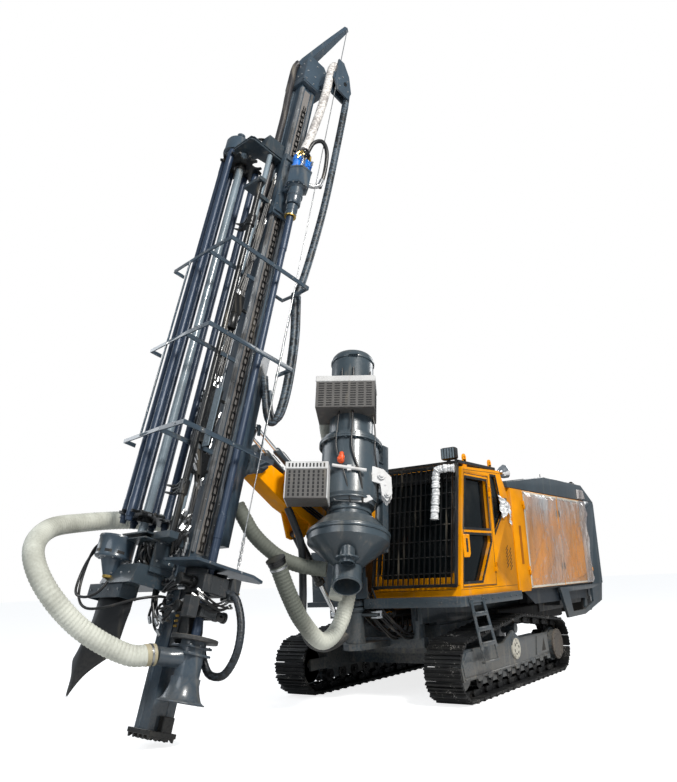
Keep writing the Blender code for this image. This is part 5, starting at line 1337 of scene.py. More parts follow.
def cylinder_ports(low, ahead, barrel, wide, out):
    """Two port blocks with elbows on the barrel, and the pipe that joins the far one."""
    low, out = np.array(low, dtype=float), np.array(out, dtype=float)
    near, far = low + ahead * 0.1, low + ahead * (barrel - 0.1)
    surfaces = []
    for place in (near, far):
        surfaces.append(bar(place + out * wide * 0.9, place + out * (wide + 0.024), 0.013, 6, rim=0.002))
    surfaces.append(tube([far + out * (wide + 0.022), far - ahead * 0.03 + out * (wide + 0.026),
                          near + ahead * 0.06 + out * (wide + 0.024)], 0.006, 8, 0.02))
    return surfaces


# Each cylinder's barrel, as its length and radius.
LIFT_SIZE, TILT_SIZE = (0.72, 0.056), (0.42, 0.041)
lift_top, lift_foot = (0.0, *LIFT_BOOM), (0.0, *LIFT_POST)
barrel, rod, ahead = cylinder(lift_top, lift_foot, *LIFT_SIZE, 0.03, 0.45)
piece("lift_barrel_shell", [barrel, *cylinder_ports(lift_top, ahead, *LIFT_SIZE, (1, 0, 0)),
                            bar((-0.053, *LIFT_BOOM), (0.053, *LIFT_BOOM), 0.046, 32)],
      "lift_barrel_body", SATIN_BLACK, ARM, instead=("lift_barrel",))
piece("lift_rod_shell", [rod, bar((-0.03, *LIFT_POST), (0.03, *LIFT_POST), 0.046, 32)], "lift_rod_body",
      CHROME, ARM, instead=("lift_rod",))
tilt_shells, tilt_rods = [], []
for x in (-0.1, 0.1):
    low, high = (x, *TILT_BOOM), (x, *TILT_HEAD)
    barrel, rod, ahead = cylinder(low, high, *TILT_SIZE, 0.021, 0.28)
    tilt_shells += [barrel, bar((x - 0.019, *TILT_BOOM), (x + 0.019, *TILT_BOOM), 0.037, 28),
                    *cylinder_ports(low, ahead, *TILT_SIZE, (0.0, 0.6, 0.8))]
    tilt_rods += [rod, bar((x - 0.019, *TILT_HEAD), (x + 0.019, *TILT_HEAD), 0.037, 28)]
piece("tilt_barrel_shells", tilt_shells, "tilt_barrel_body", FRAME_GREY, ARM,
      instead=("tilt_barrel",))
piece("tilt_rod_shells", tilt_rods, "tilt_rod_body", CHROME, ARM, instead=("tilt_rod",))

SWING_ANCHOR, SWING_EYE = (0.26, -0.62, 0.984), (0.3, 0.06, 0.97)
eye = np.array(CARRIER.inverted() @ ARM @ Vector(SWING_EYE))
anchor = np.array(SWING_ANCHOR)
ahead = (anchor - eye) / np.linalg.norm(anchor - eye)
piece("swing_barrel_shell", [turned([(0.34, 0.027), (0.34, 0.046), (0.345, 0.056), (0.4, 0.056),
                                     (0.402, 0.05), (0.5, 0.05), (0.5, 0.0)][::-1], eye, ahead, 36),
                             bar(eye + ahead * 0.4, anchor - ahead * 0.03, 0.0505, 36),
                             bar(anchor - (0, 0, 0.03), anchor + (0, 0, 0.03), 0.049, 32)],
      "swing_barrel_body", SATIN_BLACK, CARRIER, instead=("swing_barrel",))
fork = [beam(eye - ahead * 0.04 + (0, 0, side * 0.032), eye + ahead * 0.08 + (0, 0, side * 0.032), 0.084,
             0.023, rim=0.006) for side in (-1, 1)]
piece("swing_rod_shell", [bar(eye + ahead * 0.07, eye + ahead * 0.5, 0.0255, 32), *fork,
                          beam(eye + ahead * 0.055, eye + ahead * 0.085, 0.06, 0.088, rim=0.006)],
      "swing_rod_body", CHROME, CARRIER, instead=("swing_rod",))

piece("boom_plates", boom_parts(), "boom_body", YELLOW, ARM)
piece("boom_hoses", boom_hoses(), "boom_body", RUBBER, ARM)
piece("root_pin", pin_head((0.205, *ROOT_PIN), 1, 0.052, (0.6, -0.8))
      + pin_head((-0.205, *ROOT_PIN), -1, 0.052, (0.6, -0.8)), "post", BRIGHT_STEEL, ARM)


def post_parts():
    """The king pin's caps, ribs on the head box and a bolted valve block with fittings."""
    surfaces = [turned([(0.0, 0.132), (0.012, 0.132), (0.018, 0.12), (0.018, 0.0)], (0, 0, 1.245),
                       (0, 0, 1), 36),
                turned([(0.0, 0.125), (0.03, 0.15), (0.06, 0.15), (0.062, 0.12)], (0, 0, 1.0), (0, 0, 1),
                       40)]
    surfaces.append(block((-0.24, -0.16, 1.18), (-0.19, 0.02, 1.4), 0.006))
    for z in (1.22, 1.3, 1.38):
        for y in (-0.12, -0.05, 0.0):
            surfaces.append(bar((-0.24, y, z - 0.01), (-0.275, y, z - 0.01), 0.014, 6, rim=0.002))
    for x in (-0.185, 0.155):
        surfaces.append(prism([(-0.18, 1.42), (0.04, 1.42), (0.04, 1.55), (-0.05, 1.42)], "X", x, x + 0.03))
    return surfaces


piece("post_fittings", post_parts(), "post", FRAME_GREY, ARM)


def bracket_parts():
    """The swing bearing's bolted rings and the bosses of head pin and tilt lugs, in the mast's frame."""
    y, z = HEAD_PIN
    reach = MAST_REACH + y
    pin = (math.cos(LEAN) * reach - math.sin(LEAN) * z, math.sin(LEAN) * reach + math.cos(LEAN) * z)
    reach = MAST_REACH + TILT_HEAD[0]
    lug = (math.cos(LEAN) * reach - math.sin(LEAN) * TILT_HEAD[1],
           math.sin(LEAN) * reach + math.cos(LEAN) * TILT_HEAD[1])
    surfaces = [turned([(0.302, 0.212), (0.308, 0.217), (0.354, 0.217), (0.36, 0.212), (0.36, 0.09),
                        (0.302, 0.09)], (0.0, 0.0, SWING_W), (0, 1, 0), 56, ring=True),
                bolt_ring((0.0, 0.303, SWING_W), (0, -1, 0), 0.195, 20, 0.01)]
    for x in (-0.203, 0.198):
        surfaces += pin_head((x, *pin), 1 if x > 0 else -1, 0.05, (0.3, 0.95))
    for x in (-0.135, 0.135):
        surfaces += pin_head((x, *lug), 1 if x > 0 else -1, 0.03, (0.2, -0.98))
    return surfaces


piece("bracket_fittings", bracket_parts(), "bracket", FRAME_GREY, MAST)


# The dust collector: a welded hopper with a leaning wall, bolted flanges, a filter drum with a clamped dome,
# two perforated boxes, a round knocker and a dust spout. Its post and arms are bolted to the swing post.

COLLECTOR_AXIS = Vector((-0.137, 0.241, 0.961)).normalized()
COLLECTOR = (ARM @ Matrix.Translation((0.66, -0.73, 1.9))
             @ Vector((0.0, 0.0, 1.0)).rotation_difference(COLLECTOR_AXIS).to_matrix().to_4x4())
BOX_TURN = np.array(Matrix.Rotation(math.radians(40.0), 3, "Z"))


def drum():
    """Hopper, throat, lower drum, flange and upper drum in one profile turned about the collector's axis."""
    profile = [(-0.36, 0.0), (-0.36, 0.165), (-0.355, 0.175), (-0.115, 0.468), (-0.11, 0.474),
               (0.02, 0.474), (0.024, 0.468), (0.155, 0.335), (0.165, 0.33), (0.195, 0.255), (0.2, 0.2515),
               (0.33, 0.2515), (0.33, 0.3), (0.42, 0.3465), (1.095, 0.3465), (1.097, 0.3865),
               (1.116, 0.3865), (1.118, 0.383), (1.122, 0.383), (1.124, 0.3865), (1.143, 0.3865),
               (1.145, 0.3465), (1.195, 0.3465), (1.215, 0.27), (1.22, 0.2695), (2.335, 0.2695),
               (2.36, 0.264), (2.39, 0.242), (2.402, 0.2), (2.408, 0.1), (2.41, 0.0)]
    return [turned(profile, (0, 0, 0), (0, 0, 1), 72)]


def bands():
    """Rolled rings: the hopper's rim, the throat's clamp, the drum's ribs and the dome's band and lever."""
    surfaces = []
    for level, radius, high, deep in ((-0.015, 0.478, 0.034, 0.01), (0.265, 0.255, 0.045, 0.012),
                                      (0.375, 0.328, 0.02, 0.01), (1.5, 0.272, 0.014, 0.006),
                                      (2.3, 0.272, 0.036, 0.01), (1.86, 0.272, 0.014, 0.006)):
        surfaces.append(turned([(-high / 2, radius - 0.004), (-high / 2, radius + deep * 0.7),
                                (-high / 3, radius + deep), (high / 3, radius + deep),
                                (high / 2, radius + deep * 0.7), (high / 2, radius - 0.004)],
                               (0, 0, level), (0, 0, 1), 72, ring=True))
    surfaces.append(beam((0.17, -0.24, 2.3), (0.27, -0.17, 2.3), 0.022, 0.03))
    surfaces.append(bolt_ring((0, 0, 1.146), (0, 0, 1), 0.366, 20, 0.015))
    surfaces.append(bolt_ring((0, 0, 1.094), (0, 0, -1), 0.366, 20, 0.015))
    return surfaces


def spout():
    """The open pipe that leans out of the hopper's foot, its rim rolled, and the flanged pipe before it."""
    lean = (0.24, -0.26, -0.93)
    front = (0.175, -0.188)
    return [turned([(0.0, 0.162), (0.27, 0.162), (0.275, 0.171), (0.295, 0.171), (0.3, 0.163),
                    (0.31, 0.163), (0.31, 0.148), (0.0, 0.146)],
                   (-0.02, 0.02, -0.325), lean, 56, ring=True),
            turned([(-0.06, 0.086), (-0.335, 0.086), (-0.337, 0.135), (-0.352, 0.135), (-0.354, 0.086),
                    (-0.4, 0.084), (-0.4, 0.074), (-0.06, 0.074)], (*front, 0.0), (0, 0, 1), 40, ring=True),
            bolt_ring((*front, -0.337), (0, 0, 1), 0.112, 8, 0.009),
            bolt_ring((0, 0, -0.045), (0, 0, 1), 0.47, 3, 0.002, 0.6)]


def turned_box(low, high, rim):
    """A box turned with the perforated housings about the drum's axis."""
    points, faces = block(low, high, rim)
    return points @ BOX_TURN.T, faces


def slots(low, high, columns, rows, wide, tall):
    """Dark rounded slots in a grid on the box's front sheet, which is square to Y at the low corner."""
    (x0, y0, z0), (x1, _, z1) = low, high
    places = [(x0 + (x1 - x0) * (i + 0.5) / columns, y0, z0 + (z1 - z0) * (j + 0.5) / rows)
              for i in range(columns) for j in range(rows)]
    outline = [(-wide, -tall * 0.6), (-wide * 0.8, -tall), (wide * 0.8, -tall), (wide, -tall * 0.6),
               (wide, tall * 0.6), (wide * 0.8, tall), (-wide * 0.8, tall), (-wide, tall * 0.6)]
    points, faces = copies(prism(outline, "Y", -0.0012, 0.0012, 0.0003), places)
    return points @ BOX_TURN.T, faces


def side_slots(low, high, columns, rows, wide, tall):
    """The same slots on the box's other sheet, square to X at the high corner."""
    (_, y0, z0), (x1, y1, z1) = low, high
    places = [(x1, y0 + (y1 - y0) * (i + 0.5) / columns, z0 + (z1 - z0) * (j + 0.5) / rows)
              for i in range(columns) for j in range(rows)]
    outline = [(-wide, -tall), (wide, -tall), (wide, tall), (-wide, tall)]
    points, faces = copies(prism(outline, "X", -0.0012, 0.0012, 0.0003), places)
    return points @ BOX_TURN.T, faces


TOP_BOX = ((-0.41, -0.42, 1.46), (0.31, 0.05, 1.89))
SIDE_BOX = ((-0.7, -0.49, 0.27), (-0.215, -0.21, 0.71))


def brackets():
    """Plates and boxes that tie the collector to its post, and the side pipe with its flange."""
    surfaces = []
    back = 0.5216
    plate = [(-0.1, 0.3), (0.1, 0.3), (0.075, back), (-0.075, back)]
    for level in (0.6, 1.02):
        surfaces.append(prism(plate, "Z", level - 0.045, level - 0.03))
        surfaces.append(prism(plate, "Z", level + 0.03, level + 0.045))
        surfaces.append(block((-0.06, 0.2, level - 0.03), (0.06, back, level + 0.03), 0.004))
    surfaces.append(bar((-0.1, 0.1, 1.95), (-0.33, 0.2, 1.95), 0.102, 36))
    surfaces.append(bar((-0.31, 0.191, 1.95), (-0.335, 0.202, 1.95), 0.125, 36))
    return surfaces


LINK_RIGHT, LINK_AHEAD = np.array([0.73, 0.683, 0.0]), np.array([0.683, -0.73, 0.0])


def arm_plate(outline, near, far):
    """A plate square to the line from drum to front, drawn in (right, up) and set from near to far."""
    points, faces = prism(outline, "Z", near, far, 0.003)
    return points[:, :1] * LINK_RIGHT + points[:, 1:2] * (0, 0, 1) + points[:, 2:] * LINK_AHEAD, faces


def side_links():
    """Bright cut plates that join the drum to its swing arm, with round bosses, pins and bolts."""
    upper = [(0.2, 0.7), (0.27, 0.78), (0.4, 0.74), (0.49, 0.64), (0.5, 0.44), (0.44, 0.34), (0.38, 0.42),
             (0.36, 0.56), (0.22, 0.6)]
    lower = [(-0.2, 0.395), (0.24, 0.4), (0.28, 0.35), (0.2, 0.31), (-0.16, 0.33)]
    surfaces = [arm_plate(upper, 0.2, 0.222), arm_plate(upper, 0.06, 0.082), arm_plate(lower, 0.24, 0.262)]
    right, ahead = LINK_RIGHT, LINK_AHEAD
    for across_by, rise, radius in ((0.38, 0.65, 0.045), (0.45, 0.42, 0.035)):
        centre = across_by * right + (0, 0, rise)
        surfaces.append(bar(centre + 0.03 * ahead, centre + 0.245 * ahead, radius, 28))
        surfaces.append(bar(centre + 0.03 * ahead, centre + 0.262 * ahead, radius * 0.55, 24))
    for across_by, rise in ((0.26, 0.68), (0.42, 0.54), (-0.12, 0.36), (0.02, 0.36), (0.16, 0.36)):
        surfaces.append(bolts([across_by * right + (0, 0, rise) + (0.222 if rise > 0.4 else 0.262) * ahead],
                              ahead, 0.012))
    surfaces.append(bar(-0.2 * right + (0, 0, 0.72) + 0.37 * ahead,
                        0.2 * right + (0, 0, 0.66) + 0.37 * ahead, 0.02, 20))
    surfaces.append(beam((0, 0, 0.69) + 0.33 * ahead, (0, 0, 0.69) + 0.38 * ahead, 0.05, 0.07))
    return surfaces


def knocker():
    """The knockers that shake the filters loose: a domed can lying against the drum and one upright."""
    profile = [(0.0, 0.0), (0.0, 0.03), (0.004, 0.036), (0.05, 0.036), (0.058, 0.028), (0.085, 0.026),
               (0.095, 0.018), (0.098, 0.0)]
    turn = math.radians(-62.0)
    return [turned(profile, (0.365 * math.cos(turn), 0.365 * math.sin(turn), 0.78),
                   (math.cos(turn), math.sin(turn), 0.0), 32),
            turned(profile, (0.365 * math.cos(turn), 0.365 * math.sin(turn), 0.8), (0.0, 0.0, 1.0), 32)]


def collector_cables():
    """Four black cables: each runs down the drum, out round the flange and back in under it."""
    surfaces = []
    for k, turn in enumerate((-1.25, -0.75, 0.1, 1.9)):
        c, s = math.cos(turn), math.sin(turn)
        path = [(0.29 * c, 0.29 * s, 2.1), (0.3 * c, 0.3 * s, 1.7), (0.37 * c, 0.37 * s, 1.25),
                (0.375 * c, 0.375 * s, 0.95), (0.36 * math.cos(turn + 0.3), 0.36 * math.sin(turn + 0.3),
                                               0.6),
                (0.3 * math.cos(turn + 0.5), 0.3 * math.sin(turn + 0.5), 0.3)]
        surfaces.append(tube(path, 0.01 + 0.003 * (k % 2), 10, 0.03))
    return surfaces


ORANGE = paint("knocker_orange", (0.72, 0.085, 0.012), 0.4, 0.1)
piece("collector_drum", drum(), "post", PALE_GREY, COLLECTOR, 24.0, ("collector",))
piece("collector_bands", bands(), "post", PALE_GREY, COLLECTOR)
piece("collector_spout", spout(), "post", PALE_GREY, COLLECTOR)
LID_PALE = paint("lid_pale", (0.62, 0.62, 0.62), 0.4, 0.05)
SHEET_DARK = paint("sheet_dark", (0.105, 0.1, 0.096), 0.45, 0.05)
piece("collector_boxes", [turned_box(*TOP_BOX, 0.006), turned_box(*SIDE_BOX, 0.006)], "post", SHEET_DARK,
      COLLECTOR)
piece("box_lids", [turned_box((-0.416, -0.43, 1.815), (0.316, -0.395, 1.897), 0.006),
                   turned_box((-0.416, -0.42, 1.87), (0.316, 0.056, 1.897), 0.004),
                   turned_box((-0.706, -0.5, 0.625), (-0.209, -0.47, 0.717), 0.006),
                   turned_box((-0.706, -0.495, 0.69), (-0.209, -0.204, 0.717), 0.004),
                   turned_box((-0.706, -0.495, 0.27), (-0.694, -0.205, 0.7), 0.003),
                   turned_box((-0.221, -0.495, 0.27), (-0.209, -0.205, 0.7), 0.003)],
      "post", LID_PALE, COLLECTOR)
piece("box_slots", [slots((-0.39, -0.4215, 1.475), (0.29, 0.0, 1.805), 7, 10, 0.034, 0.008),
                    side_slots((0.0, -0.4, 1.475), (0.3115, 0.03, 1.805), 5, 10, 0.03, 0.008),
                    slots((-0.68, -0.4915, 0.29), (-0.235, 0.0, 0.615), 8, 7, 0.012, 0.017),
                    slots((-0.68, -0.5015, 0.635), (-0.235, 0.0, 0.705), 11, 1, 0.009, 0.024)],
      "post", DEEP_BLACK, COLLECTOR)
piece("collector_brackets", brackets(), "post", FRAME_GREY, COLLECTOR)
piece("collector_links", side_links(), "post", LID_PALE, COLLECTOR)
piece("knocker", knocker(), "post", ORANGE, COLLECTOR)
piece("collector_cables", collector_cables(), "post", RUBBER, COLLECTOR)


# The mast: a welded box beam with bright worn rails, a roller feed chain along its side, bolted doublers
# and a toothed foot. It slides in a cradle with wear pads. Bent flat bars round it guard the moving rods.

def on_mast(name, surfaces, finish, smooth=35.0, instead=()):
    """A piece that is fixed on the mast and drawn in its frame."""
    return piece(name, surfaces, "mast", finish, MAST, smooth, instead)


BEAM_U, BEAM_V, BEAM_LOW, BEAM_HIGH = 0.12, 0.13, 0.083, 8.5
CHAIN_PITCH = 0.0889
HOOPS = (2.9, 4.05, 5.18)
RAIL_LOW, RAIL_HIGH, BACK_RAIL_LOW = 1.8, 8.45, 1.2
MAST_BLUE = paint("mast_blue_grey", (0.04, 0.063, 0.088), 0.32, 0.08, 0.1, 0.12, gloss=0.45)


def worn_steel():
    """A sliding rail: bright along its run, with greased and rusty bands left across it."""
    bench = Bench("worn_rail")
    streak = bench.noise(3.0, 4.0, bench.stretched((6.0, 6.0, 0.5)))
    grease = bench.between(bench.noise(2.0, 5.0), 0.5, 0.62)
    tone = bench.mix(streak, (0.3, 0.31, 0.32), (0.5, 0.51, 0.52))
    tone = bench.mix(grease * 0.8, tone, (0.03, 0.026, 0.022))
    return bench.finish(Base_Color=tone, Metallic=0.9 - grease * 0.7, Roughness=0.28 + streak * 0.2)


def beam_body():
    """One hollowed outline carried along the mast, a doubler behind it and strips on its left side."""
    section = [(-BEAM_U, -BEAM_V), (-0.055, -BEAM_V), (-0.048, -0.118), (0.048, -0.118), (0.055, -BEAM_V),
               (BEAM_U, -BEAM_V), (BEAM_U, -0.062), (0.108, -0.055), (0.108, 0.04), (BEAM_U, 0.047),
               (BEAM_U, BEAM_V), (-BEAM_U, BEAM_V), (-BEAM_U, 0.06), (-0.108, 0.052), (-0.108, -0.052),
               (-BEAM_U, -0.06)]
    surfaces = [prism(section, "Z", BEAM_LOW, BEAM_HIGH, 0.0015),
                block((-0.15, 0.128, 1.0), (0.15, 0.151, 6.2), 0.004)]
    for w in np.arange(0.75, 8.3, 0.94):
        surfaces.append(block((-0.1235, -0.085, w - 0.09), (-0.106, 0.085, w + 0.09), 0.002))
    return surfaces


def beam_bolts():
    """Four bolts on each strip of the left side, and a row above and below the chain."""
    left = [(-0.1235, v, w + rise) for w in np.arange(0.75, 8.3, 0.94) for v in (-0.065, 0.065)
            for rise in (-0.07, 0.07)]
    side = [(0.1445, v, w) for v in (-0.1075, 0.0695) for w in np.arange(1.9, 8.4, 0.235)]
    return [bolts(left, (-1, 0, 0), 0.009), bolts(side, (1, 0, 0), 0.0065)]


def feed_chain():
    """Oval side plates and rollers, link after link; every second pair of plates sits outside the others."""
    turn = np.linspace(0.0, math.tau, 12, endpoint=False)
    oval = [(0.1265 + 0.0125 * math.cos(a), 0.0135 * math.sin(a)
             + (CHAIN_PITCH / 2 if math.sin(a) >= 0 else -CHAIN_PITCH / 2)) for a in turn]
    low = 1.88
    count = int((8.28 - low) / CHAIN_PITCH)
    inner = [(0.0, 0.0, low + CHAIN_PITCH * k) for k in range(0, count, 2)]
    outer = [(0.0, 0.0, low + CHAIN_PITCH * k) for k in range(1, count, 2)]
    surfaces = []
    for v in (-0.024, 0.008):
        surfaces.append(copies(prism(oval, "Y", v, v + 0.006, 0.001), inner))
    for v in (-0.032, 0.016):
        surfaces.append(copies(prism(oval, "Y", v, v + 0.006, 0.001), outer))
    roller = bar((0.124, -0.034, 0.0), (0.124, 0.024, 0.0), 0.009, 8, rim=0.001)
    surfaces.append(copies(roller, [(0.0, 0.0, low + CHAIN_PITCH * (k - 0.5)) for k in range(count)]))
    return surfaces


def foot():
    """The foot's plate and five saw-toothed bars that bite the rock."""
    bite = [(-0.145, 0.068), (-0.138, 0.02), (-0.095, 0.05), (-0.05, 0.018), (0.0, 0.05), (0.05, 0.018),
            (0.095, 0.05), (0.138, 0.02), (0.145, 0.068)]
    surfaces = [block((-0.2, -0.15, 0.058), (0.2, 0.15, 0.103), 0.004),
                block((0.05, -0.02, 0.09), (0.19, 0.1, 0.24), 0.006)]
    for k in range(5):
        surfaces.append(prism(bite, "X", -0.19 + 0.085 * k, -0.155 + 0.085 * k, 0.003))
    return surfaces


def guard_joints():
    """A bolt wherever a hoop of the guard crosses one of its long bars, in front and on the left side."""
    places = [(0.1, -0.835, w) for w in HOOPS] + [(-0.3, -0.823, w)
                                                  for w in HOOPS] + [(0.4, -0.843, w) for w in HOOPS]
    return [bolts(places, (0, -1, 0), 0.01), bolts([(0.558, v, w) for v in (-0.2, 0.1, -0.6)
                                                    for w in HOOPS], (1, 0, 0), 0.01)]


def cradle_parts():
    """Three bolts and a wear pad on each side of the cradle's three collars."""
    surfaces = []
    for w in (1.94, 2.55, 3.96):
        for side in (-1, 1):
            surfaces.append(bolts([(side * 0.187, 0.15, w + rise) for rise in (0.05, 0.15, 0.25)],
                                  (side, 0, 0), 0.012))
            surfaces.append(block(sorted((side * 0.128, side * 0.15))[:1] + [0.1235, w + 0.01],
                                  sorted((side * 0.128, side * 0.15))[1:] + [0.154, w + 0.29], 0.002))
    return surfaces


WORN_RAIL = worn_steel()
on_mast("beam_body", beam_body(), MAST_BLUE, instead=("feed_beam",))
on_mast("beam_rails", [block((0.11, -0.125, RAIL_LOW), (0.145, -0.09, RAIL_HIGH), 0.004),
                       block((0.11, 0.052, RAIL_LOW), (0.145, 0.087, RAIL_HIGH), 0.004),
                       block((-0.1225, -0.1325, BACK_RAIL_LOW), (-0.1, -0.1275, RAIL_HIGH), 0.0015),
                       block((0.1, -0.1325, BACK_RAIL_LOW), (0.1225, -0.1275, RAIL_HIGH), 0.0015)],
        WORN_RAIL)
on_mast("beam_bolts", beam_bolts(), BRIGHT_STEEL)
on_mast("chain_guide", [block((0.1085, -0.088, RAIL_LOW), (0.1135, 0.05, RAIL_HIGH), 0.001)],
        paint("guide_grey", (0.17, 0.16, 0.155), 0.5, 0.1, chips=0.3))
on_mast("feed_chain", feed_chain(), SATIN_BLACK)
on_mast("mast_foot", foot(), SATIN_BLACK)
eased("mast_guard", "mast", MAST_BLUE, 0.0)
eased("cradle", "cradle_body", MAST_BLUE, 0.0)
on_mast("guard_joints", guard_joints(), BRIGHT_STEEL)
piece("cradle_parts", cradle_parts(), "cradle_body", BRIGHT_STEEL, MAST)


# The drill table: a plate that steadies the rods, two hydraulic clamps with black cylinders that grip and
# break the joints, and the dust hood's ring with its elbow. Hydraulic hoses end in bright crimped ferrules.

DRILL_U, DRILL_V = 0.36, 0.0
TABLE_FACE = 0.124
brass_bench = Bench("brass_fitting")
BRASS = brass_bench.finish(Base_Color=(0.62, 0.42, 0.12), Metallic=1.0,
                           Roughness=0.24 + brass_bench.noise(60.0) * 0.2)


def holed(low, high, hole, rim=0.006):
    """A block with a square way through for the rods: two long halves and two short infills."""
    (x0, y0, z0), (x1, y1, z1) = low, high
    u, v = DRILL_U, DRILL_V
    return [block((x0, y0, z0), (x1, v - hole, z1), rim), block((x0, v + hole, z0), (x1, y1, z1), rim),
            block((x0, v - hole - 0.002, z0 + 0.002), (u - hole, v + hole + 0.002, z1 - 0.002), rim),
            block((u + hole, v - hole - 0.002, z0 + 0.002), (x1 - 0.002, v + hole + 0.002, z1 - 0.002),
                  rim)]


def clamp_cylinders():
    """Black clamp cylinders that face each other over the rods, with stepped caps and tie bolts."""
    surfaces = []
    for w, reach, radius in ((1.47, 0.34, 0.055), (1.215, 0.3, 0.05)):
        for side in (-1, 1):
            profile = [(0.075, radius), (0.16, radius), (0.165, radius * 1.16), (0.2, radius * 1.16),
                       (0.205, radius * 0.97), (reach - 0.035, radius * 0.97),
                       (reach - 0.03, radius * 1.12), (reach - 0.004, radius * 1.12), (reach, radius)]
            surfaces.append(turned(profile, (DRILL_U, 0.0, w), (0, side, 0), 32))
            surfaces.append(bolt_ring((DRILL_U, side * (reach - 0.004), w), (0, side, 0), radius * 0.75, 6,
                                      0.008))
            surfaces.append(bar((DRILL_U + radius, side * 0.22, w),
                                (DRILL_U + radius + 0.035, side * 0.22, w), 0.014, 6, rim=0.002))
    return surfaces


def table_frame():
    """The table's back plate, two clamp housings open for the rods, the hood's flange and side webs."""
    surfaces = [block((TABLE_FACE, -0.12, 0.86), (0.2, 0.088, 1.7), 0.006),
                *holed((0.195, -0.15, 1.38), (0.52, 0.15, 1.56), 0.058),
                *holed((0.195, -0.1, 1.15), (0.5, 0.1, 1.28), 0.058),
                block((0.17, -0.05, 1.27), (0.235, 0.05, 1.64), 0.004)]
    surfaces.append(turned([(0.0, 0.058), (0.0, 0.228), (0.004, 0.232), (0.036, 0.232), (0.04, 0.228),
                            (0.04, 0.058)], (DRILL_U, DRILL_V, 0.93), (0, 0, 1), 56, ring=True))
    for side in (-1, 1):
        surfaces.append(prism([(0.2, 0.97), (0.34, 0.97), (0.34, 1.03), (0.3, 1.16), (0.2, 1.16)], "Y",
                              side * 0.085 - 0.008, side * 0.085 + 0.008))
        surfaces.append(prism([(0.2, 1.56), (0.5, 1.56), (0.5, 1.6), (0.3, 1.6295), (0.2, 1.6295)], "Y",
                              side * 0.12 - 0.008, side * 0.12 + 0.008))
    surfaces.append(block((0.4, 0.16, 1.36), (0.56, 0.27, 1.58), 0.006))
    surfaces.append(block((0.42, -0.27, 1.12), (0.54, -0.16, 1.32), 0.006))
    return surfaces


WING = [(TABLE_FACE, -0.42), (0.62, -0.36), (0.62, 0.36), (0.5, 0.58), (0.42, 0.6), (0.32, 0.46),
        (0.23, 0.3), (0.2, 0.088), (TABLE_FACE, 0.088)]


def hood_ring():
    """The hood's fixed barrel, its square clamp plates and the tapered elbow that leads to the hose."""
    u, v = DRILL_U, DRILL_V
    elbow = [(u + 0.02, v + 0.02, 0.8), (u - 0.02, v - 0.06, 0.775), (u - 0.06, v - 0.18, 0.75),
             (u - 0.095, v - 0.31, 0.742)]
    return [turned([(0.57, 0.113), (0.57, 0.125), (0.95, 0.125), (0.95, 0.113)], (u, v, 0.0), (0, 0, 1), 48,
                   ring=True),
            tube(elbow, 0.086, 32, 0.02, lambda run: 1.32 - 0.32 * np.clip(run / 0.26, 0.0, 1.0)),
            block((0.18, -0.13, 0.8), (0.5, 0.13, 0.822), 0.002),
            block((0.18, -0.13, 0.868), (0.5, 0.13, 0.89), 0.002),
            block((0.17, -0.05, 0.8), (0.24, 0.05, 0.89), 0.002)]


def hood_bolts():
    """Bolts round the hood's clamp plate and on the table plate's edge."""
    places = [(u, v, 0.89) for u in (0.2, 0.48) for v in (-0.11, 0.0, 0.11)]
    return [bolts(places, (0, 0, 1), 0.01), bolts([(0.621, v, 1.645) for v in (-0.2, 0.2)], (1, 0, 0), 0.009)]


def swarm(seed, low, high, end_low, end_high, count, radius, sag, out=(0.0, 0.0, 0.0)):
    """Hoses between two boxes: each leaves a drawn place in the first and sags on its way to the second."""
    chance = np.random.default_rng(seed)
    start, end = chance.uniform(low, high, (count, 3)), chance.uniform(end_low, end_high, (count, 3))
    hoses, ends = [], []
    for a, b in zip(start, end):
        drop = sag * chance.uniform(0.6, 1.3)
        side = np.array(out) * chance.uniform(0.5, 1.2)
        path = [a, a * 0.85 + b * 0.15 + side * 0.7 - (0, 0, drop * 0.5),
                a * 0.5 + b * 0.5 + side - (0, 0, drop),
                a * 0.15 + b * 0.85 + side * 0.7 - (0, 0, drop * 0.5), b]
        hoses.append(tube(path, radius * chance.uniform(0.8, 1.2), 8, 0.035))
        for place, towards in ((a, path[1]), (b, path[3])):
            reach = 0.055 * (np.array(towards) - place) / np.linalg.norm(np.array(towards) - place)
            ends.append(bar(place - reach * 0.3, place + reach, radius * 1.45, 8, rim=0.002))
    return hoses, ends


def swarms(rows):
    """All the hoses, and all their ferrules, of several swarms: each row is what one swarm takes."""
    made = [swarm(*row) for row in rows]
    return [hose for hoses, _ in made for hose in hoses], [end for _, ends in made for end in ends]


table_hoses, table_ends = swarms([(3, (0.17, -0.24, 1.4), (0.34, -0.16, 1.52), (-0.02, -0.24, 1.3),
                                   (0.1, -0.14, 1.6), 7, 0.011, 0.1, (-0.04, -0.1, 0.0)),
                                  (4, (0.18, -0.22, 1.14), (0.34, -0.14, 1.3), (-0.02, -0.22, 1.05),
                                   (0.1, -0.14, 1.35), 7, 0.011, 0.09, (-0.04, -0.1, 0.0)),
                                  (5, (0.42, -0.2, 1.3), (0.54, -0.16, 1.4), (0.42, 0.14, 1.3),
                                   (0.54, 0.24, 1.4), 5, 0.01, 0.07, (0.07, 0.0, 0.0)),
                                  (6, (-0.16, -0.3, 1.4), (0.02, -0.14, 1.75), (-0.1, -0.3, 0.92),
                                   (0.1, -0.14, 1.2), 6, 0.012, 0.05, (-0.07, -0.05, 0.0))])
on_mast("table_frame", table_frame(), OILY_DARK, instead=("drill_table",))
on_mast("table_plate", [prism(WING, "Z", 1.63, 1.66, 0.003)], MAST_BLUE)
on_mast("clamp_cylinders", clamp_cylinders(), SATIN_BLACK)
on_mast("hood_ring", hood_ring(), MAST_BLUE, 50.0)
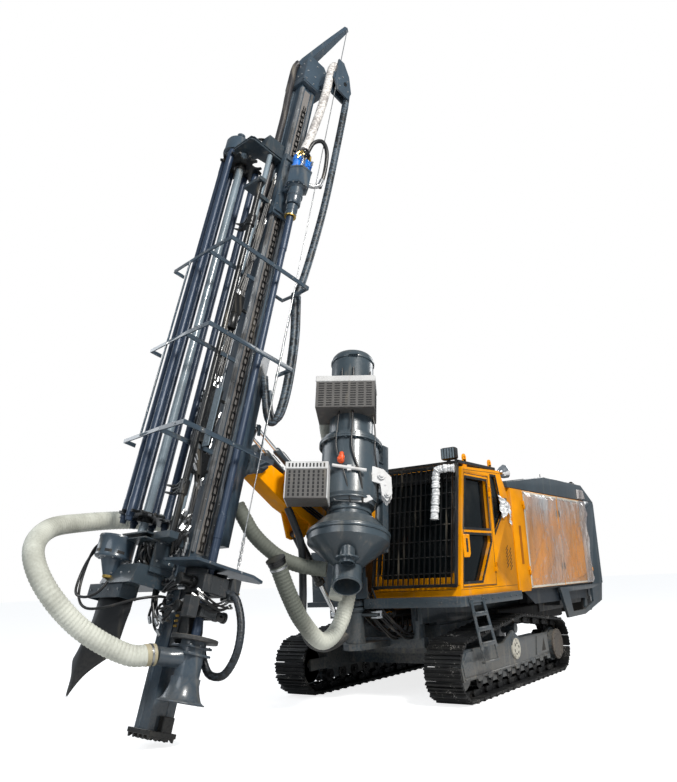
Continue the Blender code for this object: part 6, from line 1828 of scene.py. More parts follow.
on_mast("hood_bolts", hood_bolts(), BRIGHT_STEEL)
on_mast("table_hoses", table_hoses, RUBBER)
on_mast("table_hose_ends", table_ends, BRIGHT_STEEL)
valve_rows = [(0.16 + 0.03 * i, -0.135, 1.05 + 0.05 * j) for i in range(2) for j in range(3)]
on_mast("table_fittings", [bolts(valve_rows, (0, -1, 0), 0.012),
                           bolts([(0.42 + 0.04 * k, 0.272, 1.45) for k in range(4)], (0, 1, 0), 0.013)],
        BRASS)


# The suction hoses and dust hood: pale ribbed hoses on a steel coil, their ends taped and clamped, a spun
# bell round the rods that a cylinder can lift, and a black rubber chute under a folded sheet.

RIB_PITCH = 0.04


def ribs(run):
    """The hose's outline along its run: round ribs with sharp valleys between them."""
    return 0.925 + 0.075 * np.abs(np.sin(math.pi * run / RIB_PITCH)) ** 0.6


def hose_cloth(name, shade_from, shade_to):
    """Coated fabric: cream, stained in clouds, and darkened by painted shade in front of a line across the
    rig.
    """
    bench = Bench(name)
    cloud, fine = bench.noise(2.2, 5.0), bench.noise(45.0, 4.0)
    tone = bench.mix(bench.between(cloud, 0.4, 0.65), (0.6, 0.61, 0.54), (0.5, 0.51, 0.45))
    soiled = bench.between(bench.noise(1.1, 3.0), 0.45, 0.75)
    tone = bench.mix(bench.between(fine * 0.5 + cloud, 0.7, 1.0) * 0.35 + soiled * 0.25, tone,
                     (0.22, 0.21, 0.17))
    # Painted shade: in front of the line in Y the cloth turns a shaded grey-green, where the hose hangs in
    # shadow.
    painted_shade = 1.0 - bench.between(bench.part(bench.place, 1), shade_from, shade_to)
    tone = bench.mix(painted_shade, tone, (0.115, 0.125, 0.105))
    return bench.finish(Base_Color=tone, Roughness=0.62 + fine * 0.2, Normal=bench.bump(fine, 0.003, 0.5))


MAST_HOSE_PATH = [(0.258, -0.336, 0.745), (0.2, -0.6, 0.7), (0.1, -1.05, 0.83), (0.02, -1.45, 1.1),
                  (-0.2, -1.58, 1.42), (-0.55, -1.36, 1.72), (-0.85, -0.9, 1.95), (-0.88, -0.35, 2.15),
                  (-0.6, 0.06, 2.2), (-0.36, 0.19, 2.2)]
POST_HOSE_PATH = [(0.34, -1.54, 1.6), (0.33, -1.38, 1.28), (0.32, -1.18, 0.98), (0.3, -0.86, 0.74),
                  (0.3, -0.56, 0.92), (0.31, -0.36, 1.4), (0.34, -0.23, 1.85), (0.49, -0.24, 2.16)]
BACK_HOSE_PATH = [(0.06, -0.1, 3.7), (-0.05, -0.16, 3.66), (-0.1, -0.28, 3.45), (0.04, -0.36, 3.05),
                  (0.22, -0.41, 2.6), (0.29, -0.44, 2.2), (0.31, -0.5, 1.8), (0.34, -0.58, 1.45),
                  (0.37, -0.7, 1.2)]
# The clean cloth's line lies out of reach. The other two are darkened by painted shade in front of their
# lines: the boom's hose where it hangs under the boom, and the post's hose at its front end.
CREAM = hose_cloth("clean_hose", -9.0, -8.0)
SHADOWED_CREAM = hose_cloth("shadowed_hose", -2.0, -1.6)
SHADED_CREAM = hose_cloth("shaded_hose", -2.25, -1.85)


def cuff(path, radius, near, far):
    """A tape wound over the hose's end, with a screw clamp's band on it."""
    line, run = curve(path, 0.005)
    inside = line[(run >= near) & (run <= far)]
    return tube(inside[[0, len(inside) // 2, -1]], radius, 32, 0.006,
                lambda run: 1.0 + 0.012 * np.sin(run * 90.0))


hose_length = curve(MAST_HOSE_PATH, 0.01)[1][-1]
on_mast("mast_suction_hose", [tube(MAST_HOSE_PATH, 0.099, 30, RIB_PITCH / 4, ribs)], CREAM, 60.0,
        ("hose_mast",))
piece("post_suction_hose", [tube(POST_HOSE_PATH, 0.096, 30, RIB_PITCH / 4, ribs)], "post", SHADED_CREAM,
      ARM, 60.0, ("hose_post",))
piece("back_suction_hose", [tube(BACK_HOSE_PATH, 0.082, 26, RIB_PITCH / 4, ribs)], "post", CREAM,
      ARM, 60.0)
on_mast("hose_cuffs", [cuff(MAST_HOSE_PATH, 0.1005, 0.0, 0.1),
                       cuff(MAST_HOSE_PATH, 0.1005, hose_length - 0.1, hose_length)],
        paint("cuff_tape", (0.52, 0.46, 0.3), 0.5, 0.2))
on_mast("hose_clamps", [cuff(MAST_HOSE_PATH, 0.103, 0.03, 0.055),
                        cuff(MAST_HOSE_PATH, 0.103, hose_length - 0.06, hose_length - 0.035),
                        beam((-0.5, 0.1, 2.2), (-0.123, 0.1, 2.2), 0.05, 0.012),
                        *[beam((x, 0.1, 2.2), (x, 0.02, 2.2), 0.05, 0.012) for x in (-0.48, -0.36)]],
        BRIGHT_STEEL)
BOOM_HOSE_PATH = [(-0.03, -1.8, 2.28), (0.04, -1.74, 2.1), (0.07, -1.66, 1.96), (0.1, -1.52, 1.82),
                  (0.16, -1.34, 1.68), (0.27, -1.15, 1.59), (0.38, -1.0, 1.55), (0.47, -0.92, 1.53)]
BOOM_CABLE_PATH = [(0.1, -1.16, 2.26), (0.13, -1.08, 2.05), (0.17, -1.02, 1.8), (0.16, -1.01, 1.31),
                   (0.13, -1.0, 0.95), (0.1, -0.88, 0.73), (0.08, -0.66, 0.64), (0.06, -0.42, 0.66),
                   (0.05, -0.22, 0.74)]
FROM_POST = ("post", "boom_body", tuple(ARM @ Vector((0.2, -0.9, 1.2))),
             tuple(ARM @ Vector((0.1, -1.4, 2.2))))
piece("boom_suction_hose", [tube(BOOM_HOSE_PATH, 0.086, 26, RIB_PITCH / 4, ribs)], FROM_POST, SHADOWED_CREAM,
      ARM, 60.0)
piece("boom_cable", [tube(BOOM_CABLE_PATH, 0.045, 20, 0.02)], FROM_POST, OILY_DARK, ARM, 60.0)
piece("post_hose_end", [turned([(0.0, 0.088), (0.0, 0.099), (0.02, 0.104), (0.05, 0.104), (0.055, 0.112),
                                (0.075, 0.112), (0.08, 0.0)],
                               POST_HOSE_PATH[0], np.array(POST_HOSE_PATH[0]) - np.array(POST_HOSE_PATH[1]),
                               40)], "post", SATIN_BLACK, ARM)
piece("post_hose_clamps", [cuff(POST_HOSE_PATH, 0.1, 0.02, 0.05),
                           block((0.184, -0.34, 1.48), (0.31, -0.15, 1.54), 0.004)],
      "post", BRIGHT_STEEL, ARM)


def bell():
    """The spun bell: a collar, a flared skirt and a rolled lip."""
    profile = [(0.6, 0.1275), (0.6, 0.141), (0.54, 0.141), (0.5, 0.15), (0.45, 0.168), (0.41, 0.186),
               (0.39, 0.206), (0.383, 0.226), (0.376, 0.228), (0.372, 0.226), (0.372, 0.205),
               (0.385, 0.195), (0.44, 0.163), (0.5, 0.139), (0.53, 0.1275)]
    return [turned(profile, (DRILL_U, DRILL_V, 0.0), (0, 0, 1), 64, ring=True)]


def chute():
    """A folded rubber chute: its left and right edges follow the cut, and it folds back from a crease."""
    down, side = np.meshgrid(np.linspace(0.0, 1.0, 40), np.linspace(-1.0, 1.0, 21), indexing="ij")
    left = np.interp(down, [0.0, 0.5, 0.8, 1.0], [-0.82, -0.92, -0.975, -0.9])
    right = np.interp(down, [0.0, 0.22, 0.6, 0.9, 1.0], [-0.2, -0.16, -0.24, -0.36, -0.46])
    crease = 0.55 * left + 0.45 * right
    u = np.where(side < 0, crease + (crease - left) * side, crease + (right - crease) * side)
    w = 1.356 - 1.1 * down + down ** 3 * np.where(side < 0, -0.3 * side, 0.36 * side)
    v = -0.615 + 0.16 * np.abs(side) ** 1.4 * (1.0 - 0.35 * down) + 0.012 * np.sin(down * 9.0 + side * 2.5)
    front = np.stack([u, v, w], axis=-1)
    back = front + (0.0, 0.012, 0.0)
    return [grid(np.concatenate([front, back[:, ::-1]], axis=1))]


piece("dust_bell", bell(), "hood", MAST_BLUE, MAST, instead=("hood_bell",))
hung = on_mast("dust_chute", chute(), RUBBER, 60.0, ("rubber_flap",))
sheet = [(-0.82, -0.635), (-0.16, -0.635), (-0.16, -0.44), (-0.166, -0.44), (-0.166, -0.629),
         (-0.814, -0.629), (-0.814, -0.46), (-0.82, -0.46)]
on_mast("chute_sheet", [prism(sheet, "Z", 1.22, 1.36, 0.001),
                        prism([(-0.82, -0.634), (-0.16, -0.634), (-0.16, -0.44), (-0.82, -0.46)], "Z",
                              1.354, 1.362, 0.001)], FRAME_GREY)
on_mast("chute_bolts", [bolts([(u, -0.636, 1.3) for u in (-0.76, -0.6, -0.4, -0.22)], (0, -1, 0), 0.01)],
        BRIGHT_STEEL)


# The rod magazine: two star wheels on a shaft hold long drill rods in their notches, turned by a motor under
# the lower drum. Cut plates carry it on the beam, and a second shaft swings the arms that pass a rod over.

MAG_U, MAG_V, MAG_LOW, MAG_HIGH, ROD_R = -0.25, -0.52, 2.05, 6.85, 0.045
STAR_ARMS, ROD_CIRCLE = 7, 0.22
ARM_U, ARM_V, ARM_LOW, ARM_HIGH = 0.3, -0.5, 1.886, 6.334
COVER_AXIS, MOTOR_AXIS = (-0.42, -0.54), (-0.47, -0.64)


def rod_blue():
    """Rolled tube in dark blue mill paint, scratched along its run, bright where the arms grip it."""
    bench = Bench("rod_blue")
    run = bench.noise(2.0, 5.0, bench.stretched((14.0, 14.0, 0.8)))
    fine = bench.noise(60.0, 4.0)
    tone = bench.mix(run, (0.008, 0.02, 0.048), (0.022, 0.042, 0.078))
    scratch = bench.between(run * 0.7 + fine * 0.5, 0.72, 0.8)
    tone = bench.mix(scratch * 0.5, tone, (0.2, 0.23, 0.27))
    return bench.finish(Base_Color=tone, Metallic=0.2 + scratch * 0.4, Roughness=0.34 + fine * 0.25,
                        Coat_Weight=0.15, Coat_Roughness=0.3)


ROD_BLUE = rod_blue()
PIPE_PALE = paint("pipe_pale", (0.19, 0.24, 0.28), 0.26, 0.06, 0.0, 0.05, gloss=0.6)


def star(level, thick):
    """A star wheel: seven arms of two fingers each, with a deep round notch for a rod between the fingers."""
    finger = [(0.272, -0.078), (0.268, -0.052), (0.222, -0.051), (0.19, -0.038), (0.171, 0.0),
              (0.19, 0.038), (0.222, 0.051), (0.268, 0.052), (0.272, 0.078), (0.215, 0.086), (0.15, 0.066)]
    outline = []
    for k in range(STAR_ARMS):
        turn = math.tau * (k + 0.5) / STAR_ARMS
        c, s = math.cos(turn), math.sin(turn)
        outline += [(MAG_U + a * c - b * s, MAG_V + a * s + b * c) for a, b in finger[:-1]]
    surfaces = [prism(outline, "Z", level, level + thick, 0.002)]
    surfaces.append(turned([(-0.04, 0.075), (-0.035, 0.082), (0.065, 0.082), (0.07, 0.075)],
                           (MAG_U, MAG_V, level), (0, 0, 1), 32))
    surfaces.append(bolt_ring((MAG_U, MAG_V, level), (0, 0, -1), 0.105, STAR_ARMS, 0.009))
    return surfaces


def stored_rods():
    """Rods with an upset box end, a body and a tapered threaded pin."""
    low, high = MAG_LOW - 0.08, MAG_HIGH + 0.12
    profile = [(low, 0.026), (low + 0.002, 0.031), (low + 0.045, 0.036), (low + 0.048, ROD_R),
               (low + 0.25, ROD_R), (low + 0.255, ROD_R - 0.003), (high - 0.3, ROD_R - 0.003),
               (high - 0.295, ROD_R), (high - 0.05, ROD_R), (high - 0.047, 0.036), (high - 0.002, 0.031),
               (high, 0.026)]
    surfaces = []
    for k in (1, 2, 3, 4, 5):
        turn = math.tau * (k + 0.5) / STAR_ARMS
        place = (MAG_U + ROD_CIRCLE * math.cos(turn), MAG_V + ROD_CIRCLE * math.sin(turn), 0.0)
        surfaces.append(turned(profile, place, (0, 0, 1), 28))
    return surfaces


def mount_plates():
    """The cut plates above and below, their gussets, the arm shaft's lugs and the sloped foot sheet."""
    top = [(-0.55, -0.62), (-0.5, -0.66), (0.05, -0.66), (0.08, -0.62), (0.08, -0.134), (-0.12, -0.134),
           (-0.16, -0.36), (-0.55, -0.44)]
    low = [(-0.4, -0.655), (0.08, -0.655), (0.08, -0.134), (-0.1, -0.134), (-0.14, -0.36), (-0.4, -0.46)]
    lug = [(0.03, -0.134), (0.09, -0.134), (0.1, -0.38), (0.36, -0.46), (0.36, -0.56), (0.03, -0.56)]
    surfaces = [prism(top, "Z", 7.085, 7.105, 0.002), prism(top, "Z", 7.125, 7.14, 0.002),
                prism(low, "Z", 1.8, 1.815, 0.002), prism(low, "Z", 1.852, 1.87, 0.002),
                prism(lug, "Z", ARM_LOW - 0.071, ARM_LOW - 0.003, 0.002),
                prism(lug, "Z", ARM_HIGH + 0.003, ARM_HIGH + 0.056, 0.002)]
    for x in (-0.5, -0.2, 0.06):
        surfaces.append(block((x - 0.008, -0.6, 7.1), (x + 0.008, -0.38, 7.13), 0.001))
    surfaces += [block((-0.1, -0.4, 7.14), (0.07, -0.134, 7.36), 0.008),
                 block((-0.3, -0.5, 1.5), (0.06, -0.24, 1.56), 0.004),
                 block((-0.3, -0.5, 1.56), (-0.28, -0.24, 1.86), 0.002),
                 block((0.03, -0.5, 1.56), (0.06, -0.24, 1.86), 0.003)]
    cheek = [(-0.66, 1.36), (-0.25, 1.36), (-0.25, 1.56), (-0.6, 1.56)]
    front = [(-0.66, 1.36), (-0.654, 1.36), (-0.594, 1.56), (-0.6, 1.56)]
    floor = [(-0.66, 1.362), (-0.25, 1.362), (-0.25, 1.374), (-0.655, 1.374)]
    surfaces += [prism(cheek, "X", -0.58, -0.57), prism(cheek, "X", 0.01, 0.02),
                 prism(front, "X", -0.575, 0.015, 0.001), prism(floor, "X", -0.575, 0.015, 0.001)]
    return surfaces


def drums():
    """The upper cover drum with its stub, and the lower drive drum with slots over a coned motor."""
    return [turned([(7.135, 0.176), (7.16, 0.176), (7.162, 0.168), (7.33, 0.168), (7.352, 0.158),
                    (7.36, 0.13), (7.362, 0.0)], (*COVER_AXIS, 0), (0, 0, 1), 48),
            turned([(7.34, 0.062), (7.36, 0.062), (7.37, 0.045), (7.46, 0.045), (7.47, 0.055),
                    (7.495, 0.055), (7.5, 0.04), (7.5, 0.0)], (*COVER_AXIS, 0), (0, 0, 1), 24),
            turned([(1.605, 0.0), (1.605, 0.19), (1.62, 0.196), (1.635, 0.19), (1.8, 0.19), (1.815, 0.196),
                    (1.835, 0.19), (1.838, 0.17)], (*MOTOR_AXIS, 0), (0, 0, 1), 56),
            turned([(1.42, 0.0), (1.42, 0.056), (1.44, 0.062), (1.45, 0.066), (1.59, 0.122), (1.605, 0.145),
                    (1.62, 0.145)], (*MOTOR_AXIS, 0), (0, 0, 1), 40)]


def drum_slots():
    """Dark slots near the lower drum's foot, each a short bent plate that follows the drum."""
    u, v = MOTOR_AXIS
    surfaces = []
    for k in range(5):
        turn = math.radians(-170.0 + 40.0 * k)
        arc = np.linspace(turn - 0.2, turn + 0.2, 7)
        outer = [(u + 0.1915 * math.cos(a), v + 0.1915 * math.sin(a)) for a in arc]
        inner = [(u + 0.185 * math.cos(a), v + 0.185 * math.sin(a)) for a in arc[::-1]]
        surfaces.append(prism(outer + inner, "Z", 1.645, 1.675, 0.0005))
    return surfaces


def mount_hardware():
    """Bolts of the motor's flange, the top plate, the lower bracket and the sloped sheet."""
    ring = ring_places((*MOTOR_AXIS, 1.605), (0, 0, -1), 0.168, 12)
    top = [(u, v, 7.14) for u, v in ((-0.52, -0.63), (-0.52, -0.47), (-0.28, -0.64), (-0.1, -0.62),
                                     (0.05, -0.62), (0.05, -0.45))]
    side = [(0.061, v, w) for v in (-0.45, -0.3) for w in (1.62, 1.8)]
    return [bolts(ring, (0, 0, -1), 0.01), bolts(top, (0, 0, 1), 0.011), bolts(side, (1, 0, 0), 0.011),
            bolts([(u, -0.655, 1.46) for u in (-0.53, -0.4, -0.2, -0.05)], (0, -1, 0.3), 0.01)]


def rod_arm_parts():
    """The arm shaft with clamped hubs, and at two heights a forked gripper with a small cylinder."""
    surfaces = [turned([(ARM_LOW, 0.031), (ARM_LOW + 0.004, 0.035), (ARM_HIGH - 0.004, 0.035),
                        (ARM_HIGH, 0.031)], (ARM_U, ARM_V, 0), (0, 0, 1), 32)]
    jaw = [(ARM_U - 0.26, ARM_V - 0.045), (ARM_U - 0.235, ARM_V + 0.03), (ARM_U - 0.2, ARM_V + 0.05),
           (ARM_U + 0.02, ARM_V + 0.05), (ARM_U + 0.05, ARM_V + 0.02), (ARM_U + 0.05, ARM_V - 0.03),
           (ARM_U, ARM_V - 0.06), (ARM_U - 0.08, ARM_V - 0.03), (ARM_U - 0.16, ARM_V + 0.0),
           (ARM_U - 0.215, ARM_V - 0.01)]
    for w in (2.3, 5.7):
        surfaces.append(prism(jaw, "Z", w, w + 0.022, 0.003))
        surfaces.append(prism(jaw, "Z", w + 0.078, w + 0.1, 0.003))
        surfaces.append(turned([(w - 0.03, 0.045), (w - 0.025, 0.053), (w + 0.125, 0.053),
                                (w + 0.13, 0.045)], (ARM_U, ARM_V, 0), (0, 0, 1), 32))
        surfaces.append(bar((ARM_U - 0.2, ARM_V + 0.01, w + 0.05), (ARM_U - 0.03, ARM_V + 0.005, w + 0.05),
                            0.022, 20))
        surfaces.append(bolts([(ARM_U - 0.22, ARM_V + 0.02, w + 0.1), (ARM_U - 0.03, ARM_V, w + 0.1)],
                              (0, 0, 1), 0.012))
    return surfaces


piece("star_wheels", star(MAG_LOW, 0.03) + star(MAG_HIGH, 0.03), "carousel", SATIN_BLACK, MAST)
piece("magazine_shaft", [bar((MAG_U, MAG_V, 1.873), (MAG_U, MAG_V, 7.077), 0.048, 32)], "carousel",
      PIPE_PALE, MAST)
piece("stored_rods", stored_rods(), "carousel", ROD_BLUE, MAST, instead=("magazine",))
on_mast("mount_plates", mount_plates(), FRAME_GREY, instead=("magazine_mount",))
on_mast("magazine_drums", drums(), MAST_BLUE)
on_mast("drum_slots", drum_slots(), DEEP_BLACK)
motor_rim = [(1.412, 0.03), (1.412, 0.058), (1.42, 0.062), (1.436, 0.062), (1.436, 0.03)]
on_mast("motor_flange", [turned(motor_rim, (*MOTOR_AXIS, 0), (0, 0, 1), 32, ring=True),
                         bolt_ring((*MOTOR_AXIS, 1.414), (0, 0, -1), 0.045, 6, 0.007)], BRASS)
on_mast("mount_hardware", mount_hardware(), BRIGHT_STEEL)
on_mast("mount_pipe", [bar((0.03, -0.3, 1.84), (0.03, -0.3, 7.1), 0.035, 28)], PIPE_PALE)
piece("rod_arm_parts", rod_arm_parts(), "loader", SATIN_BLACK, MAST, instead=("rod_arms",))


def valve_bank():
    """A bank of valve sections on a bracket between the magazine and the beam, with plugs on their faces."""
    surfaces = [block((0.115, -0.42, 2.95), (0.13, -0.2, 3.62), 0.002)]
    for k in range(9):
        low = 3.02 + 0.062 * k
        surfaces.append(block((0.025, -0.38, low), (0.115, -0.24, low + 0.054), 0.004))
        surfaces.append(bar((0.055, -0.38, low + 0.027), (0.055, -0.415, low + 0.027), 0.015, 12))
        surfaces.append(bar((0.095, -0.38, low + 0.027), (0.095, -0.405, low + 0.027), 0.012, 6))
    surfaces.append(block((0.04, -0.32, 2.6), (0.11, -0.16, 2.86), 0.006))
    surfaces.append(block((0.05, -0.36, 4.6), (0.14, -0.22, 4.86), 0.008))
    surfaces.append(turned([(4.4, 0.05), (4.42, 0.062), (4.58, 0.062), (4.6, 0.05)], (0.095, -0.29, 0),
                           (0, 0, 1), 28))
    for w in (2.66, 3.1, 3.5, 4.7):
        surfaces.append(block((0.07, -0.26, w), (0.1, -0.128, w + 0.03), 0.002))
    return surfaces


def valve_plate():
    """A plate beside the bank on two straps, with a row of bolts down it."""
    return [beam((0.185, -0.3, 2.9), (0.185, -0.3, 3.6), 0.11, 0.012, up=(0, 1, 0)),
            block((0.125, -0.295, 3.0), (0.2, -0.28, 3.04), 0.001),
            block((0.125, -0.295, 3.46), (0.2, -0.28, 3.5), 0.001),
            bolts([(0.185, -0.307, w) for w in np.arange(2.95, 3.6, 0.09)], (0, -1, 0), 0.007)]


bank_hoses, bank_ends = swarms([(11, (0.03, -0.4, 3.05), (0.1, -0.36, 3.55), (0.04, -0.22, 2.47),
                                 (0.1, -0.15, 2.62), 12, 0.01, 0.05, (0.02, -0.03, 0.0)),
                                (12, (0.04, -0.38, 3.6), (0.1, -0.24, 3.75), (0.04, -0.17, 6.0),
                                 (0.08, -0.15, 6.9), 11, 0.011, 0.0, (0.01, -0.01, 0.0)),
                                (13, (0.04, -0.3, 2.05), (0.1, -0.2, 2.2), (0.05, -0.34, 1.9),
                                 (0.11, -0.2, 2.0), 10, 0.011, 0.0, (0.01, -0.04, 0.0)),
                                (14, (-0.24, -0.52, 1.79), (0.0, -0.4, 1.79), (-0.24, -0.52, 1.57),
                                 (0.0, -0.3, 1.58), 10, 0.011, 0.0, (0.02, -0.12, 0.0)),
                                (15, (-0.1, -0.36, 7.3), (0.05, -0.2, 7.36), (-0.3, -0.62, 7.145),
                                 (-0.2, -0.5, 7.15), 5, 0.012, -0.12, (0.0, -0.03, 0.0)),
                                (16, (-0.53, -0.64, 7.15), (-0.48, -0.6, 7.2), (-0.54, -0.56, 7.15),
                                 (-0.5, -0.48, 7.2), 5, 0.01, -0.06, (-0.03, -0.03, 0.0)),
                                (17, (0.06, -0.34, 4.85), (0.12, -0.24, 4.88), (0.05, -0.22, 5.4),
                                 (0.09, -0.18, 5.58), 5, 0.012, 0.0, (0.03, -0.03, 0.0)),
                                (18, (0.04, -0.19, 2.6), (0.1, -0.15, 3.4), (0.04, -0.19, 1.75),
                                 (0.11, -0.15, 1.95), 8, 0.011, 0.0, (0.0, -0.05, 0.0)),
                                (19, (0.12, -0.4, 1.95), (0.2, -0.24, 2.1), (0.02, -0.3, 1.66),
                                 (0.08, -0.2, 1.8), 8, 0.011, 0.05, (0.05, -0.08, 0.0)),
                                (20, (0.05, -0.42, 3.0), (0.1, -0.4, 3.55), (0.12, -0.44, 2.62),
                                 (0.18, -0.3, 2.8), 8, 0.009, 0.04, (0.05, -0.05, 0.0))])
on_mast("valve_bank", valve_bank(), SATIN_BLACK)
on_mast("valve_plate", valve_plate(), PIPE_PALE)
on_mast("valve_coil", [block((0.04, -0.375, 2.68), (0.09, -0.318, 2.76), 0.008),
                       block((0.04, -0.375, 2.78), (0.09, -0.318, 2.84), 0.008)],
        paint("coil_blue", (0.01, 0.08, 0.45), 0.3, 0.0))
on_mast("bank_hoses", bank_hoses, RUBBER)
on_mast("bank_hose_ends", bank_ends, BRIGHT_STEEL)
brass_places = [(0.095, -0.406, 3.047 + 0.062 * k) for k in range(9)] + [(0.06 + 0.03 * k, -0.361, 4.7)
                                                                         for k in range(3)]
on_mast("bank_fittings", [bolts(brass_places, (0, -1, 0), 0.009)], BRASS)
motor_hoses = [[(-0.6, -0.7, 1.8), (-0.7, -0.76, 1.7), (-0.74, -0.78, 1.45), (-0.66, -0.8, 1.2),
                (-0.45, -0.8, 1.08), (-0.22, -0.72, 1.1), (-0.05, -0.52, 1.22), (0.02, -0.3, 1.3),
                (0.04, -0.16, 1.3)],
               [(-0.62, -0.7, 1.78), (-0.74, -0.76, 1.62), (-0.76, -0.8, 1.4), (-0.66, -0.84, 1.22),
                (-0.48, -0.82, 1.18), (-0.36, -0.76, 1.24), (-0.34, -0.7, 1.36)]]
on_mast("motor_hoses", [tube(path, 0.014, 12, 0.03) for path in motor_hoses], RUBBER)


# The rotary head: a cast gearbox on a saddle that the feed chain pulls along the rails, with two bright blue
# hydraulic motors, a bearing housing, a swivel with a gold ring, and the drill string screwed into it.

HEAD_LOW = 6.18
MOTOR_BLUE = paint("motor_blue", (0.004, 0.16, 0.62), 0.28, 0.03, gloss=0.5)


def gearbox():
    """A six-sided casting with a lid, a bolted flange and the round bearing housing under it."""
    u, v, w = DRILL_U, DRILL_V, HEAD_LOW
    surfaces = []
    for low, high, radius in ((0.42, 0.64, 0.162), (0.64, 0.67, 0.17), (0.4, 0.42, 0.168)):
        surfaces.append(turned([(w + low, radius - 0.006), (w + low + 0.006, radius),
                                (w + high - 0.006, radius), (w + high, radius - 0.006)],
                               (u, v, 0), (0, 0, 1), 6))
    surfaces.append(turned([(w + 0.12, 0.07), (w + 0.12, 0.088), (w + 0.13, 0.095), (w + 0.24, 0.095),
                            (w + 0.25, 0.104), (w + 0.28, 0.104), (w + 0.29, 0.095), (w + 0.37, 0.095),
                            (w + 0.39, 0.125), (w + 0.42, 0.125)], (u, v, 0), (0, 0, 1), 44))
    surfaces.append(block((0.18, -0.09, w + 0.36), (0.3, 0.09, w + 0.7), 0.012))
    saddle = [(0.148, -0.134), (0.148, 0.09), (0.128, 0.093), (0.128, 0.118), (0.19, 0.118), (0.19, -0.163),
              (0.107, -0.163), (0.107, -0.137)]
    surfaces.append(prism(saddle, "Z", w, w + 0.98, 0.003))
    for level in (0.04, 0.88):
        surfaces.append(block((0.185, -0.15, w + level), (0.215, 0.105, w + level + 0.06), 0.004))
    surfaces.append(prism([(0.19, w + 0.7), (0.3, w + 0.7), (0.19, w + 0.86)], "Y", -0.012, 0.012))
    surfaces.append(prism([(0.19, w + 0.36), (0.28, w + 0.36), (0.19, w + 0.2)], "Y", -0.012, 0.012))
    return surfaces


def motors():
    """Two motors side by side: a stepped profile turned about each axis, and a port block."""
    surfaces = []
    for side in (-1, 1):
        place = (DRILL_U + 0.004, side * 0.085, 0.0)
        w = HEAD_LOW
        surfaces.append(turned([(w + 0.665, 0.04), (w + 0.665, 0.066), (w + 0.69, 0.066), (w + 0.7, 0.052),
                                (w + 0.78, 0.052), (w + 0.79, 0.062), (w + 0.86, 0.062), (w + 0.875, 0.054),
                                (w + 0.915, 0.05), (w + 0.92, 0.0)], place, (0, 0, 1), 28))
        surfaces.append(block((DRILL_U - 0.03, side * 0.085 - 0.035, w + 0.79),
                              (DRILL_U + 0.076, side * 0.085 + 0.035, w + 0.87), 0.006))
    return surfaces


def head_bolts():
    """Rings of bolts on the lid, the flange and the bearing housing, and two rows down the saddle."""
    u, v, w = DRILL_U, DRILL_V, HEAD_LOW
    return [bolt_ring((u, v, w + 0.67), (0, 0, 1), 0.138, 12, 0.01),
            bolt_ring((u, v, w + 0.4), (0, 0, -1), 0.138, 12, 0.009),
            bolt_ring((u, v, w + 0.285), (0, 0, 1), 0.099, 12, 0.006),
            bolts([(0.191, y, w + z) for y in (-0.13, 0.09) for z in (0.15, 0.3, 0.55, 0.78)], (1, 0, 0),
                  0.01)]


def swivel_parts():
    """Pipes on the head: the air swivel over the lid, the side arm's bend and ports on the motors."""
    u, v, w = DRILL_U, DRILL_V, HEAD_LOW
    surfaces = [turned([(w + 0.62, 0.046), (w + 0.8, 0.046), (w + 0.805, 0.058), (w + 0.84, 0.058),
                        (w + 0.845, 0.044), (w + 1.03, 0.044), (w + 1.04, 0.05), (w + 1.05, 0.046)],
                       (u - 0.02, v, 0), (0, 0, 1), 28)]
    surfaces.append(tube([(u + 0.05, v + 0.04, w + 0.5), (u + 0.12, v + 0.14, w + 0.48),
                          (u + 0.16, v + 0.22, w + 0.53), (u + 0.165, v + 0.25, w + 0.64)],
                         0.03, 20, 0.015))
    for y in (-0.085, 0.085):
        for z in (0.81, 0.85):
            surfaces.append(bar((u + 0.07, y, w + z), (u + 0.115, y, w + z), 0.015, 6, rim=0.002))
    return surfaces


def string_parts():
    """The string: a collar in the housing, a bolted coupling, and rods with a joint every few metres."""
    w = HEAD_LOW
    u, v = DRILL_U, DRILL_V
    rods = [turned([(0.42, 0.034), (0.425, 0.045), (1.95, 0.045), (1.955, 0.049), (2.2, 0.049),
                    (2.205, 0.043), (5.6, 0.043), (5.605, 0.049), (6.12, 0.049), (6.125, 0.045),
                    (w + 0.05, 0.045)], (u, v, 0), (0, 0, 1), 32)]
    collar = [turned([(w - 0.065, 0.05), (w - 0.062, 0.073), (w - 0.02, 0.075), (w - 0.015, 0.069),
                      (w + 0.02, 0.069), (w + 0.025, 0.075), (w + 0.105, 0.075), (w + 0.11, 0.06),
                      (w + 0.16, 0.06)], (u, v, 0), (0, 0, 1), 36)]
    gold = [turned([(w - 0.07, 0.05), (w - 0.07, 0.074), (w - 0.066, 0.0765), (w - 0.052, 0.0765),
                    (w - 0.048, 0.072), (w - 0.048, 0.05)], (u, v, 0), (0, 0, 1), 36, ring=True)]
    return rods, collar, gold


rods, collar, gold = string_parts()
piece("head_gearbox", gearbox(), "head", MAST_BLUE, MAST, instead=("rotary_head",))
piece("head_motors", motors(), "head", MOTOR_BLUE, MAST)
piece("head_bolts", head_bolts(), "head", BRIGHT_STEEL, MAST)
piece("head_pipes", swivel_parts(), "head", BRIGHT_STEEL, MAST)
piece("string_rods", rods, "string", ROD_BLUE, MAST, instead=("drill_string",))
piece("string_collar", collar, "string", MAST_BLUE, MAST)
piece("string_ring", gold, "string", BRASS, MAST)
head_hoses, head_ends = swarm(21, (0.34, -0.14, 6.98), (0.44, -0.05, 7.06), (0.3, 0.05, 7.05),
                              (0.42, 0.13, 7.12), 6, 0.011, -0.1, (0.05, 0.0, 0.0))
piece("head_hoses", head_hoses, "head", RUBBER, MAST)
piece("head_hose_ends", head_ends, "head", BRASS, MAST)


# The mast head: bolted side plates with the chain's sheave, a welded jib for the winch rope, and guide wheels
# over which wrapped hoses run. The rope is wire with a hook and chain; the hoses are crimped to steel ends.

JIB_ROOT, JIB_TIP = (-0.02, -0.12, 8.93), (0.46, 0.19, 9.7)


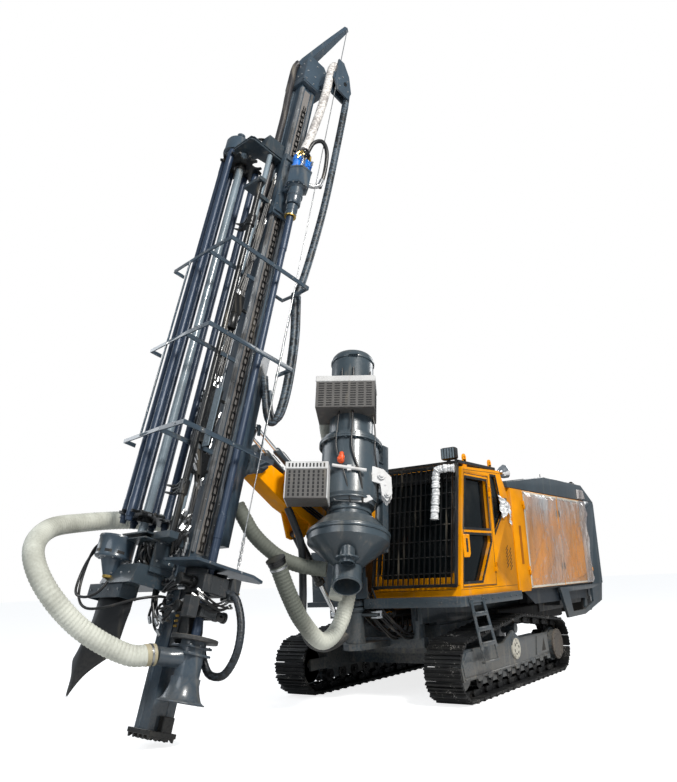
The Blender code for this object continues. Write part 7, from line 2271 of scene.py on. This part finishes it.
def head_plates():
    """Cut side plates with corner slopes, a cross plate in front, the sheave and the hose guide's cheeks."""
    cheek = [(-0.18, 8.52), (0.18, 8.52), (0.18, 8.94), (0.12, 9.0), (-0.12, 9.0), (-0.18, 8.94)]
    guide = [(0.12, 8.58), (0.2, 8.44), (0.42, 8.42), (0.45, 8.56), (0.36, 8.8), (0.22, 8.96), (0.12, 8.96)]
    surfaces = [block((-0.19, -0.17, 8.503), (0.19, 0.17, 8.62), 0.006),
                prism(cheek, "X", -0.2, -0.165, 0.003), prism(cheek, "X", 0.165, 0.2, 0.003),
                block((-0.18, -0.16, 8.92), (0.18, -0.02, 8.98), 0.004),
                block((-0.165, -0.172, 8.62), (0.165, -0.15, 8.9), 0.003),
                block((-0.14, 0.14, 8.51), (0.15, 0.23, 8.7), 0.006),
                block((0.19, 0.1, 8.6), (0.5, 0.16, 8.72), 0.006), prism(guide, "X", 0.38, 0.41, 0.003),
                prism(guide, "X", 0.49, 0.52, 0.003)]
    surfaces.append(turned([(-0.16, 0.1), (-0.16, 0.13), (-0.13, 0.13), (-0.12, 0.105), (0.12, 0.105),
                            (0.13, 0.13), (0.16, 0.13), (0.16, 0.1)],
                           (0, 0, 8.82), (1, 0, 0), 40, ring=True))
    return surfaces


def jib():
    """A tapered square box: four corners carried along the line from root to tip, and its root plate."""
    root, tip = np.array(JIB_ROOT), np.array(JIB_TIP)
    ahead = (tip - root) / np.linalg.norm(tip - root)
    length = np.linalg.norm(tip - root)
    side, up = across(ahead)
    corners = np.array([(-1, -1), (1, -1), (1, 1), (-1, 1)], dtype=float)
    rows = []
    for along, wide, deep in ((0.0, 0.066, 0.052), (0.1, 0.07, 0.06), (length * 0.55, 0.056, 0.046),
                              (length - 0.02, 0.034, 0.03)):
        rows.append(root + along * ahead + corners[:, :1] * wide * side + corners[:, 1:] * deep * up)
    surfaces = [grid(np.array(rows))]
    surfaces.append(beam(root - ahead * 0.02, root + ahead * 0.02, 0.17, 0.15, up=up))
    return surfaces


def guide_wheels():
    """A grooved wheel on its axle and the jib's small wheel, each one profile turned about X."""
    wheel = [(-0.036, 0.06), (-0.036, 0.115), (-0.03, 0.115), (-0.018, 0.085), (0.018, 0.085),
             (0.03, 0.115), (0.036, 0.115), (0.036, 0.06)]
    small = [(-0.012, 0.01), (-0.012, 0.026), (-0.004, 0.018), (0.004, 0.018), (0.012, 0.026), (0.012, 0.01)]
    return [turned(wheel, (0.45, 0.31, 8.62), (1, 0, 0), 40, ring=True),
            bar((0.37, 0.31, 8.62), (0.53, 0.31, 8.62), 0.03, 24),
            turned(small, (0.445, 0.18, 9.675), (1, 0, 0), 24, ring=True)]


def plate_bolts():
    """Bolts on both side plates, the cross plate and the hose guide."""
    return [bolts([(0.201, v, w) for v in (-0.14, 0.0, 0.14) for w in (8.56, 8.7, 8.9)], (1, 0, 0), 0.012),
            bolts([(-0.201, v, w) for v in (-0.14, 0.0, 0.14) for w in (8.56, 8.7, 8.9)], (-1, 0, 0),
                  0.012),
            bolts([(u, -0.173, w) for u in (-0.12, -0.04, 0.04, 0.12) for w in (8.66, 8.86)], (0, -1, 0),
                  0.011),
            bolts([(0.521, v, w) for v, w in ((0.22, 8.52), (0.38, 8.54), (0.24, 8.7), (0.34, 8.7),
                                              (0.18, 8.62))], (1, 0, 0), 0.011)]


def world_path(path, spacing=0.02):
    """The smooth line through a path's places in the mast's frame, given in the machine's frame."""
    line, _ = curve(path, spacing)
    matrix = np.array(MAST)
    return line @ matrix[:3, :3].T + matrix[:3, 3]


def free_hose(name, path, radius, body, finish, sides=16, spacing=0.02, wave=None):
    """A hose or rope along a path in the mast's frame."""
    made = piece(name, [tube(path, radius, sides, spacing, wave)], body, finish, MAST, 60.0)
    places = world_path(path)


def spiral(run):
    """A wrapped hose's outline: a shallow wave for each turn of its guard."""
    return 0.975 + 0.025 * np.sin(run * math.tau / 0.045)


def wrapped_cloth(name, pale, dark):
    """A woven or plastic guard wound round hoses: slanting bands, glossy where the wrap is tight."""
    bench = Bench(name)
    band = bench.noise(26.0, 3.0, bench.stretched((1.0, 1.0, 2.2)))
    cloud = bench.noise(5.0, 5.0)
    tone = bench.mix(bench.between(band * 0.7 + cloud * 0.4, 0.48, 0.62), dark, pale)
    return bench.finish(Base_Color=tone, Roughness=0.3 + band * 0.3, Normal=bench.bump(band, 0.006, 0.7))


BLACK_GUARD = wrapped_cloth("black_guard", (0.06, 0.085, 0.11), (0.008, 0.01, 0.012))
DARK_GUARD = wrapped_cloth("dark_guard", (0.02, 0.026, 0.034), (0.004, 0.005, 0.006))
WHITE_GUARD = wrapped_cloth("white_guard", (0.62, 0.6, 0.58), (0.3, 0.28, 0.27))
on_mast("head_plates", head_plates(), MAST_BLUE, instead=("mast_head",))
on_mast("jib", jib(), MAST_BLUE)
on_mast("guide_wheels", guide_wheels(), SATIN_BLACK)
on_mast("head_plate_bolts", plate_bolts(), BRIGHT_STEEL)

long_hose = [(-0.02, -0.19, 8.95), (-0.045, -0.215, 8.8), (-0.05, -0.205, 8.3), (-0.05, -0.19, 7.9),
             (-0.075, -0.185, 7.0), (-0.105, -0.175, 6.35), (-0.105, -0.157, 6.1)]
free_hose("long_hose", long_hose, 0.046, "mast", paint("hose_brown_black", (0.03, 0.028, 0.03), 0.4, 0.1),
          24)
on_mast("long_hose_end", [bar((-0.105, -0.16, 6.14), (-0.105, -0.16, 5.98), 0.05, 24),
                          bar((-0.105, -0.16, 5.99), (-0.105, -0.165, 5.91), 0.058, 6),
                          tube([(-0.105, -0.165, 5.94), (-0.1, -0.19, 5.82), (-0.07, -0.22, 5.72),
                                (-0.02, -0.25, 5.62)], 0.036, 20, 0.02)], BRIGHT_STEEL)
air_hose = [(0.45, 0.215, 8.7), (0.43, 0.17, 8.88), (0.42, 0.1, 8.8), (0.405, 0.1, 8.4),
            (0.385, 0.08, 7.95), (0.355, 0.04, 7.5), (0.342, 0.0, 7.24)]
piece("air_hose", [tube(air_hose, 0.06, 24, 0.015, spiral)],
      ("mast", "head", tuple(MAST @ Vector((0.4, 0.1, 8.3))), tuple(MAST @ Vector((0.36, 0.05, 7.5)))),
      WHITE_GUARD, MAST, 60.0)
side_hose = [(0.49, 0.265, 6.72), (0.535, 0.26, 6.95), (0.55, 0.22, 7.25), (0.5, 0.15, 7.42),
             (0.42, 0.07, 7.38), (0.37, 0.035, 7.19)]
free_hose("side_hose", side_hose, 0.027, "head", RUBBER, 16)

bundle = [(0.45, 0.42, 8.62), (0.45, 0.44, 8.3), (0.44, 0.45, 7.6), (0.43, 0.45, 6.7), (0.38, 0.45, 6.05),
          (0.31, 0.44, 5.45), (0.27, 0.405, 5.15)]
free_hose("mast_bundle", bundle, 0.05, "mast", BLACK_GUARD, 24, 0.018, spiral)
on_mast("bundle_clamps", [turned([(-0.03, 0.052), (-0.03, 0.06), (0.03, 0.06), (0.03, 0.052)],
                                 (0.27, 0.407, 5.18), (0, 0, 1), 28, ring=True),
                          beam((0.24, 0.375, 5.18), (0.3, 0.375, 5.18), 0.05, 0.012)], FRAME_GREY)
drop = [(0.27, 0.405, 5.15), (0.3, 0.43, 4.9), (0.34, 0.45, 4.6), (0.37, 0.46, 4.2), (0.38, 0.46, 3.8),
        (0.36, 0.44, 3.52), (0.31, 0.4, 3.44), (0.26, 0.35, 3.56), (0.22, 0.3, 3.8), (0.18, 0.27, 4.0)]
piece("drop_bundle", [tube(drop, 0.046, 22, 0.018, spiral),
                      tube([(a + 0.055, b + 0.02, c + 0.02) for a, b, c in drop[:-1]], 0.022, 12, 0.03)],
      ("mast", "cradle_body", tuple(MAST @ Vector((0.27, 0.45, 5.0))),
       tuple(MAST @ Vector((0.27, 0.45, 3.3)))), BLACK_GUARD, MAST, 60.0)
loop = [(0.5, 0.165, 1.44), (0.6, 0.22, 1.38), (0.7, 0.26, 1.15), (0.72, 0.26, 0.88), (0.62, 0.24, 0.68),
        (0.46, 0.2, 0.66), (0.36, 0.17, 0.76), (0.33, 0.14, 0.86)]
free_hose("clamp_loop", loop, 0.04, "mast", DARK_GUARD, 20, 0.018, spiral)

ROPE_TOP, ROPE_END, ROPE_R = (0.46, 0.19, 9.668), (0.605, 0.15, 1.668), 0.006


def chain_links(start, end, count, size):
    """Steel links in a row, each turned a quarter from the last."""
    start, end = np.array(start), np.array(end)
    ahead = (end - start) / np.linalg.norm(end - start)
    side, up = across(ahead)
    step = (end - start) / count
    surfaces = []
    for k in range(count):
        centre = start + step * (k + 0.5)
        wide = side if k % 2 else up
        turn = np.linspace(0.0, math.tau, 17)
        reach = np.linalg.norm(step) * 0.62
        ring = centre + np.cos(turn)[:, None] * reach * ahead + np.sin(turn)[:, None] * size * wide
        surfaces.append(tube(ring, size * 0.27, 8, size * 0.4))
    return surfaces


on_mast("rope_hook", [bar((0.6, 0.155, 2.04), (0.6005, 0.155, 1.98), 0.014, 16),
                      *chain_links((0.6005, 0.155, 2.0), (0.605, 0.155, 1.7), 7, 0.017),
                      tube([(0.605, 0.155, 1.7), (0.61, 0.15, 1.67), (0.605, 0.145, 1.655)], 0.008, 10,
                           0.008)], BRIGHT_STEEL)
free_hose("winch_rope", [ROPE_TOP, (0.507, 0.178, 7.1), (0.553, 0.167, 4.6), ROPE_END], ROPE_R, "mast",
          BRIGHT_STEEL, 8, 0.05)
